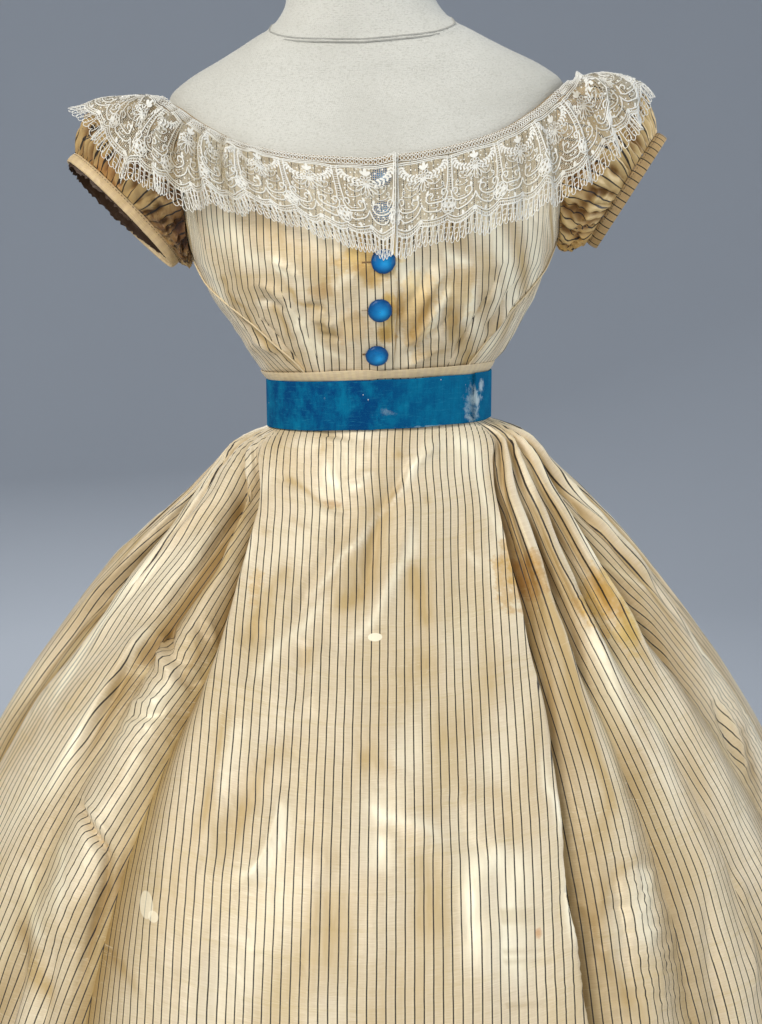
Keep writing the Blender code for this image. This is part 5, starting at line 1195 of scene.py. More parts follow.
def net_material(name, look, pitch):
    """Makes fine net: threads round small cells, a few worked specks, a scalloped rim and painted shade
    between folds.
    """
    paint = Paint(name, Roughness=0.9, Specular_IOR_Level=0.2)
    cloth = paint.cloth()
    across, down, _ = paint.parts(cloth)
    down = down * 1000.0
    cells = paint.cells(cloth, NET_CELLS, 0.35, "DISTANCE_TO_EDGE")
    cover = (down / LACE_DEEP).clamped() * 0.07 + paint.noise(cloth, 60.0, 2.0) * 0.05 + look.net_cover
    thread = ((cover - cells) * 14.0).clamped()
    speck = paint.cells(cloth, NET_SPECKS, 0.55).below(0.17, 20.0)
    rim = abs((across * (2 * math.pi / pitch)).maths("SINE")) * BORDER_DEEP + BORDER_TOP + NET_BELOW_BORDER
    inside = ((rim - down) * 3.0).clamped() * down.above(HEADING, 3.0)
    hollow = paint.stated("hollow").clamped() * 0.88
    colour = paint.mix(hollow, paint.mix(speck, look.net, look.lace), look.lace_shade)
    return paint.finish(Base_Color=colour, Alpha=thread.maths("MAXIMUM", speck) * inside)


def velvet_material(name, look):
    """Makes worn velvet ribbon: deep blue pile rubbed to a lighter greenish blue, with pale specks."""
    paint = Paint(name, Roughness=0.9, Specular_IOR_Level=0.08, Sheen_Weight=0.22, Sheen_Roughness=0.35,
                  Sheen_Tint=(0.0, 0.45, 0.75, 1.0))
    cloth, place = paint.cloth(), paint.place()
    x, _, _ = paint.parts(place)
    patch = paint.drawn(cloth, (44.0, 30.0), 4.0, 0.66)
    pile = paint.drawn(cloth, (900.0, 1700.0), 3.0, 0.7)
    streak = paint.drawn(cloth, (90.0, 600.0), 3.0, 0.6)
    ribs = paint.drawn(cloth, (500.0, 30.0), 2.0, 0.6)
    torn = paint.noise(place, 110.0, 4.0, 0.7)
    colour = paint.layered(look.velvet, (
        (patch.above(0.44, 5.0), look.velvet_worn),
        (((x + 0.02) * 14.0 + (patch - 0.5) * 2.0).clamped() * 0.55, look.velvet_worn),
        (pile.above(0.52, 4.0) * 0.5, look.velvet_pale),
        (streak.above(0.56, 6.0) * 0.40, look.velvet_pale),
        (ribs.above(0.5, 4.0) * 0.35, look.velvet),
    ))
    for centre, sizes, strength in RUBBED:
        bare = ((2.3 - paint.away(place, centre, sizes) - torn * 2.4 - pile * 0.8) * 2.0).clamped()
        colour = paint.mix(bare * strength, colour, BARE_GROUND)
    specks = paint.cells(place, 85.0, dimensions="3D").below(0.055, 60.0)
    colour = paint.mix(specks * 0.8, colour, PALE_SPECKS)
    return paint.finish(Base_Color=colour, Normal=paint.bump(pile + streak * 0.4, 0.6, 0.0006))


def satin_material(name, look):
    """Makes blue satin drawn over a mould, with floats, a painted middle highlight, painted rim shade and
    darker rubs.
    """
    paint = Paint(name, Specular_IOR_Level=0.25, Sheen_Weight=0.0)
    place = paint.place()
    floats = paint.drawn(place, (300.0, 300.0, 2600.0))
    patch = paint.noise(place, 160.0, 3.0)
    colour = paint.layered(look.satin, (
        (patch.above(0.5, 3.0) * 0.5, look.satin_rubs_and_shade),
        # painted shade towards the rim, then a painted highlight near the middle
        (paint.stated("hollow").clamped() * 0.9, look.satin_rubs_and_shade),
        (paint.stated("sheen").clamped() * 0.75, look.satin_highlight),
    ))
    return paint.finish(Base_Color=colour, Roughness=0.20 + patch * 0.20,
                        Normal=paint.bump(floats + patch * 2.0, 0.4, 0.0003))


def canvas_material(name, look, dim=1.0):
    """Makes tight off-white canvas with its plain weave, slubs, faint grubby patches and painted shade at its
    sides.
    """
    paint = Paint(name, Roughness=0.9, Specular_IOR_Level=0.2, Sheen_Weight=0.1)
    place = paint.place()
    x, y, z = paint.parts(place)
    weft, warp = (z * CANVAS_THREADS).fraction(), ((x + y * 0.6) * CANVAS_THREADS).fraction()
    weave = abs(weft - 0.5) + abs(warp - 0.5)
    nub = paint.drawn(place, (420.0, 420.0, 800.0))
    patch = paint.noise(place, 14.0, 3.0)
    colour = paint.layered(look.canvas, (
        (patch.above(0.45, 3.0) * 0.5, look.canvas_grime_and_shade),
        # painted shade towards the form's sides
        (((abs(x) - 0.10 + (patch - 0.5) * 0.06) * 10.0).clamped() * 0.65, look.canvas_grime_and_shade),
        (nub.above(0.50, 6.0) * 0.60, look.canvas_grime_and_shade),
    ))
    if dim < 1.0:
        colour = paint.tinted(colour, (dim, dim, dim))
    return paint.finish(Base_Color=colour, Normal=paint.bump(weave + nub * 1.6, 0.5, 0.0007))


def metal_material(name, look):
    """Makes black enamel with slight orange peel and patches of dust."""
    paint = Paint(name, Roughness=0.35, Coat_Weight=0.3)
    place = paint.place()
    peel = paint.noise(place, 260.0, 2.0)
    dust = paint.noise(place, 40.0, 4.0)
    colour = paint.mix(dust.above(0.5, 3.0) * 0.25, look.enamel, DUST)
    return paint.finish(Base_Color=colour, Roughness=0.3 + dust * 0.25,
                        Normal=paint.bump(peel, 0.2, 0.0004))


def plain_material(name, colour, roughness):
    """Makes a plain matt stage material with faint unevenness."""
    paint = Paint(name, Specular_IOR_Level=0.1)
    soft = paint.noise(paint.place(), 1.2, 3.0)
    base = paint.mix(soft * 0.25, colour, tuple(c * 0.9 for c in colour))
    return paint.finish(Base_Color=base, Roughness=roughness + soft * 0.05)


def mesh_object(name, points, faces, material, uv=None, hollow=None, sheen=None):
    """Makes an object from arrays of points and faces, with flat-cloth places at its corners."""
    mesh = bpy.data.meshes.new(name)
    points = np.asarray(points, dtype=np.float32).reshape(-1, 3)
    faces = np.asarray(faces, dtype=np.int32)
    corners = faces.shape[1]
    mesh.vertices.add(len(points))
    mesh.vertices.foreach_set("co", points.ravel())
    mesh.loops.add(faces.size)
    mesh.loops.foreach_set("vertex_index", faces.ravel())
    mesh.polygons.add(len(faces))
    mesh.polygons.foreach_set("loop_start", np.arange(0, faces.size, corners, dtype=np.int32))
    if uv is not None:
        layer = mesh.uv_layers.new(name="cloth")
        layer.data.foreach_set("uv", np.asarray(uv, dtype=np.float32).ravel())
    for label, values in (("hollow", hollow), ("sheen", sheen)):
        if values is not None:
            mesh.attributes.new(label, "FLOAT", "POINT").data.foreach_set(
                "value", np.asarray(values, dtype=np.float32).ravel())
    mesh.update(calc_edges=True)
    mesh.validate()
    mesh.shade_smooth()
    mesh.materials.append(material)
    thing = bpy.data.objects.new(name, mesh)
    bpy.context.scene.collection.objects.link(thing)
    return thing


def grid_faces(rows, columns, closed=False):
    """Returns the quads of a grid turned outward, row by row."""
    spans = columns if closed else columns - 1
    row, column = np.meshgrid(np.arange(rows - 1), np.arange(spans), indexing="ij")
    after = (column + 1) % columns
    return np.stack([row * columns + column, (row + 1) * columns + column,
                     (row + 1) * columns + after, row * columns + after], axis=-1).reshape(-1, 4)


def grid_uv(across, along, closed_by=None):
    """Returns the places at the corners of a grid's quads; across may be given for each span."""
    if across.ndim == 2:
        left, right = across[:, :-1], across[:, 1:]
        if closed_by is not None:
            left = across
            right = np.concatenate([across[:, 1:], across[:, :1] + closed_by], axis=1)
            along = np.concatenate([along, along[:, :1]], axis=1)
    else:
        left, right = across[..., 0], across[..., 1]
    u = np.stack([left[:-1], left[1:], right[1:], right[:-1]], axis=-1)
    v = np.stack([along[:-1, :-1], along[1:, :-1], along[1:, 1:], along[:-1, 1:]], axis=-1)
    return np.stack([u, v], axis=-1)


def lengths(grid, axis):
    """Returns the length run along a grid's rows (axis 1) or columns (axis 0)."""
    step = np.linalg.norm(np.diff(grid, axis=axis), axis=-1)
    start = np.zeros_like(grid[:1, :, 0] if axis == 0 else grid[:, :1, 0])
    return np.concatenate([start, np.cumsum(step, axis=axis)], axis=axis)


def sew(piece, slot, *nodes):
    """Lets a piece ride with the dress, in place of the solids that it stands for."""
    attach(piece, "root")
    if nodes:
        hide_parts(*nodes)
    return piece


def tubes(lines, radius, sides=4, flat=1.0, facing=None):
    """Returns points and faces of round cords along lines, an array of (line, point, 3)."""
    lines = np.asarray(lines, float)
    way = unit(np.gradient(lines, axis=1))
    if facing is None:
        facing = np.broadcast_to(np.array([0.13, -0.9, 0.41]), lines.shape)
    aside = unit(np.cross(way, facing))
    up = np.cross(aside, way)
    turns = (np.arange(sides) + 0.5) * 2 * math.pi / sides
    rings = (lines[:, :, None] + aside[:, :, None] * (np.cos(turns)[:, None] * radius)
             + up[:, :, None] * (np.sin(turns)[:, None] * radius * flat))
    count, length = lines.shape[:2]
    k, p, s = np.meshgrid(np.arange(count), np.arange(length - 1), np.arange(sides), indexing="ij")
    base = (k * length + p) * sides
    after = (s + 1) % sides
    faces = np.stack([base + s, base + after, base + sides + after, base + sides + s], axis=-1)
    return rings.reshape(-1, 3), faces.reshape(-1, 4)


def drawn_in(ring, shares):
    """Returns rings drawn in towards the middle of a ring, for a closed end."""
    centre = ring.mean(axis=0)
    return np.stack([centre + (ring - centre) * share for share in shares])


def joined(parts):
    """Joins lists of points and faces into one."""
    points, faces, shift = [], [], 0
    for some, quads in parts:
        points.append(some)
        faces.append(quads + shift)
        shift += len(some)
    return np.concatenate(points), np.concatenate(faces)


def cord_piece(name, parts, material, slot, hollow=None):
    """Makes one piece of many cords that rides with the dress and stands for no solid."""
    points, faces = joined(parts)
    shade = None if hollow is None else np.full(len(points), hollow)
    return sew(mesh_object(name, points, faces, material, np.zeros((len(faces), 4, 2)), shade), slot)


def area_of(piece):
    """Returns the area of a piece's surface."""
    return sum(face.area for face in piece.data.polygons)


def tree_of(*pieces):
    """Returns one search tree of the pieces' faces."""
    points, faces = [], []
    for piece in pieces:
        shift = len(points)
        points += [vertex.co.copy() for vertex in piece.data.vertices]
        faces += [[corner + shift for corner in face.vertices] for face in piece.data.polygons]
    return BVHTree.FromPolygons(points, faces)


def spread(values, reach):
    """Returns the largest value near each place of a grid."""
    for axis in (0, 1):
        values = np.max([np.roll(values, step, axis=axis) for step in range(-reach, reach + 1)], axis=0)
    return values


def softened(values, times):
    """Evens out a grid of values."""
    for _ in range(times):
        for axis in (0, 1):
            padded = np.concatenate([values.take([0], axis=axis), values, values.take([-1], axis=axis)],
                                    axis=axis)
            count = values.shape[axis]
            values = (padded.take(range(count), axis=axis) + 2 * values
                      + padded.take(range(2, count + 2), axis=axis)) / 4
    return values


def fold_tables():
    """Returns the depth and angle readers of every fold round the skirt."""
    tables = []
    for _, depths, angles in FRONT_FOLDS:
        tables.append((reader(list(zip(DEPTH_DROPS, depths))), reader(list(zip(ANGLE_DROPS, angles)))))
    for at_belt, at_hip, at_hem, depth in BACK_FOLDS:
        depths = [(drop, depth * share) for drop, share in zip(DEPTH_DROPS, BACK_DEPTH_SHARES)]
        angles = [(0.0, at_belt), (HIP_DROP, at_hip), (KNEE_DROP, (at_hip + at_hem) / 2),
                  (SKIRT_LENGTH, at_hem)]
        tables.append((reader(depths), reader(angles)))
    return tables


FOLDS = fold_tables()


def skirt_surface(drop, place):
    """Returns points of the skirt and how deep each lies in a fold, at paired drops and places."""
    drop, place = np.broadcast_arrays(np.asarray(drop, float), np.asarray(place, float))
    count = len(FOLDS)
    levels = np.unique(drop)
    at_level = np.searchsorted(levels, drop)
    depth = np.stack([table[0](levels)[..., 0] for table in FOLDS]) / 1000
    angle = np.stack([table[1](levels)[..., 0] for table in FOLDS])
    depth = np.concatenate([depth, depth[:1]])
    angle = np.concatenate([angle, angle[:1] + 360])
    place = np.mod(place, count)
    before = np.floor(place).astype(int)
    share = place - before
    degrees = angle[before, at_level] * (1 - share) + angle[before + 1, at_level] * share
    near, far = depth[before, at_level], depth[before + 1, at_level]
    rise = np.where(far >= near, share, 1 - share)
    soft = CREST_ROUND * ease(rise) + (1 - CREST_ROUND) * np.sin(np.pi / 2 * rise)
    low, high = np.minimum(near, far), np.maximum(near, far)
    fold = (low + (high - low) * soft) * ease((drop - FOLD_START) / FOLD_FULL)
    fold = fold * (1 + SHARPER * (1 - rise) * ease((SHARPER_END - drop) / SHARPER_FADE))
    squareness = SQUARENESS - (SQUARENESS - 2) * ease((drop - ROUND_START) / ROUND_FULL)
    x, y = section(SKIRT(drop), degrees, squareness)
    turn = np.radians(degrees)
    points = np.stack([x + fold * np.sin(turn), y - fold * np.cos(turn), SKIRT_LEVEL - drop], axis=-1)
    deep = (high - low > SHADE_FROM) * (1 - soft) * np.clip((high - low) / SHADE_FULL, 0, 1)
    return stance(points), deep


def skirt_normals(drop, place):
    """Returns the outward normals of the skirt."""
    along = skirt_surface(drop, place + 0.03)[0] - skirt_surface(drop, place - 0.03)[0]
    down = skirt_surface(drop + 0.003, place)[0] - skirt_surface(drop - 0.003, place)[0]
    return unit(np.cross(down, along))


def pleat_lines():
    """Returns the rise and the line of each fine pleat under the belt."""
    return [(rise, ((-0.012, place), (0.05, place + drift * 0.3), (0.10 + reach / 2, place + drift),
                    (0.13 + reach, place + drift * 1.2))) for rise, place, drift, reach in BELT_PLEATS]


def skirt_lines(rows, scale):
    """Returns the skirt's creases or streaks as lines in space."""
    lines = []
    for strength, wide, line in rows:
        line = smooth_line(line, 4 * len(line))
        lines.append((strength * scale, wide / 1000, skirt_surface(line[:, 0], line[:, 1])[0]))
    return lines


def rumples(points, across, along):
    """Returns the sharp little cross folds of the rumpled patches."""
    rise = np.zeros(points.shape[:-1])
    for drop, place, radius, height in RUMPLED:
        gap = np.linalg.norm(points - skirt_surface(drop, place)[0], axis=-1) / radius
        rise += height / 1000 * np.exp(-gap**2)
    broad = ridges(across + along * 0.8, along - across * 0.3, 0.019, 0.0080, 15)
    fine = ridges(across - along * 0.5, along, 0.011, 0.006, 17)
    return rise * (0.7 * broad + 0.4 * fine)


def breadth_places(first, last, spacing):
    """Returns the places of a breadth's columns, evenly spaced on the cloth at the knee."""
    fine = np.linspace(first, last, (last - first) * 50 + 1)
    knee, _ = skirt_surface(np.full_like(fine, KNEE_DROP), fine)
    run = lengths(knee[None], 1)[0]
    places = []
    for fold in range(first, last):
        span = np.interp(fold + 1, fine, run) - np.interp(fold, fine, run)
        parts = max(4, int(round(span / spacing)))
        places += [fold + part / parts for part in range(parts)]
    return np.array(places + [last])


def skirt_breadth(name, spacing, material, lines, streak_lines):
    """Makes a breadth of the skirt with its folds, creases and the turned hem."""
    first, last, runs = BREADTHS[name]
    places = breadth_places(first, last, spacing)
    top = np.linspace(SKIRT_TOP, HIP_DROP, SKIRT_TOP_ROWS)[:-1]
    rows_below = int((SKIRT_LENGTH - HIP_DROP) * SKIRT_ROW_SHARE / spacing)
    drops = np.concatenate([top, np.linspace(HIP_DROP, SKIRT_LENGTH, rows_below)])
    drop, place = np.meshgrid(drops, places, indexing="ij")
    smooth, deep = skirt_surface(drop, place)
    facing = skirt_normals(drop, place)
    across_all, along = lengths(smooth, 1), lengths(smooth, 0)
    inset = (ease((places - first) / EDGE_FADE) * ease((last - places) / EDGE_FADE))[None, :]
    middle = across_all - across_all[:, [np.argmin(abs(places - runs[0][2]))]]
    sheen = streaks(smooth, streak_lines) + unevenness(SKIRT_PATCHES, middle, along)
    points = creased(smooth, facing * inset[..., None], lines)
    calm = ease((drop + 0.005) / 0.05) * inset
    ripple = unevenness(SKIRT_RIPPLES, middle, along) + rumples(smooth, middle, along)
    gather = np.cos(middle * 2 * np.pi / GATHER_PITCH + 3 * grain(middle, along, 0.02, 0.3, 4))
    gather *= GATHER_DEPTH * ease((GATHER_END - drop) / GATHER_FADE) * ease((drop + 0.006) / 0.01) * inset
    points = points + facing * (HALF_SILK + ripple * calm + gather)[..., None]
    inside = points - facing * HEM_THICK
    rows_up = np.arange(len(drops) - 1, np.searchsorted(drops, SKIRT_LENGTH - HEM_TURNED) - 1, -2)
    edge = points[-1:] - facing[-1:] * HEM_THICK / 2 - np.array([0, 0, 0.0008])
    points = np.concatenate([points, edge, inside[rows_up]])
    turned = np.arange(1, len(rows_up) + 2)
    along = np.concatenate([along, along[-1:] + (turned * HEM_TURNED / len(turned))[:, None]])
    deep, sheen, across_all = (np.concatenate([grid, np.repeat(grid[-1:], len(turned), axis=0)])
                               for grid in (deep, sheen, across_all))
    across = np.zeros((len(points), len(places) - 1, 2))
    for number, (start, end, keep) in enumerate(runs):
        spans = (places[:-1] >= start - 1e-6) & (places[1:] <= end + 1e-6)
        zero = np.array([np.interp(keep, places, row) for row in across_all])[:, None]
        base = 0.0 if name == "skirt_front" else RUN_BASE + RUN_STEP * number
        across[:, spans, 0] = base + (across_all[:, :-1] - zero)[:, spans]
        across[:, spans, 1] = base + (across_all[:, 1:] - zero)[:, spans]
    piece = mesh_object(name + "_cloth", points, grid_faces(*points.shape[:2]), material,
                        grid_uv(across, along), deep, sheen)
    return sew(piece, "striped_silk", name)


def guided_angles(guides, tops, height):
    """Returns the angles of columns that run down between guide lines, from their places on top."""
    top_height = bodice_top(tops)
    shares = np.empty(len(tops))
    for k, (top, level) in enumerate(zip(tops, top_height)):
        shares[k] = np.interp(top, [float(guide(level)) for guide in guides], np.arange(len(guides)))
    last = len(guides) - 1
    shares = SEAM_SHARE + (shares - shares[0]) / (shares[-1] - shares[0]) * (last - 2 * SEAM_SHARE)
    table = np.stack([guide(height) for guide in guides])
    before = np.clip(np.floor(shares).astype(int), 0, len(guides) - 2)
    share = shares - before
    columns = np.arange(len(tops))[None, :]
    rows = np.arange(height.shape[0])[:, None]
    low = table[before[None, :], rows, columns]
    high = table[before[None, :] + 1, rows, columns]
    return low + (high - low) * share, shares


def finer(values, parts):
    """Puts evenly spaced values between each two."""
    values = np.array(values, float)
    return np.interp(np.arange((len(values) - 1) * parts + 1) / parts, np.arange(len(values)), values)


def seam_guide(rows, side):
    """Returns a guide line that follows a seam."""
    return lambda height: seam_angle(rows, side, height)


def far_seam_guide(rows):
    """Returns a guide line that follows a seam on the wearer's right, as an angle past 180."""
    return lambda height: 360 - seam_angle(rows, 1, height)


def still_guide(angle):
    """Returns a guide line at one angle."""
    return lambda height: np.full_like(np.asarray(height, float), angle)


def dart_guide(name):
    """Returns a guide line along a dart."""
    table = reader(DARTS[name][0])
    return lambda height: table(height)[..., 0]


def bodice_panel(name, guides, tops, material, takes=(), lift=None, middle=0.0, turn_edge=False):
    """Makes a panel of the bodice, its stripes kept by the darts and counted from its middle angle."""
    tops = np.array(tops, float)
    top_height = bodice_top(tops)
    shares_down = np.linspace(1, 0, BODICE_UPPER_ROWS)[:-1, None]
    upper = SHOULDER_LEVEL + (top_height - SHOULDER_LEVEL) * shares_down
    lower = np.linspace(SHOULDER_LEVEL, 0.001, BODICE_LOWER_ROWS)[:, None] * np.ones(len(tops))
    height = np.concatenate([upper, lower])
    degrees, shares = guided_angles(guides, tops, height)
    out = (lift(degrees) if lift else 0.0) + HALF_SILK
    flat = stance(on_torso(degrees, height, out))
    facing = normals(flat)
    lines = []
    for rise, wide, line in BODICE_CREASES:
        line = smooth_line(line, 4 * len(line))
        lines.append((rise * BODICE_CREASE_SCALE, wide / 1000, stance(on_torso(*line.T, HALF_SILK))))
    points = creased(flat, facing, lines)
    sheen = streaks(flat, [(strength, wide / 1000, stance(on_torso(*np.array(line).T, HALF_SILK)))
                           for strength, wide, line in BODICE_SHEEN])
    across = lengths(flat, 1)
    zero = np.array([np.interp(middle, row, run) for row, run in zip(degrees, across)])[:, None]
    across = across - zero
    along = height - BODICE_FRONT_LENGTH
    spans = np.zeros((len(points), len(tops) - 1, 2))
    spans[..., 0], spans[..., 1] = across[:, :-1], across[:, 1:]
    centre = (shares[:-1] + shares[1:]) / 2
    for at, tip, take, sign in takes:
        beyond = (centre > at) if sign > 0 else (centre < at)
        gone = take * np.clip((tip - height) / tip, 0, 1)
        spans[:, beyond, 0] += sign * gone[:, :-1][:, beyond]
        spans[:, beyond, 1] += sign * gone[:, 1:][:, beyond]
    calm = ease((shares - shares[0]) / 0.05) * ease((shares[-1] - shares) / 0.05)
    crumple = ridges(across + along * 0.7, along - across * 0.5, 0.024, 0.015, 24) * BODICE_RIDGES
    ripple = unevenness(BODICE_RIPPLES, across, along) + crumple * ease((0.16 - height) / 0.05)
    sheen = sheen * BODICE_SHEEN_GAIN + unevenness(BODICE_PATCHES, across, along)
    points = points + facing * (ripple * calm)[..., None]
    if turn_edge:
        edge = points[:, -1:]
        side = unit(points[:, -1:] - points[:, -3:-2])
        bend = [edge + side * 0.0004 - facing[:, -1:] * 0.0007, edge - facing[:, -1:] * 0.0012,
                edge - side * 0.010 - facing[:, -1:] * 0.0010]
        points = np.concatenate([points, *bend], axis=1)
        extra = spans[:, -1:, 1] + np.array([[0.0, 0.0008, 0.0016, 0.011]])
        spans = np.concatenate([spans, np.stack([extra[:, :-1], extra[:, 1:]], axis=-1)], axis=1)
        along = np.concatenate([along, np.repeat(along[:, -1:], 3, axis=1)], axis=1)
        sheen = np.concatenate([sheen, np.full((len(sheen), 3), TURNED_EDGE_SHEEN)], axis=1)
    piece = mesh_object(name + "_cloth", points, grid_faces(*points.shape[:2]), material,
                        grid_uv(spans, along), np.zeros(points.shape[:2]), sheen)
    return sew(piece, "striped_silk", name)


def ribbon(name, top, bottom, out, thick, material, closed, rows=14, bulge=0.0, shift=0.0):
    """Makes a flat band with rounded edges from its top and bottom lines and its outward direction."""
    turn = np.linspace(-np.pi / 2, np.pi / 2, 6)[1:-1]
    face = np.linspace(0, 1, rows)
    down = unit(bottom - top)
    half = thick / 2
    ring = [top + (bottom - top) * share + out * (half + bulge * 4 * share * (1 - share)) for share in face]
    ring += [bottom + down * half * math.cos(angle) - out * half * math.sin(angle) for angle in turn]
    ring += [top + (bottom - top) * share - out * half for share in face[::-1]]
    ring += [top - down * half * math.cos(angle) + out * half * math.sin(angle) for angle in turn]
    points = np.stack(ring) + shift
    count, columns = points.shape[:2]
    turned = np.concatenate([points, points[:1]])
    across = lengths(points, 1)[:1] * np.ones((count + 1, 1))
    along = lengths(turned, 0)
    length = float(across[0, -1])
    if closed:
        length += float(np.linalg.norm(points[0, 0] - points[0, -1]))
    faces = grid_faces(count + 1, columns, closed=closed) % (count * columns)
    uv = grid_uv(across, along, closed_by=length if closed else None).reshape(-1, 4, 2)
    if not closed:
        near = np.arange(-2, rows + 1) % count
        far = (2 * rows + 3 - np.arange(-2, rows + 1)) % count
        for column, step in ((0, 1), (columns - 1, -1)):
            cap = np.stack([near[:-1], near[1:], far[1:], far[:-1]], axis=-1)[:, ::-step] * columns + column
            faces = np.concatenate([faces, cap])
            uv = np.concatenate([uv, np.full((len(cap), 4, 2), float(across[0, column]))])
    return mesh_object(name, points, faces, material, uv, np.zeros((count, columns))), length


def round_waist(out, height, degrees):
    """Returns points round the waist for the belt, at one distance out at every height."""
    sizes = np.array(BELT_SIZES) + out
    x, y = section(np.broadcast_to(sizes, (*degrees.shape, 3)), degrees, SQUARENESS)
    return stance(np.stack([x, y, np.full_like(x, height)], axis=-1))


def band_ring(row, slide, count, grow=0.0):
    """Returns a ring of a sleeve band in the upright frame, slid along the sleeve's axis."""
    side, (x, height), (along_x, along_up), half_length, half_depth, turn = row
    sign = -1 if side == "right" else 1
    long_axis = unit(np.array([along_x, 0.0, along_up]))
    level = np.array([-long_axis[2] * sign, 0.0, long_axis[0] * sign])
    tilt = math.radians(turn)
    axis = level * math.cos(tilt) + np.array([0.0, -math.sin(tilt), 0.0])
    short_axis = np.array([0.0, -1.0, 0.0]) * math.cos(tilt) - level * math.sin(tilt)
    turns = np.linspace(0, 2 * math.pi, count, endpoint=False)[:, None]
    centre = np.array([x, 0.0, height]) - axis * SLEEVE_BAND_HEIGHT / 2
    ring = (centre - long_axis * (half_length + grow) * np.cos(turns)
            + short_axis * (half_depth + grow) * np.sin(turns))
    return ring + axis * slide


def armhole_ring(side, count):
    """Returns where a sleeve is sewn, from the shoulder tip to the front, the underarm and the back."""
    turns = np.arange(count) / count
    sign = -1 if side == "right" else 1
    mid = (ARMHOLE_FRONT + ARMHOLE_BACK) / 2
    front_half = ARMHOLE_FRONT - SLEEVE_INSET
    back_half = ARMHOLE_BACK + SLEEVE_INSET
    half_top = SHOULDER_SHARE / 2
    under = (turns - half_top) / (1 - SHOULDER_SHARE)
    under_angle = front_half + (back_half - front_half) * (0.5 - 0.5 * np.cos(np.pi * under))
    lead = mid + (front_half - mid) * turns / half_top
    tail = back_half + (mid - back_half) * (turns - 1 + half_top) / half_top
    on_neck = (turns < half_top) | (turns > 1 - half_top)
    degrees = np.where(turns < half_top, lead, np.where(turns > 1 - half_top, tail, under_angle))
    neck = neckline_height(degrees) - SHOULDER_DROP
    height = np.where(on_neck, neck, np.minimum(ARMHOLE(degrees)[..., 0] - 0.002, neck))
    over_band = ease((height - neckline_height(degrees) + 0.015) / 0.006)
    return on_torso(degrees * sign, height, SILK + BAND_OUT * over_band + 0.0006)


def sleeve(row, material):
    """Makes a gathered puffed sleeve between the armhole and its band."""
    side, count = row[0], SLEEVE_COLUMNS
    steps = np.linspace(0, 1, SLEEVE_ROWS_DOWN)
    start = armhole_ring(side, count)
    end = band_ring(row, -BAND_SEAM, count, grow=-0.0004)
    turns = np.linspace(0, 2 * math.pi, count, endpoint=False)
    outward = unit((start - start.mean(axis=0)) + (end - end.mean(axis=0)))
    puff = PUFF_UNDER + (PUFF_TOP - PUFF_UNDER) * (0.5 + 0.5 * np.cos(turns)) ** PUFF_POWER
    middle = (start + end) / 2 + outward * puff[:, None]
    seed = SLEEVE_SEEDS[side]
    drift = 2.2 * (grain(np.cos(turns) * 0.5 + 5, np.sin(turns) * 0.5, 0.22, 0.22, seed) - 0.5)
    cuff_turns = np.cos(turns * 23 + drift * 3)
    arm_turns = np.cos(turns * 17 + drift * 2)
    grid, folds = [], []
    for step in steps:
        curve = start * (1 - step) ** 2 + middle * 2 * step * (1 - step) + end * step**2
        swell = math.sin(math.pi * min(step, 0.90) / 1.15)
        near_cuff = float(ease((step - 0.35) / 0.4)) * float(ease((1.0 - step) / 0.08))
        near_arm = float(ease((0.6 - step) / 0.4)) * float(ease(step / 0.08))
        fold = 0.0036 * (np.abs(cuff_turns) * 2 - 1) * near_cuff + 0.0030 * arm_turns * near_arm
        crumple = grain(np.cos(turns) * 0.4 + 3, np.sin(turns) * 0.4 + step * 0.24, 0.05, 0.05,
                        seed + 1) - 0.5
        sharp = 1 - abs(2 * grain(np.cos(turns) * 0.4 + 7 + step * 0.1, np.sin(turns) * 0.4 - step * 0.2,
                                  0.035, 0.03, seed + 2) - 1)
        rise = fold + 0.009 * crumple * swell + 0.0060 * (sharp - 0.5) * swell
        folds.append(rise)
        grid.append(curve + outward * rise[:, None])
    grid = stance(np.array(grid))
    across = np.ones((len(steps), 1)) * (turns / (2 * math.pi) * SLEEVE_WIDTH)[None, :]
    across = across + 0.002 * np.sin(np.array(steps)[:, None] * 5 + turns[None, :] * 3)
    along = lengths(grid, 0)
    faces = grid_faces(len(steps), count, closed=True)
    uv = grid_uv(across, along, closed_by=SLEEVE_WIDTH)
    if side == "left":
        faces, uv = faces[:, ::-1], uv.reshape(-1, 4, 2)[:, ::-1]
    # painted shade in the gathers' valleys, painted sheen on their crests and in patches
    deep = softened(np.clip(-np.array(folds) / 0.0022, 0, 1.3), 1)
    sheen = np.clip(np.array(folds) / 0.003, -0.7, 1.2)
    sheen += unevenness(((2.0, 0.4, 0.0, 0.016, 0.014, seed + 3),), across, along)
    puffed = mesh_object(f"sleeve_{side}_cloth", grid, faces, material, uv, deep, sheen)
    sew(puffed, "striped_silk", f"sleeve_{side}")


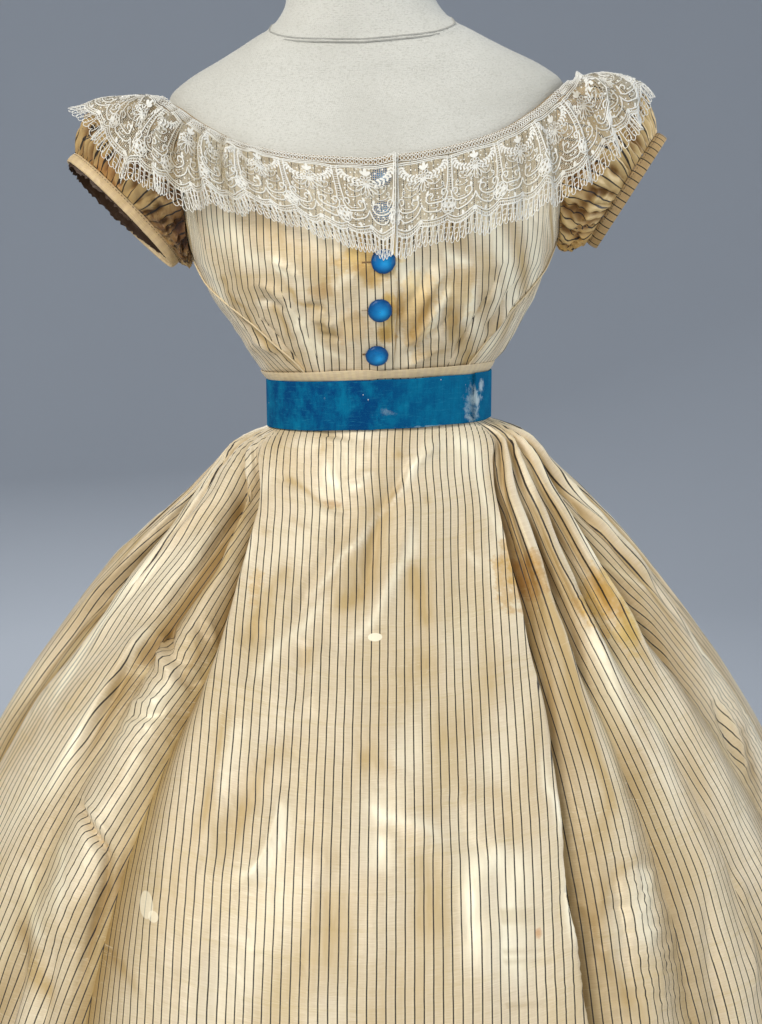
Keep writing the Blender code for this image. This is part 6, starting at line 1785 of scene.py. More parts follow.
def sleeve_band(row, material, dark):
    """Makes a sleeve's narrow band with its stitches and the ragged turning inside it."""
    side, count = row[0], SLEEVE_BAND_COLUMNS
    inner, outer = (stance(band_ring(row, slide, count)) for slide in (0.0, SLEEVE_BAND_HEIGHT))
    away = unit(stance(band_ring(row, 0.004, count, grow=0.004)) - stance(band_ring(row, 0.004, count)))
    band, length = ribbon(f"sleeve_band_{side}_cloth", inner, outer, away, SILK + 0.0012, material, True,
                          rows=6, bulge=0.0006)
    sew(band, "striped_silk", f"sleeve_band_{side}")
    rng = np.random.default_rng(7)
    shown = TURNING_SHOWN[side]
    start = stance(band_ring(row, 0.002, count, grow=-0.0026))
    low, high = start[:, 2].min(), start[:, 2].max()
    upper = ease((start[:, 2:] - low) / (high - low) / 0.55)
    ragged = stance(band_ring(row, SLEEVE_BAND_HEIGHT + 0.0010 * shown, count, grow=-0.0024))
    teeth = stance(band_ring(row, SLEEVE_BAND_HEIGHT + 0.0050 * shown, count, grow=-0.0036))
    share = rng.random(count)[:, None] ** 0.6
    ends = [start + (end - start) * (0.35 + 0.65 * upper)
            for end in (ragged, ragged + (teeth - ragged) * share)]
    strip = np.stack([start, *ends])
    faces = grid_faces(3, count, closed=True)
    # the turning takes full painted shade over its near-black painted shadow tone
    turning = mesh_object(f"sleeve_turning_{side}", strip, faces, dark,
                          grid_uv(lengths(strip, 1), lengths(strip, 0), closed_by=0.4), np.ones((3, count)))
    sew(turning, "striped_silk")
    seam = stance(band_ring(row, BAND_SEAM, 3 * count)) + np.repeat(away, 3, axis=0) * 0.0016
    stitches = np.stack([seam[k:k + 3] for k in range(0, 3 * count - 3, 4)])
    # the stitches take the turning's dark material, painted shadow included
    cord_piece(f"sleeve_stitches_{side}", [tubes(stitches, STITCH_RADIUS)], dark, "striped_silk", 1.0)


def lace_grid(degrees, steps):
    """Returns the middle surface of the lace from the neck band to its lower edge, with its waves."""
    under = np.where(degrees < 180, 0.0, lap_lift(degrees))
    over = LACE_LAP_LIFT * ease((degrees - 358) / 5)
    out = under + over + BAND_OUT + HALF_SILK + LACE / 2 + SEAM_GAP * 2
    top = on_torso(degrees, neckline_height(degrees) - 0.0005, out)
    edge = LACE_EDGE(degrees)
    turn = np.radians(degrees)
    level = np.stack([np.sin(turn), -np.cos(turn), np.zeros_like(degrees)], -1)
    crown = top + level * CROWN_OUT + (edge - top) * CROWN_SHARE
    turns = (degrees - OPENING_EDGE) / 360
    wave = np.cos(2 * np.pi * LACE_WAVES * turns + WAVE_DRIFT * np.sin(2 * np.pi * 3 * turns))
    over_arm = ease((np.abs(np.cos(np.radians(degrees - 90))) - 0.35) / 0.45)
    size = WAVE_SIZE + WAVE_SIZE_OVER_ARM * over_arm
    ruffle = np.zeros_like(degrees)
    for angle, wide, rise in LACE_RUFFLES:
        ruffle += rise / 1000 * np.exp(-((degrees - angle) / wide) ** 2)
    grid = []
    raised = level * WAVE_OUTWARD + np.array([0, 0, WAVE_UPWARD])
    for step in steps:
        line = top * (1 - step) ** 2 + crown * 2 * step * (1 - step) + edge * step**2
        rise = size * (wave + WAVE_LIFT) * step + ruffle * math.sin(math.pi * step ** 0.8)
        grid.append(line + raised * rise[:, None])
    return stance(np.array(grid))


def arc_points(centre, size, start, end, count):
    """Returns points on part of an ellipse in the lace's own millimetres."""
    turns = np.radians(np.linspace(start, end, count))
    across, down = size if hasattr(size, "__len__") else (size, size)
    return np.column_stack([centre[0] + across * np.cos(turns), centre[1] + down * np.sin(turns)])


def petal_points(root, angle, length, wide, count=8):
    """Returns a long closed petal that starts at its root, turned from straight down."""
    turns = np.linspace(0, 2 * math.pi, count)
    down = length * (0.5 - 0.5 * np.cos(turns))
    aside = wide * np.sin(turns) * (0.55 + 0.45 * down / length)
    sine, cosine = math.sin(math.radians(angle)), math.cos(math.radians(angle))
    return np.column_stack([root[0] + down * sine + aside * cosine, root[1] + down * cosine - aside * sine])


def mirrored(line):
    """Returns a line and its mirror image."""
    return [line, line * np.array([-1.0, 1.0])]


def scallop(across, top, deep):
    """Returns how far down the scalloped border lies at places across a repeat."""
    return top + deep * np.abs(np.sin(np.pi * np.asarray(across) / (LACE_REPEAT / 2)))


def circle(centre, radius, count):
    """Returns points round a circle in the lace's own millimetres."""
    return arc_points(centre, radius, 0, 360, count)


def round_spot(centre, radius, degrees):
    """Returns the point at an angle round a centre."""
    turn = math.radians(degrees)
    return np.array(centre) + radius * np.array([math.cos(turn), math.sin(turn)])


def lace_heading(half):
    """Returns the cords of the heading: a row of rings between two lines, then two more lines."""
    cords = [(np.column_stack([np.linspace(-half, half, 11), np.full(11, down)]), CORD)
             for down in (2.4, 8.0)]
    for across in np.arange(-half + HEADER / 2, half, HEADER):
        cords.append((arc_points((across, 5.2), (1.35, 2.1), 0, 360, 8), CORD))
        cords.append((arc_points((across, 2.2), (1.5, 2.2), 180, 360, 5), CORD))
    wave = np.linspace(-half, half, 21)
    for shift in (0.0, 1.7):
        cords.append((np.column_stack([wave, 9.8 + shift + 1.6 * (np.abs(wave) / half) ** 4]), BRAID))
    return cords


def lace_ladder(half):
    """Returns the cords of the straight ladder between two flowers."""
    cords = []
    for shift in (-2.2, 2.2):
        cords.append((np.array([[half + shift, 11.0], [half + shift * 0.9, 22.0], [half + shift, 33.0],
                                [half + shift * 1.4, 43.0]]), BRAID * 1.15))
    for down in np.arange(13.0, 42.0, 2.2):
        cords.append((np.array([[half - 1.6, down], [half + 1.6, down]]), FINE))
    return cords


def lace_spray(stem):
    """Returns the little leaves on both sides of a stem and of its mirror image."""
    leaves = []
    for spot, along in zip(stem, unit(np.gradient(stem, axis=0))):
        angle = math.degrees(math.atan2(along[0], along[1]))
        for turn in (50, -50):
            leaves += mirrored(petal_points(spot, angle + turn, 4.4, 1.35, 7))
    return leaves


def lace_border(half):
    """Returns the cords of the scalloped border and of the looped rim that hangs from it."""
    cords = []
    across = np.linspace(-half, half, 25)
    for shift, thick in ((0.0, BRAID), (2.2, CORD), (5.0, BRAID)):
        cords.append((np.column_stack([across, scallop(across, BORDER_TOP, BORDER_DEEP) + shift]), thick))
    for spot in np.arange(-half + 0.8, half, 1.9):
        down = float(scallop(spot, BORDER_TOP, BORDER_DEEP))
        cords.append((np.array([[spot, down + 2.2], [spot, down + 5.0]]), FINE))
    for spot in np.arange(-half + TOOTH / 2, half, TOOTH):
        top = float(scallop(spot, BORDER_TOP, BORDER_DEEP)) + 5.0
        low = float(scallop(spot, LACE_RIM, LACE_RIM_DEEP))
        for shift in (-0.75, 0.75):
            cords.append((np.array([[spot + shift * 0.5, top], [spot + shift, (top + low) / 2],
                                    [spot + shift * 1.5, low - 3.0]]), CORD * 0.95))
        cords.append((arc_points((spot, low - 3.2), (1.6, 3.4), -20, 200, 7), CORD * 0.9))
        aside = spot + TOOTH / 2
        for share in (0.12, 0.44, 0.76):
            down = top + (low - 3.0 - top) * share
            cords.append((arc_points((aside, down), (1.6, 1.2), 180, 360, 5), FINE))
        cords.append((arc_points((aside, low - 4.4), (1.0, 2.6), 0, 180, 5), FINE * 1.1))
    return cords


def lace_design():
    """Returns the cords (line, thickness in mm) and the worked leaves of one repeat of the lace."""
    half = LACE_REPEAT / 2
    cords = lace_heading(half) + lace_ladder(half) + lace_flower((0.0, 25.0))
    leaves = [petal_points((0.0, 19.6), angle, length, 2.0, 9)
              for angle, length in ((180, 8.0), (140, 6.5), (220, 6.5))]
    stem = smooth_line([(-21.5, 14.0), (-19.5, 19.0), (-15.0, 23.0), (-8.5, 25.5)], 7)
    leaves += lace_spray(stem)
    curl = [(-6.0, 34.0), (-10.0, 35.5), (-14.5, 33.5), (-16.5, 30.0), (-14.3, 28.0), (-12.6, 30.0)]
    small = [(-7.5, 38.5), (-12.0, 40.5), (-17.5, 39.5), (-19.5, 36.0), (-17.5, 34.4)]
    swag = [(-half + 1.5, 43.0), (-22.0, 48.5), (-16.5, 52.5), (-9.0, 52.5), (-3.6, 48.5), (-4.2, 44.4),
            (-8.3, 43.4), (-10.0, 46.2), (-7.8, 48.0)]
    inner = [(-half + 3.2, 41.5), (-19.8, 46.5), (-15.0, 50.0), (-10.0, 50.0)]
    volute = [(-half + 1.5, 45.5), (-21.2, 41.0), (-17.6, 42.0), (-17.6, 45.6), (-20.2, 46.2)]
    lower = [(-half + 6.0, 57.0), (-15.5, 60.0), (-8.0, 59.0), (-2.5, 55.0), (0.0, 50.0)]
    hook = [(-8.5, 55.8), (-12.5, 57.0), (-15.2, 55.2), (-13.2, 53.6)]
    lines = [(stem, FINE), (smooth_line(curl, 9), CORD), (smooth_line(small, 8), CORD)]
    lines += [(circle(spot, 1.1, 7), CORD) for spot in ((-12.8, 29.6), (-17.8, 35.8))]
    lines += [(smooth_line(line, count), BRAID * 1.2)
              for line, count in ((swag, 15), (volute, 8), (lower, 9))]
    lines += [(smooth_line(inner, 8), CORD), (smooth_line(hook, 6), CORD)]
    for line, thick in lines:
        cords += [(side, thick) for side in mirrored(line)]
    for spot in ((-5.4, 40.0), (-22.4, 52.2), (-11.6, 62.0), (0.0, 62.0)):
        leaves += mirrored(petal_points(spot, 20.0, 4.4, 1.7, 7))
    centre = (half, 55.0)
    for angle in range(0, 360, 60):
        cords.append((circle(round_spot(centre, 4.0, angle), 1.9, 8), CORD * 1.9))
    cords.append((circle(centre, 1.7, 7), CORD * 1.5))
    cords.append((circle(centre, 7.0, 16), CORD * 1.3))
    return cords + lace_border(half), leaves


def lace_flower(centre):
    """Returns the cords of a flower of rings with its fan of petals."""
    cords = [(circle(round_spot(centre, 4.1, angle), 1.7, 8), 0.48) for angle in range(-210, 31, 40)]
    cords.append((circle(centre, 1.4, 7), 0.42))
    for angle in range(-81, 82, 27):
        cords.append((petal_points(np.array(centre) + (0, 2.0), angle, 12.0, 1.9, 9), 0.46))
    return cords


class Laid:
    """Lays a flat design, in metres along and millimetres down, on the lace's surface."""

    def __init__(self, grid, hollow):
        self.grid = grid
        self.hollow = hollow
        self.facing = normals(grid)
        self.run = lengths(grid[[len(grid) // 2]], 1)[0]
        self.total = self.run[-1]
        self.fall = lengths(grid, 0)
        self.fall = self.fall / self.fall[-1]

    def put(self, along, down, out):
        """Returns points of the lace, its facing and its painted shade at places of the design."""
        rows, columns = self.grid.shape[:2]
        column = np.clip(np.interp(along, self.run, np.arange(columns)), 0, columns - 1.001)
        j = np.floor(column).astype(int)
        t = (column - j)[..., None]
        share = np.clip(down / LACE_DEEP, 0, 1)
        fall = self.fall[:, j] * (1 - t[..., 0]) + self.fall[:, j + 1] * t[..., 0]
        i = np.clip((fall <= share[None]).sum(axis=0) - 1, 0, rows - 2)
        low = np.take_along_axis(fall, i[None], axis=0)[0]
        high = np.take_along_axis(fall, i[None] + 1, axis=0)[0]
        s = np.clip((share - low) / (high - low), 0, 1)[..., None]

        def read(table):
            return ((table[i, j] * (1 - t) + table[i, j + 1] * t) * (1 - s)
                    + (table[i + 1, j] * (1 - t) + table[i + 1, j + 1] * t) * s)

        facing = unit(read(self.facing))
        return read(self.grid) + facing * out, facing, read(self.hollow[..., None])[..., 0]


def laid_over(grid, under):
    """Lifts the lace's surface off the cloth, the buttons and the bands that lie under it."""
    tree, out = tree_of(*under), normals(grid)
    need = np.zeros(grid.shape[:2])
    for row in range(1, grid.shape[0]):
        for column in range(grid.shape[1]):
            spot, way = Vector(grid[row, column]), Vector(out[row, column])
            hit = tree.ray_cast(spot + way * LACE_REACH, -way, LACE_REACH * 1.3)
            if hit[0] is not None:
                need[row, column] = max(0.0, LACE_REACH - hit[3] + LACE / 2 + LACE_ROOM)
    need = softened(spread(need, 3), 6)
    need[:, -9:] += LACE_LAP_LIFT * np.linspace(0, 1, 9)
    return grid + out * need[..., None]


def repeats(line, starts, scale, total, room):
    """Returns where each repeat of a line of the design lies along the lace, if it lies on it whole."""
    along = starts[:, None] + line[None, :, 0] / 1000 * scale
    return along[(along.min(axis=1) > -room) & (along.max(axis=1) < total + room)]


def lace_blades(laid, leaves, starts, scale):
    """Returns points, faces and the painted shade between folds, of the worked leaves."""
    blades = []
    for line in leaves:
        ring = np.concatenate([[line[:-1].mean(axis=0)], line[:-1]])
        along = repeats(ring, starts, scale, laid.total, 0.0)
        if len(along):
            points, _, dark = laid.put(along, ring[None, :, 1] * np.ones_like(along), 0.0007)
            sides = len(ring) - 1
            k, s = np.meshgrid(np.arange(len(points)), np.arange(sides), indexing="ij")
            base = k * (sides + 1)
            faces = np.stack([base, base + 1 + s, base + 1 + (s + 1) % sides], axis=-1).reshape(-1, 3)
            blades.append((points.reshape(-1, 3), faces, dark.reshape(-1)))
    return blades


def make_lace(look, under):
    """Makes the lace: its net, its worked leaves and its cords, laid over what is under it."""
    degrees = np.linspace(OPENING_EDGE - LACE_LAP, 360 + OPENING_EDGE - 0.4, LACE_COLUMNS)
    steps = np.linspace(0, 1, LACE_STEPS)
    grid = laid_over(lace_grid(degrees, steps), under)
    # painted shade between the lace's folds, fading out at its top and lower edge
    hollow = sum(strength * np.exp(-((degrees - angle) / wide) ** 2)
                 for angle, wide, strength in LACE_HOLLOWS)
    hollow = hollow * np.sin(np.pi * steps ** 0.7)[:, None] ** 0.7
    laid = Laid(grid, hollow)
    count = round(laid.total / (LACE_REPEAT / 1000))
    pitch = laid.total / count
    scale = pitch / (LACE_REPEAT / 1000)
    uv = grid_uv(np.broadcast_to(laid.run, grid.shape[:2]), laid.fall * LACE_DEEP / 1000)
    net = mesh_object("lace_net", grid, grid_faces(*grid.shape[:2]), net_material("fine_net", look, pitch),
                      uv, hollow)
    sew(net, "lace", "lace_bertha")
    cords, leaves = lace_design()
    upper, lower = [], []
    starts = np.arange(-1, count + 1) * pitch + pitch / 2
    for line, thick in cords:
        along = repeats(line, starts, scale, laid.total, 0.0012)
        if len(along):
            lines, facing, dark = laid.put(along, line[None, :, 1] * np.ones_like(along), 0.0005)
            part = tubes(lines, thick / 1000, flat=CORD_FLAT, facing=facing)
            dark = np.repeat(dark.reshape(-1), len(part[0]) // dark.size)
            (lower if line[:, 1].mean() > BORDER_TOP - 1.0 else upper).append((*part, dark))
    for end, inside in ((0.0004, 1), (laid.total - 0.0004, -1)):
        for shift in (0.0, 0.0015 * inside):
            down = np.linspace(2, LACE_RIM, 40)[None]
            lines, facing, _ = laid.put(np.full((1, 40), end + shift), down, 0.0006)
            part = tubes(lines, 0.0005, flat=CORD_FLAT, facing=facing)
            upper.append((*part, np.zeros(len(part[0]))))
    thread = thread_material("lace_thread", look.lace, look)
    for name, parts in (("lace_cords", upper), ("lace_border", lower),
                        ("lace_leaves", lace_blades(laid, leaves, starts, scale))):
        points, faces = joined([part[:2] for part in parts])
        dark = np.concatenate([part[2] for part in parts])
        sew(mesh_object(name, points, faces, thread, hollow=dark), "lace")


class DressLook(bpy.types.PropertyGroup):
    """Colours and fine sizes that a user may change."""

    pitch: bpy.props.FloatProperty(
        name="Stripe pitch", description="From one dark line to the next", default=0.0071, min=0.002,
        subtype="DISTANCE")
    line: bpy.props.FloatProperty(
        name="Line width", description="Width of a dark line", default=0.00108, min=0.0001,
        subtype="DISTANCE")
    net_cover: bpy.props.FloatProperty(
        name="Net cover", description="Thickness of the net's threads", default=0.120, min=0.01, max=0.5,
        subtype="FACTOR")
    cream: bpy.props.FloatVectorProperty(
        name="Silk", description="Ground of the silk", default=(0.765, 0.640, 0.430), subtype="COLOR")
    blush: bpy.props.FloatVectorProperty(
        name="Silk half band", description="Half band between two lines", default=(0.67, 0.54, 0.395),
        subtype="COLOR")
    tan: bpy.props.FloatVectorProperty(
        name="Silk, aged", description="Yellowed patches", default=(0.60, 0.46, 0.205), subtype="COLOR")
    glow: bpy.props.FloatVectorProperty(
        name="Silk, shining", description="Streaks that catch the light", default=(0.98, 0.89, 0.66),
        subtype="COLOR")
    dull: bpy.props.FloatVectorProperty(
        name="Silk, dull", description="Streaks that turn from the light", default=(0.52, 0.362, 0.150),
        subtype="COLOR")
    # Painted shade deep in the folds of the silk; it also darkens the slubs
    shade: bpy.props.FloatVectorProperty(
        name="Silk in folds", description="Tint deep in the folds", default=(0.45, 0.325, 0.090),
        subtype="COLOR")
    stripe: bpy.props.FloatVectorProperty(
        name="Stripe", description="Dark line", default=(0.016, 0.010, 0.008), subtype="COLOR")
    lace: bpy.props.FloatVectorProperty(
        name="Lace", description="Cords of the lace", default=(0.86, 0.84, 0.76), subtype="COLOR")
    # The net's aged thread colour, darkened further as painted shade on its fine threads
    net: bpy.props.FloatVectorProperty(
        name="Net", description="Fine net between the cords", default=(0.56, 0.50, 0.375), subtype="COLOR")
    lace_age: bpy.props.FloatVectorProperty(
        name="Lace, aged", description="Yellowed thread", default=(0.66, 0.61, 0.48), subtype="COLOR")
    # Painted shade between the lace's folds
    lace_shade: bpy.props.FloatVectorProperty(
        name="Lace in folds", description="Tint between the lace's folds", default=(0.30, 0.235, 0.125),
        subtype="COLOR")
    velvet: bpy.props.FloatVectorProperty(
        name="Velvet", description="Deep pile", default=(0.000, 0.048, 0.165), subtype="COLOR")
    velvet_worn: bpy.props.FloatVectorProperty(
        name="Velvet, worn", description="Rubbed pile", default=(0.001, 0.150, 0.285), subtype="COLOR")
    velvet_pale: bpy.props.FloatVectorProperty(
        name="Velvet, pale", description="Tips of the pile", default=(0.02, 0.24, 0.36), subtype="COLOR")
    satin: bpy.props.FloatVectorProperty(
        name="Satin", description="Buttons", default=(0.000, 0.150, 0.420), subtype="COLOR")
    # The rubbed satin is the buttons' painted highlight; the dark satin gives their darker rubs and their
    # painted rim shade
    satin_highlight: bpy.props.FloatVectorProperty(
        name="Satin, rubbed", description="Lighter middle of the buttons", default=(0.02, 0.42, 0.86),
        subtype="COLOR")
    satin_rubs_and_shade: bpy.props.FloatVectorProperty(
        name="Satin, dark", description="Darker rubs of the buttons", default=(0.000, 0.035, 0.140),
        subtype="COLOR")
    canvas: bpy.props.FloatVectorProperty(
        name="Canvas", description="Dress form", default=(0.66, 0.645, 0.575), subtype="COLOR")
    # Grubby patches and slubs of the canvas, and the painted shade towards the form's sides
    canvas_grime_and_shade: bpy.props.FloatVectorProperty(
        name="Canvas, grubby", description="Grubby patches of the form", default=(0.50, 0.485, 0.42),
        subtype="COLOR")
    enamel: bpy.props.FloatVectorProperty(
        name="Enamel", description="Pole and foot", default=(0.02, 0.02, 0.022), subtype="COLOR")
    backdrop: bpy.props.FloatVectorProperty(
        name="Backdrop", description="Floor and backdrop", default=(0.50, 0.53, 0.57), subtype="COLOR")


class DRESS_OT_form(bpy.types.Operator):
    """Makes the canvas form and finishes its pole and foot"""

    bl_idname = "dress.form"
    bl_label = "Dress form"

    def execute(self, context):
        look = context.scene.dress_look
        heights = np.concatenate([np.linspace(FORM_FOOT, FORM_FINE_FROM, 60)[:-1],
                                  np.linspace(FORM_FINE_FROM, FORM_TOP, 96)])[::-1]
        height, angle = np.meshgrid(heights, np.arange(0, 360, FORM_STEP), indexing="ij")
        x, y = section(FORM(height), angle, SQUARENESS)
        points = stance(np.stack([x, y, height], axis=-1))
        above = height - NECK_SEAM(around(angle))[..., 0]
        ridge = NECK_SEAM_RISE * np.exp(-(above / NECK_SEAM_WIDE) ** 2)
        dip = NECK_SEAM_DIP * np.exp(-((above + NECK_SEAM_GAP) / NECK_SEAM_WIDE) ** 2)
        points += normals(points, closed=True) * (ridge - dip)[..., None]
        points = np.concatenate([drawn_in(points[0], (0.02, 0.5, 0.93)), points,
                                 drawn_in(points[-1], (0.93, 0.02))])
        body = mesh_object("form_canvas_body", points, grid_faces(*points.shape[:2], closed=True),
                           canvas_material("canvas", look))
        sew(body, "form_canvas", "form_body")
        angle = np.linspace(0, 360, 241)
        height = NECK_SEAM(around(angle))[..., 0]
        x, y = section(FORM(height) + 0.0002, angle, SQUARENESS)
        seam = stance(np.stack([x, y, height], axis=-1))
        points, faces = tubes(np.stack([seam + (0, 0, 0.0006), seam - (0, 0, 0.0018)]), 0.0010, sides=6)
        dark = canvas_material("canvas_seam", look, NECK_SEAM_DIM)
        sew(mesh_object("form_neck_seam", points, faces, dark), "form_canvas")
        enamel = metal_material("black_enamel", look)
        for node in ("stand_pole", "stand_base"):
            for slot in bpy.data.objects[node].material_slots:
                slot.material = enamel
        return {"FINISHED"}


class DRESS_OT_bodice(bpy.types.Operator):
    """Makes the bodice panels, the neck band, the piping and the waistband"""

    bl_idname = "dress.bodice"
    bl_label = "Bodice"

    def execute(self, context):
        look = context.scene.dress_look
        silk = silk_material("bodice_silk", look, BODICE_STAINS)
        neck_and_hole = (*FRONT_NECK_ANGLES, *PANEL_COLUMNS_AT_HOLE)
        front_left = finer([UNDERLAP_END, 0, OPENING_EDGE, *neck_and_hole], FRONT_PARTS)
        front_right = finer([-angle for angle in reversed(neck_and_hole)] + [-8, 0, OPENING_EDGE],
                            FRONT_PARTS)
        side, side_back = (np.linspace(*ends, SIDE_COLUMNS) for ends in (SIDE_TOPS, SIDE_BACK_TOPS))
        half_back = [BACK_TOP_START, *BACK_NECK_ANGLES]
        back = finer(half_back + [180] + [360 - angle for angle in reversed(half_back)], BACK_PARTS)
        right_takes = ((1, *DARTS["right outer"][1:], -1), (2, *DARTS["right inner"][1:], -1))
        left_takes = ((1, *DARTS["left"][1:], 1),)
        seam, still, dart = seam_guide, still_guide, dart_guide
        rows = (
            ("bodice_front_left", (still(UNDERLAP_END), dart("left"), seam(SIDE_FRONT_SEAM, 1)),
             front_left, dict(takes=left_takes)),
            ("bodice_front_right", (seam(SIDE_FRONT_SEAM, -1), dart("right outer"), dart("right inner"),
                                    still(OPENING_EDGE)),
             front_right, dict(takes=right_takes, lift=lap_lift, turn_edge=True)),
            ("bodice_side_left", (seam(SIDE_FRONT_SEAM, 1), seam(SIDE_BACK_SEAM, 1)),
             side, dict(middle=86.0)),
            ("bodice_side_right", (seam(SIDE_BACK_SEAM, -1), seam(SIDE_FRONT_SEAM, -1)),
             -side[::-1], dict(middle=-86.0)),
            ("bodice_side_back_left", (seam(SIDE_BACK_SEAM, 1), seam(BACK_SEAM, 1)),
             side_back, dict(middle=125.0)),
            ("bodice_side_back_right", (seam(BACK_SEAM, -1), seam(SIDE_BACK_SEAM, -1)),
             -side_back[::-1], dict(middle=-125.0)),
            ("bodice_back", (seam(BACK_SEAM, 1), far_seam_guide(BACK_SEAM)),
             back, dict(middle=180.0)),
        )
        for name, guides, tops, more in rows:
            piece = bodice_panel(name, guides, tops, silk, **more)
            length = BODICE_SIDE_LENGTH if "side" in name else BODICE_FRONT_LENGTH
            area_of(piece) * BODICE_CORNERS / length
        plain = silk_material("trim_silk", look, stripes=False, tone=TRIM_TONE)
        self.neck_band(look)
        self.seams(plain)
        self.waistband(plain)
        self.buttonholes(look)
        return {"FINISHED"}

    def neck_band(self, look):
        """Adds the neck band, open at the centre front."""
        degrees = np.linspace(OPENING_EDGE + 0.4, 360 + OPENING_EDGE, 361)
        top = neckline_height(degrees)
        out = lap_lift(degrees) + BAND_OUT
        lines = [stance(on_torso(degrees, top - drop, out)) for drop in (0.0005, NECK_BAND_HEIGHT)]
        away = unit(stance(on_torso(degrees, top, out + 0.01)) - stance(on_torso(degrees, top, out)))
        aged = silk_material("neck_band_silk", look, stripes=False, tone=NECK_BAND_TONE)
        band, length = ribbon("neck_band_cloth", *lines, away, SILK, aged, False, rows=4)
        sew(band, "striped_silk", "neck_band")

    def seams(self, plain):
        """Adds the piping of the side-front seams and the welts of the other seams."""
        cords = []
        for side in (-1, 1):
            for rows, top, out, radius, sides in SEAM_CORDS:
                height = np.linspace(SEAM_CORD_FOOT, top, 60)
                line = stance(on_torso(seam_angle(rows, side, height), height, SILK + out))
                cords.append(tubes(line[None], radius, sides=sides))
        cord_piece("bodice_piping", cords, plain, "striped_silk", 0.0)

    def waistband(self, plain):
        """Adds the strip of the waistband that shows above the belt."""
        degrees = np.arange(0, 360, 1.5)
        over = LAP_LIFT * (ease((degrees - WAISTBAND_LAP[0]) / WAISTBAND_RISE)
                           + ease((WAISTBAND_LAP[1] - degrees) / WAISTBAND_RISE))
        low, high = (stance(on_torso(degrees, level, WAISTBAND_OUT + over)) for level in WAISTBAND)
        low, high = (line + (0, 0, 1.0) * (WAISTBAND_UNEVEN
                                           * (grain(degrees * 0.002, 0.0, 0.05, 1.0, seed)[:, None] - 0.5))
                     for line, seed in ((low, 31), (high, 32)))
        away = unit(stance(on_torso(degrees, WAISTBAND[0], WAISTBAND_OUT + 0.01 + over)) - low)
        band, length = ribbon("waistband_cloth", high, low, away, SILK, plain, True, rows=7, bulge=0.0005)
        sew(band, "striped_silk", "waistband")

    def buttonholes(self, look):
        """Adds the two worked edges of each buttonhole."""
        slits = []
        for angle, height, _, _ in BUTTON_ROWS:
            for shift in (-BUTTONHOLE_EDGE, BUTTONHOLE_EDGE):
                spots = np.linspace(angle + BUTTONHOLE_SPAN[0], angle + BUTTONHOLE_SPAN[1], 9)
                line = stance(on_torso(spots, height + shift, SILK + 0.0003 + lap_lift(spots)))
                slits.append(tubes(line[None], BUTTONHOLE_EDGE, sides=5))
        worked = silk_material("buttonhole_silk", look, stripes=False, tone=BUTTONHOLE_TONE)
        # the worked edges take the full painted shade of the folds
        cord_piece("buttonholes", slits, worked, "striped_silk", 1.0)


class DRESS_OT_sleeves(bpy.types.Operator):
    """Makes both puffed sleeves with their bands"""

    bl_idname = "dress.sleeves"
    bl_label = "Sleeves"

    def execute(self, context):
        look = context.scene.dress_look
        # near-black painted shadow for the turning inside each band; the band's stitches share it
        dark = silk_material("sleeve_turning_silk", look, stripes=False, tone=TURNING_SHADOW_TONE)
        for row in SLEEVE_ROWS:
            side = row[0]
            silk_name, band_name = SLEEVE_CLOTHS[side]
            sleeve(row, silk_material(silk_name, look, SLEEVE_STAINS_AND_SHADOW[side], tone=SLEEVE_TONES[side]))
            band = silk_material(band_name, look, stripes=side == "left", tone=SLEEVE_BAND_TONES[side])
            sleeve_band(row, band, dark)
        return {"FINISHED"}


class DRESS_OT_buttons(bpy.types.Operator):
    """Makes the five covered buttons"""

    bl_idname = "dress.buttons"
    bl_label = "Buttons"

    def execute(self, context):
        satin = satin_material("blue_satin_cover", context.scene.dress_look)
        tree = tree_of(bpy.data.objects["bodice_front_right_cloth"])
        turns = np.linspace(0, 2 * math.pi, 48, endpoint=False)
        cosines, sines = np.cos(turns), np.sin(turns)
        profile = smooth_line(BUTTON_PROFILE, 22)[::-1]
        for number, (angle, height, radius, rise) in enumerate(BUTTON_ROWS, start=1):
            seat = stance(on_torso(angle, height, LAP_LIFT))
            right, left = (stance(on_torso(angle + turn, height, LAP_LIFT)) for turn in (-3, 3))
            across = unit(left - right)
            low, high = (stance(on_torso(angle, height + half)) for half in (-radius / 2, radius / 2))
            up = unit(high - low)
            out = unit(np.cross(across, up))
            lift = -1.0
            for share in (0.0, 0.5, 0.8):
                for turn in turns[::4]:
                    spot = seat + radius * share * (math.cos(turn) * across + math.sin(turn) * up)
                    hit = tree.ray_cast(Vector(spot + out * BUTTON_REACH), Vector(-out), 2 * BUTTON_REACH)
                    if hit[0] is not None:
                        lift = max(lift, BUTTON_REACH - hit[3])
            seat = seat + out * (lift + SEAM_GAP)
            pull = 1 + 0.010 * np.cos(turns * 11 + number) + 0.006 * np.cos(turns * 5 + 2 * number)
            ring = cosines[:, None] * across + sines[:, None] * up
            grid = np.array([seat + out * rise * level
                             + radius * share * (1 if share < 0.7 else pull[:, None]) * ring
                             for share, level in profile])
            # Painted shade towards the dome's rim and a painted highlight near its middle
            rim = np.array([[max(0.0, share - 0.55) / 0.45] * len(turns) for share, _ in profile])
            painted_highlight = np.array([np.exp(-((share * cosines - HIGHLIGHT_CENTRE[0]) ** 2
                                        + (share * sines - HIGHLIGHT_CENTRE[1]) ** 2) / HIGHLIGHT_SPREAD)
                               for share, _ in profile])
            faces = grid_faces(*grid.shape[:2], closed=True)[:, ::-1]
            piece = mesh_object(f"button_{number}_satin", grid, faces, satin, hollow=rim, sheen=painted_highlight)
            sew(piece, "blue_satin", f"button_{number}")
        return {"FINISHED"}


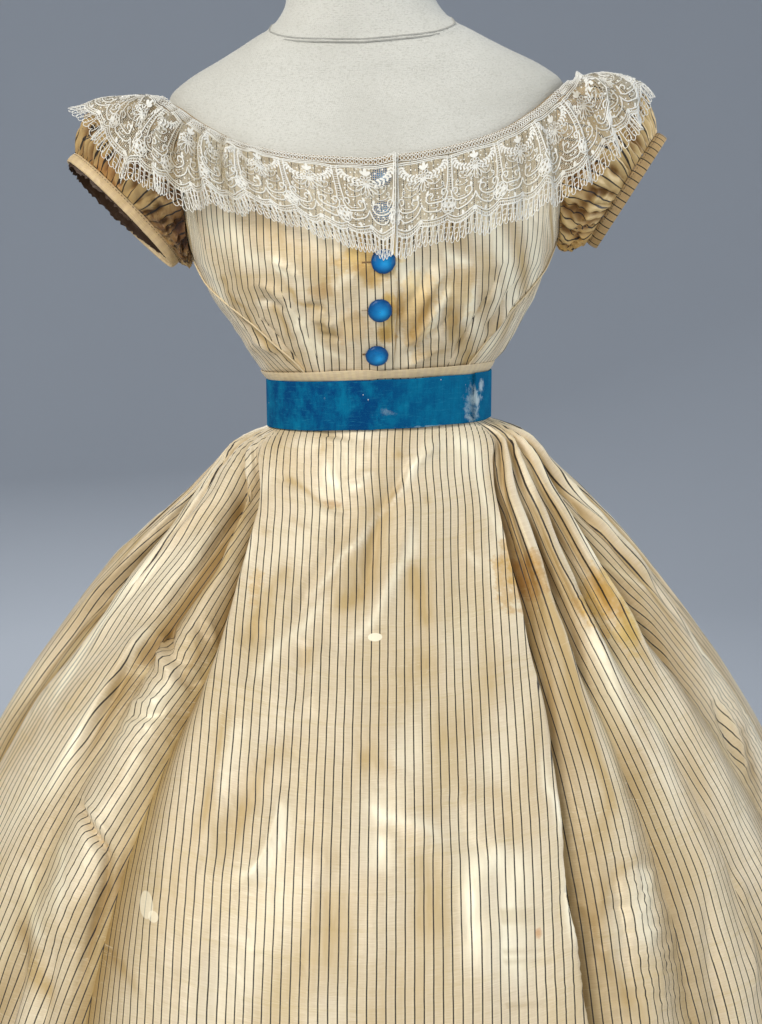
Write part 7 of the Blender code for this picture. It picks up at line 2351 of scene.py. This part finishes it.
class DRESS_OT_belt(bpy.types.Operator):
    """Makes the velvet belt with its lapped, frayed end"""

    bl_idname = "dress.belt"
    bl_label = "Belt"

    def execute(self, context):
        velvet = velvet_material("worn_velvet", context.scene.dress_look)
        degrees = np.arange(0, 360, 1.5)
        bottom = BELT_TOP - BELT_WIDTH
        top_line, low_line = (round_waist(0.0, level, degrees) for level in (BELT_TOP, bottom))
        away = unit(round_waist(0.01, 0.0, degrees) - round_waist(0.0, 0.0, degrees))
        shift = BELT_UNEVEN * (grain(np.arange(len(degrees)) * 0.01, 0, 0.11, 1, 5) - 0.5)
        belt, length = ribbon("belt_velvet", top_line, low_line, away, VELVET, velvet, True, rows=16,
                              shift=np.outer(shift, (0, 0, 1)))
        sew(belt, "velvet_ribbon", "belt")
        lap = np.linspace(*BELT_LAP, 96)
        out = VELVET + SEAM_GAP * 1.5
        top_line, low_line = (round_waist(out, level + 0.001, lap) for level in (BELT_TOP, bottom))
        away = unit(round_waist(0.02, 0.0, lap) - round_waist(0.0, 0.0, lap))
        end, length = ribbon("belt_end_velvet", top_line, low_line, away, VELVET, velvet, False, rows=16)
        sew(end, "velvet_ribbon", "belt_end")
        rng = np.random.default_rng(11)
        strands = []
        for _ in range(FRAYS):
            level = bottom + 0.001 + rng.random() * BELT_WIDTH
            length = 0.5 + 3.0 * rng.random() ** 2
            spots = np.linspace(BELT_LAP[0] + 0.3, BELT_LAP[0] - length, 5)
            line = np.array([round_waist(np.array(out + 0.0006 + 0.001 * rng.random() * k / 4),
                                         level + (rng.random() - 0.5) * 0.0012 * k / 2, spots[k:k + 1])[0]
                             for k in range(5)])
            strands.append(tubes(line[None], FRAY_RADIUS, sides=3))
        cord_piece("belt_fraying", strands, velvet, "velvet_ribbon")
        return {"FINISHED"}


class DRESS_OT_skirt(bpy.types.Operator):
    """Makes the six breadths of the skirt"""

    bl_idname = "dress.skirt"
    bl_label = "Skirt"

    def execute(self, context):
        silk = silk_material("skirt_silk", context.scene.dress_look, SKIRT_STAINS, spots=SKIRT_SPOTS)
        pleats = pleat_lines()
        creases = SKIRT_CREASES + tuple((rise, PLEAT_HALF_WIDTH, line) for rise, line in pleats)
        sheen = SKIRT_SHEEN + tuple((PLEAT_DULL if rise < 0 else PLEAT_GLOW, PLEAT_SHEEN_HALF_WIDTH, line)
                                    for rise, line in pleats)
        creases, sheen = skirt_lines(creases, SKIRT_CREASE_SCALE), skirt_lines(sheen, 1.0)
        for name in BREADTHS:
            spacing = SKIRT_SPACING_FRONT if "front" in name else SKIRT_SPACING_BACK
            piece = skirt_breadth(name, spacing, silk, creases, sheen)
        return {"FINISHED"}


class DRESS_OT_lace(bpy.types.Operator):
    """Makes the lace bertha over the bodice and the sleeves"""

    bl_idname = "dress.lace"
    bl_label = "Lace bertha"

    def execute(self, context):
        make_lace(context.scene.dress_look, [bpy.data.objects[name] for name in UNDER_LACE])
        return {"FINISHED"}


class DRESS_OT_stage(bpy.types.Operator):
    """Makes the floor, the backdrop, the lights and the camera"""

    bl_idname = "dress.stage"
    bl_label = "Stage"

    def execute(self, context):
        scene = context.scene
        look = scene.dress_look
        cove = [(ROOM - COVE + COVE * math.sin(turn), COVE - COVE * math.cos(turn))
                for turn in np.linspace(0, math.pi / 2, 16)]
        profile = [(0.01, 0.0), (2.0, 0.0), *cove, (ROOM, ROOM_HEIGHT)]
        turns = np.linspace(0, 2 * math.pi, 97)[:-1]
        grid = np.array([[(out * math.cos(turn), out * math.sin(turn), z) for turn in turns]
                         for out, z in profile])
        sweep = mesh_object("backdrop", grid, grid_faces(*grid.shape[:2], closed=True)[:, ::-1],
                            plain_material("backdrop_paper", tuple(look.backdrop), 0.9))
        for name, place, size, power, colour in LAMPS:
            light = bpy.data.lights.new(name, "AREA")
            light.shape = "DISK"
            light.size = size
            light.energy = power
            light.color = colour
            lamp = bpy.data.objects.new(name, light)
            lamp.location = place
            way = Vector((0.0, 0.0, LAMP_AIM)) - Vector(place)
            lamp.rotation_euler = way.to_track_quat("-Z", "Y").to_euler()
            scene.collection.objects.link(lamp)
        world = bpy.data.worlds.new("room")
        world.use_nodes = True
        sky = world.node_tree.nodes["Background"]
        sky.inputs["Color"].default_value = SKY
        sky.inputs["Strength"].default_value = SKY_STRENGTH
        scene.world = world
        camera = bpy.data.cameras.new("camera")
        camera.sensor_width = SENSOR
        camera.lens = FOCAL_SHARE * SENSOR
        viewer = bpy.data.objects.new("camera", camera)
        viewer.location = CAMERA_PLACE
        viewer.rotation_euler = (CAMERA_TILT, 0.0, 0.0)
        scene.collection.objects.link(viewer)
        scene.camera = viewer
        scene.view_settings.view_transform = "Standard"
        return {"FINISHED"}


class DRESS_PT_panel(bpy.types.Panel):
    """Lists the pieces of the dress"""

    bl_idname = "DRESS_PT_panel"
    bl_label = "Crinoline dress"
    bl_space_type = "VIEW_3D"
    bl_region_type = "UI"
    bl_category = "Dress"

    def draw(self, context):
        for operator in OPERATORS:
            self.layout.operator(operator.bl_idname)
        for name in DressLook.__annotations__:
            self.layout.prop(context.scene.dress_look, name)


OPERATORS = (
    DRESS_OT_form, DRESS_OT_bodice, DRESS_OT_sleeves, DRESS_OT_buttons, DRESS_OT_belt, DRESS_OT_skirt,
    DRESS_OT_lace, DRESS_OT_stage,
)


def register():
    """Registers the settings, the operators and the panel."""
    bpy.utils.register_class(DressLook)
    for operator in OPERATORS:
        bpy.utils.register_class(operator)
    bpy.utils.register_class(DRESS_PT_panel)
    bpy.types.Scene.dress_look = bpy.props.PointerProperty(type=DressLook)


def unregister():
    """Takes back what register added."""
    del bpy.types.Scene.dress_look
    bpy.utils.unregister_class(DRESS_PT_panel)
    for operator in reversed(OPERATORS):
        bpy.utils.unregister_class(operator)
    bpy.utils.unregister_class(DressLook)


def plain(box):
    """Returns a box as plain lists of numbers."""
    return [[float(value) for value in corner] for corner in box]


def main():
    """Builds the dress."""
    register()
    for operator in OPERATORS:
        group, name = operator.bl_idname.split(".")
        getattr(getattr(bpy.ops, group), name)()


if __name__ == "__main__":
    main()
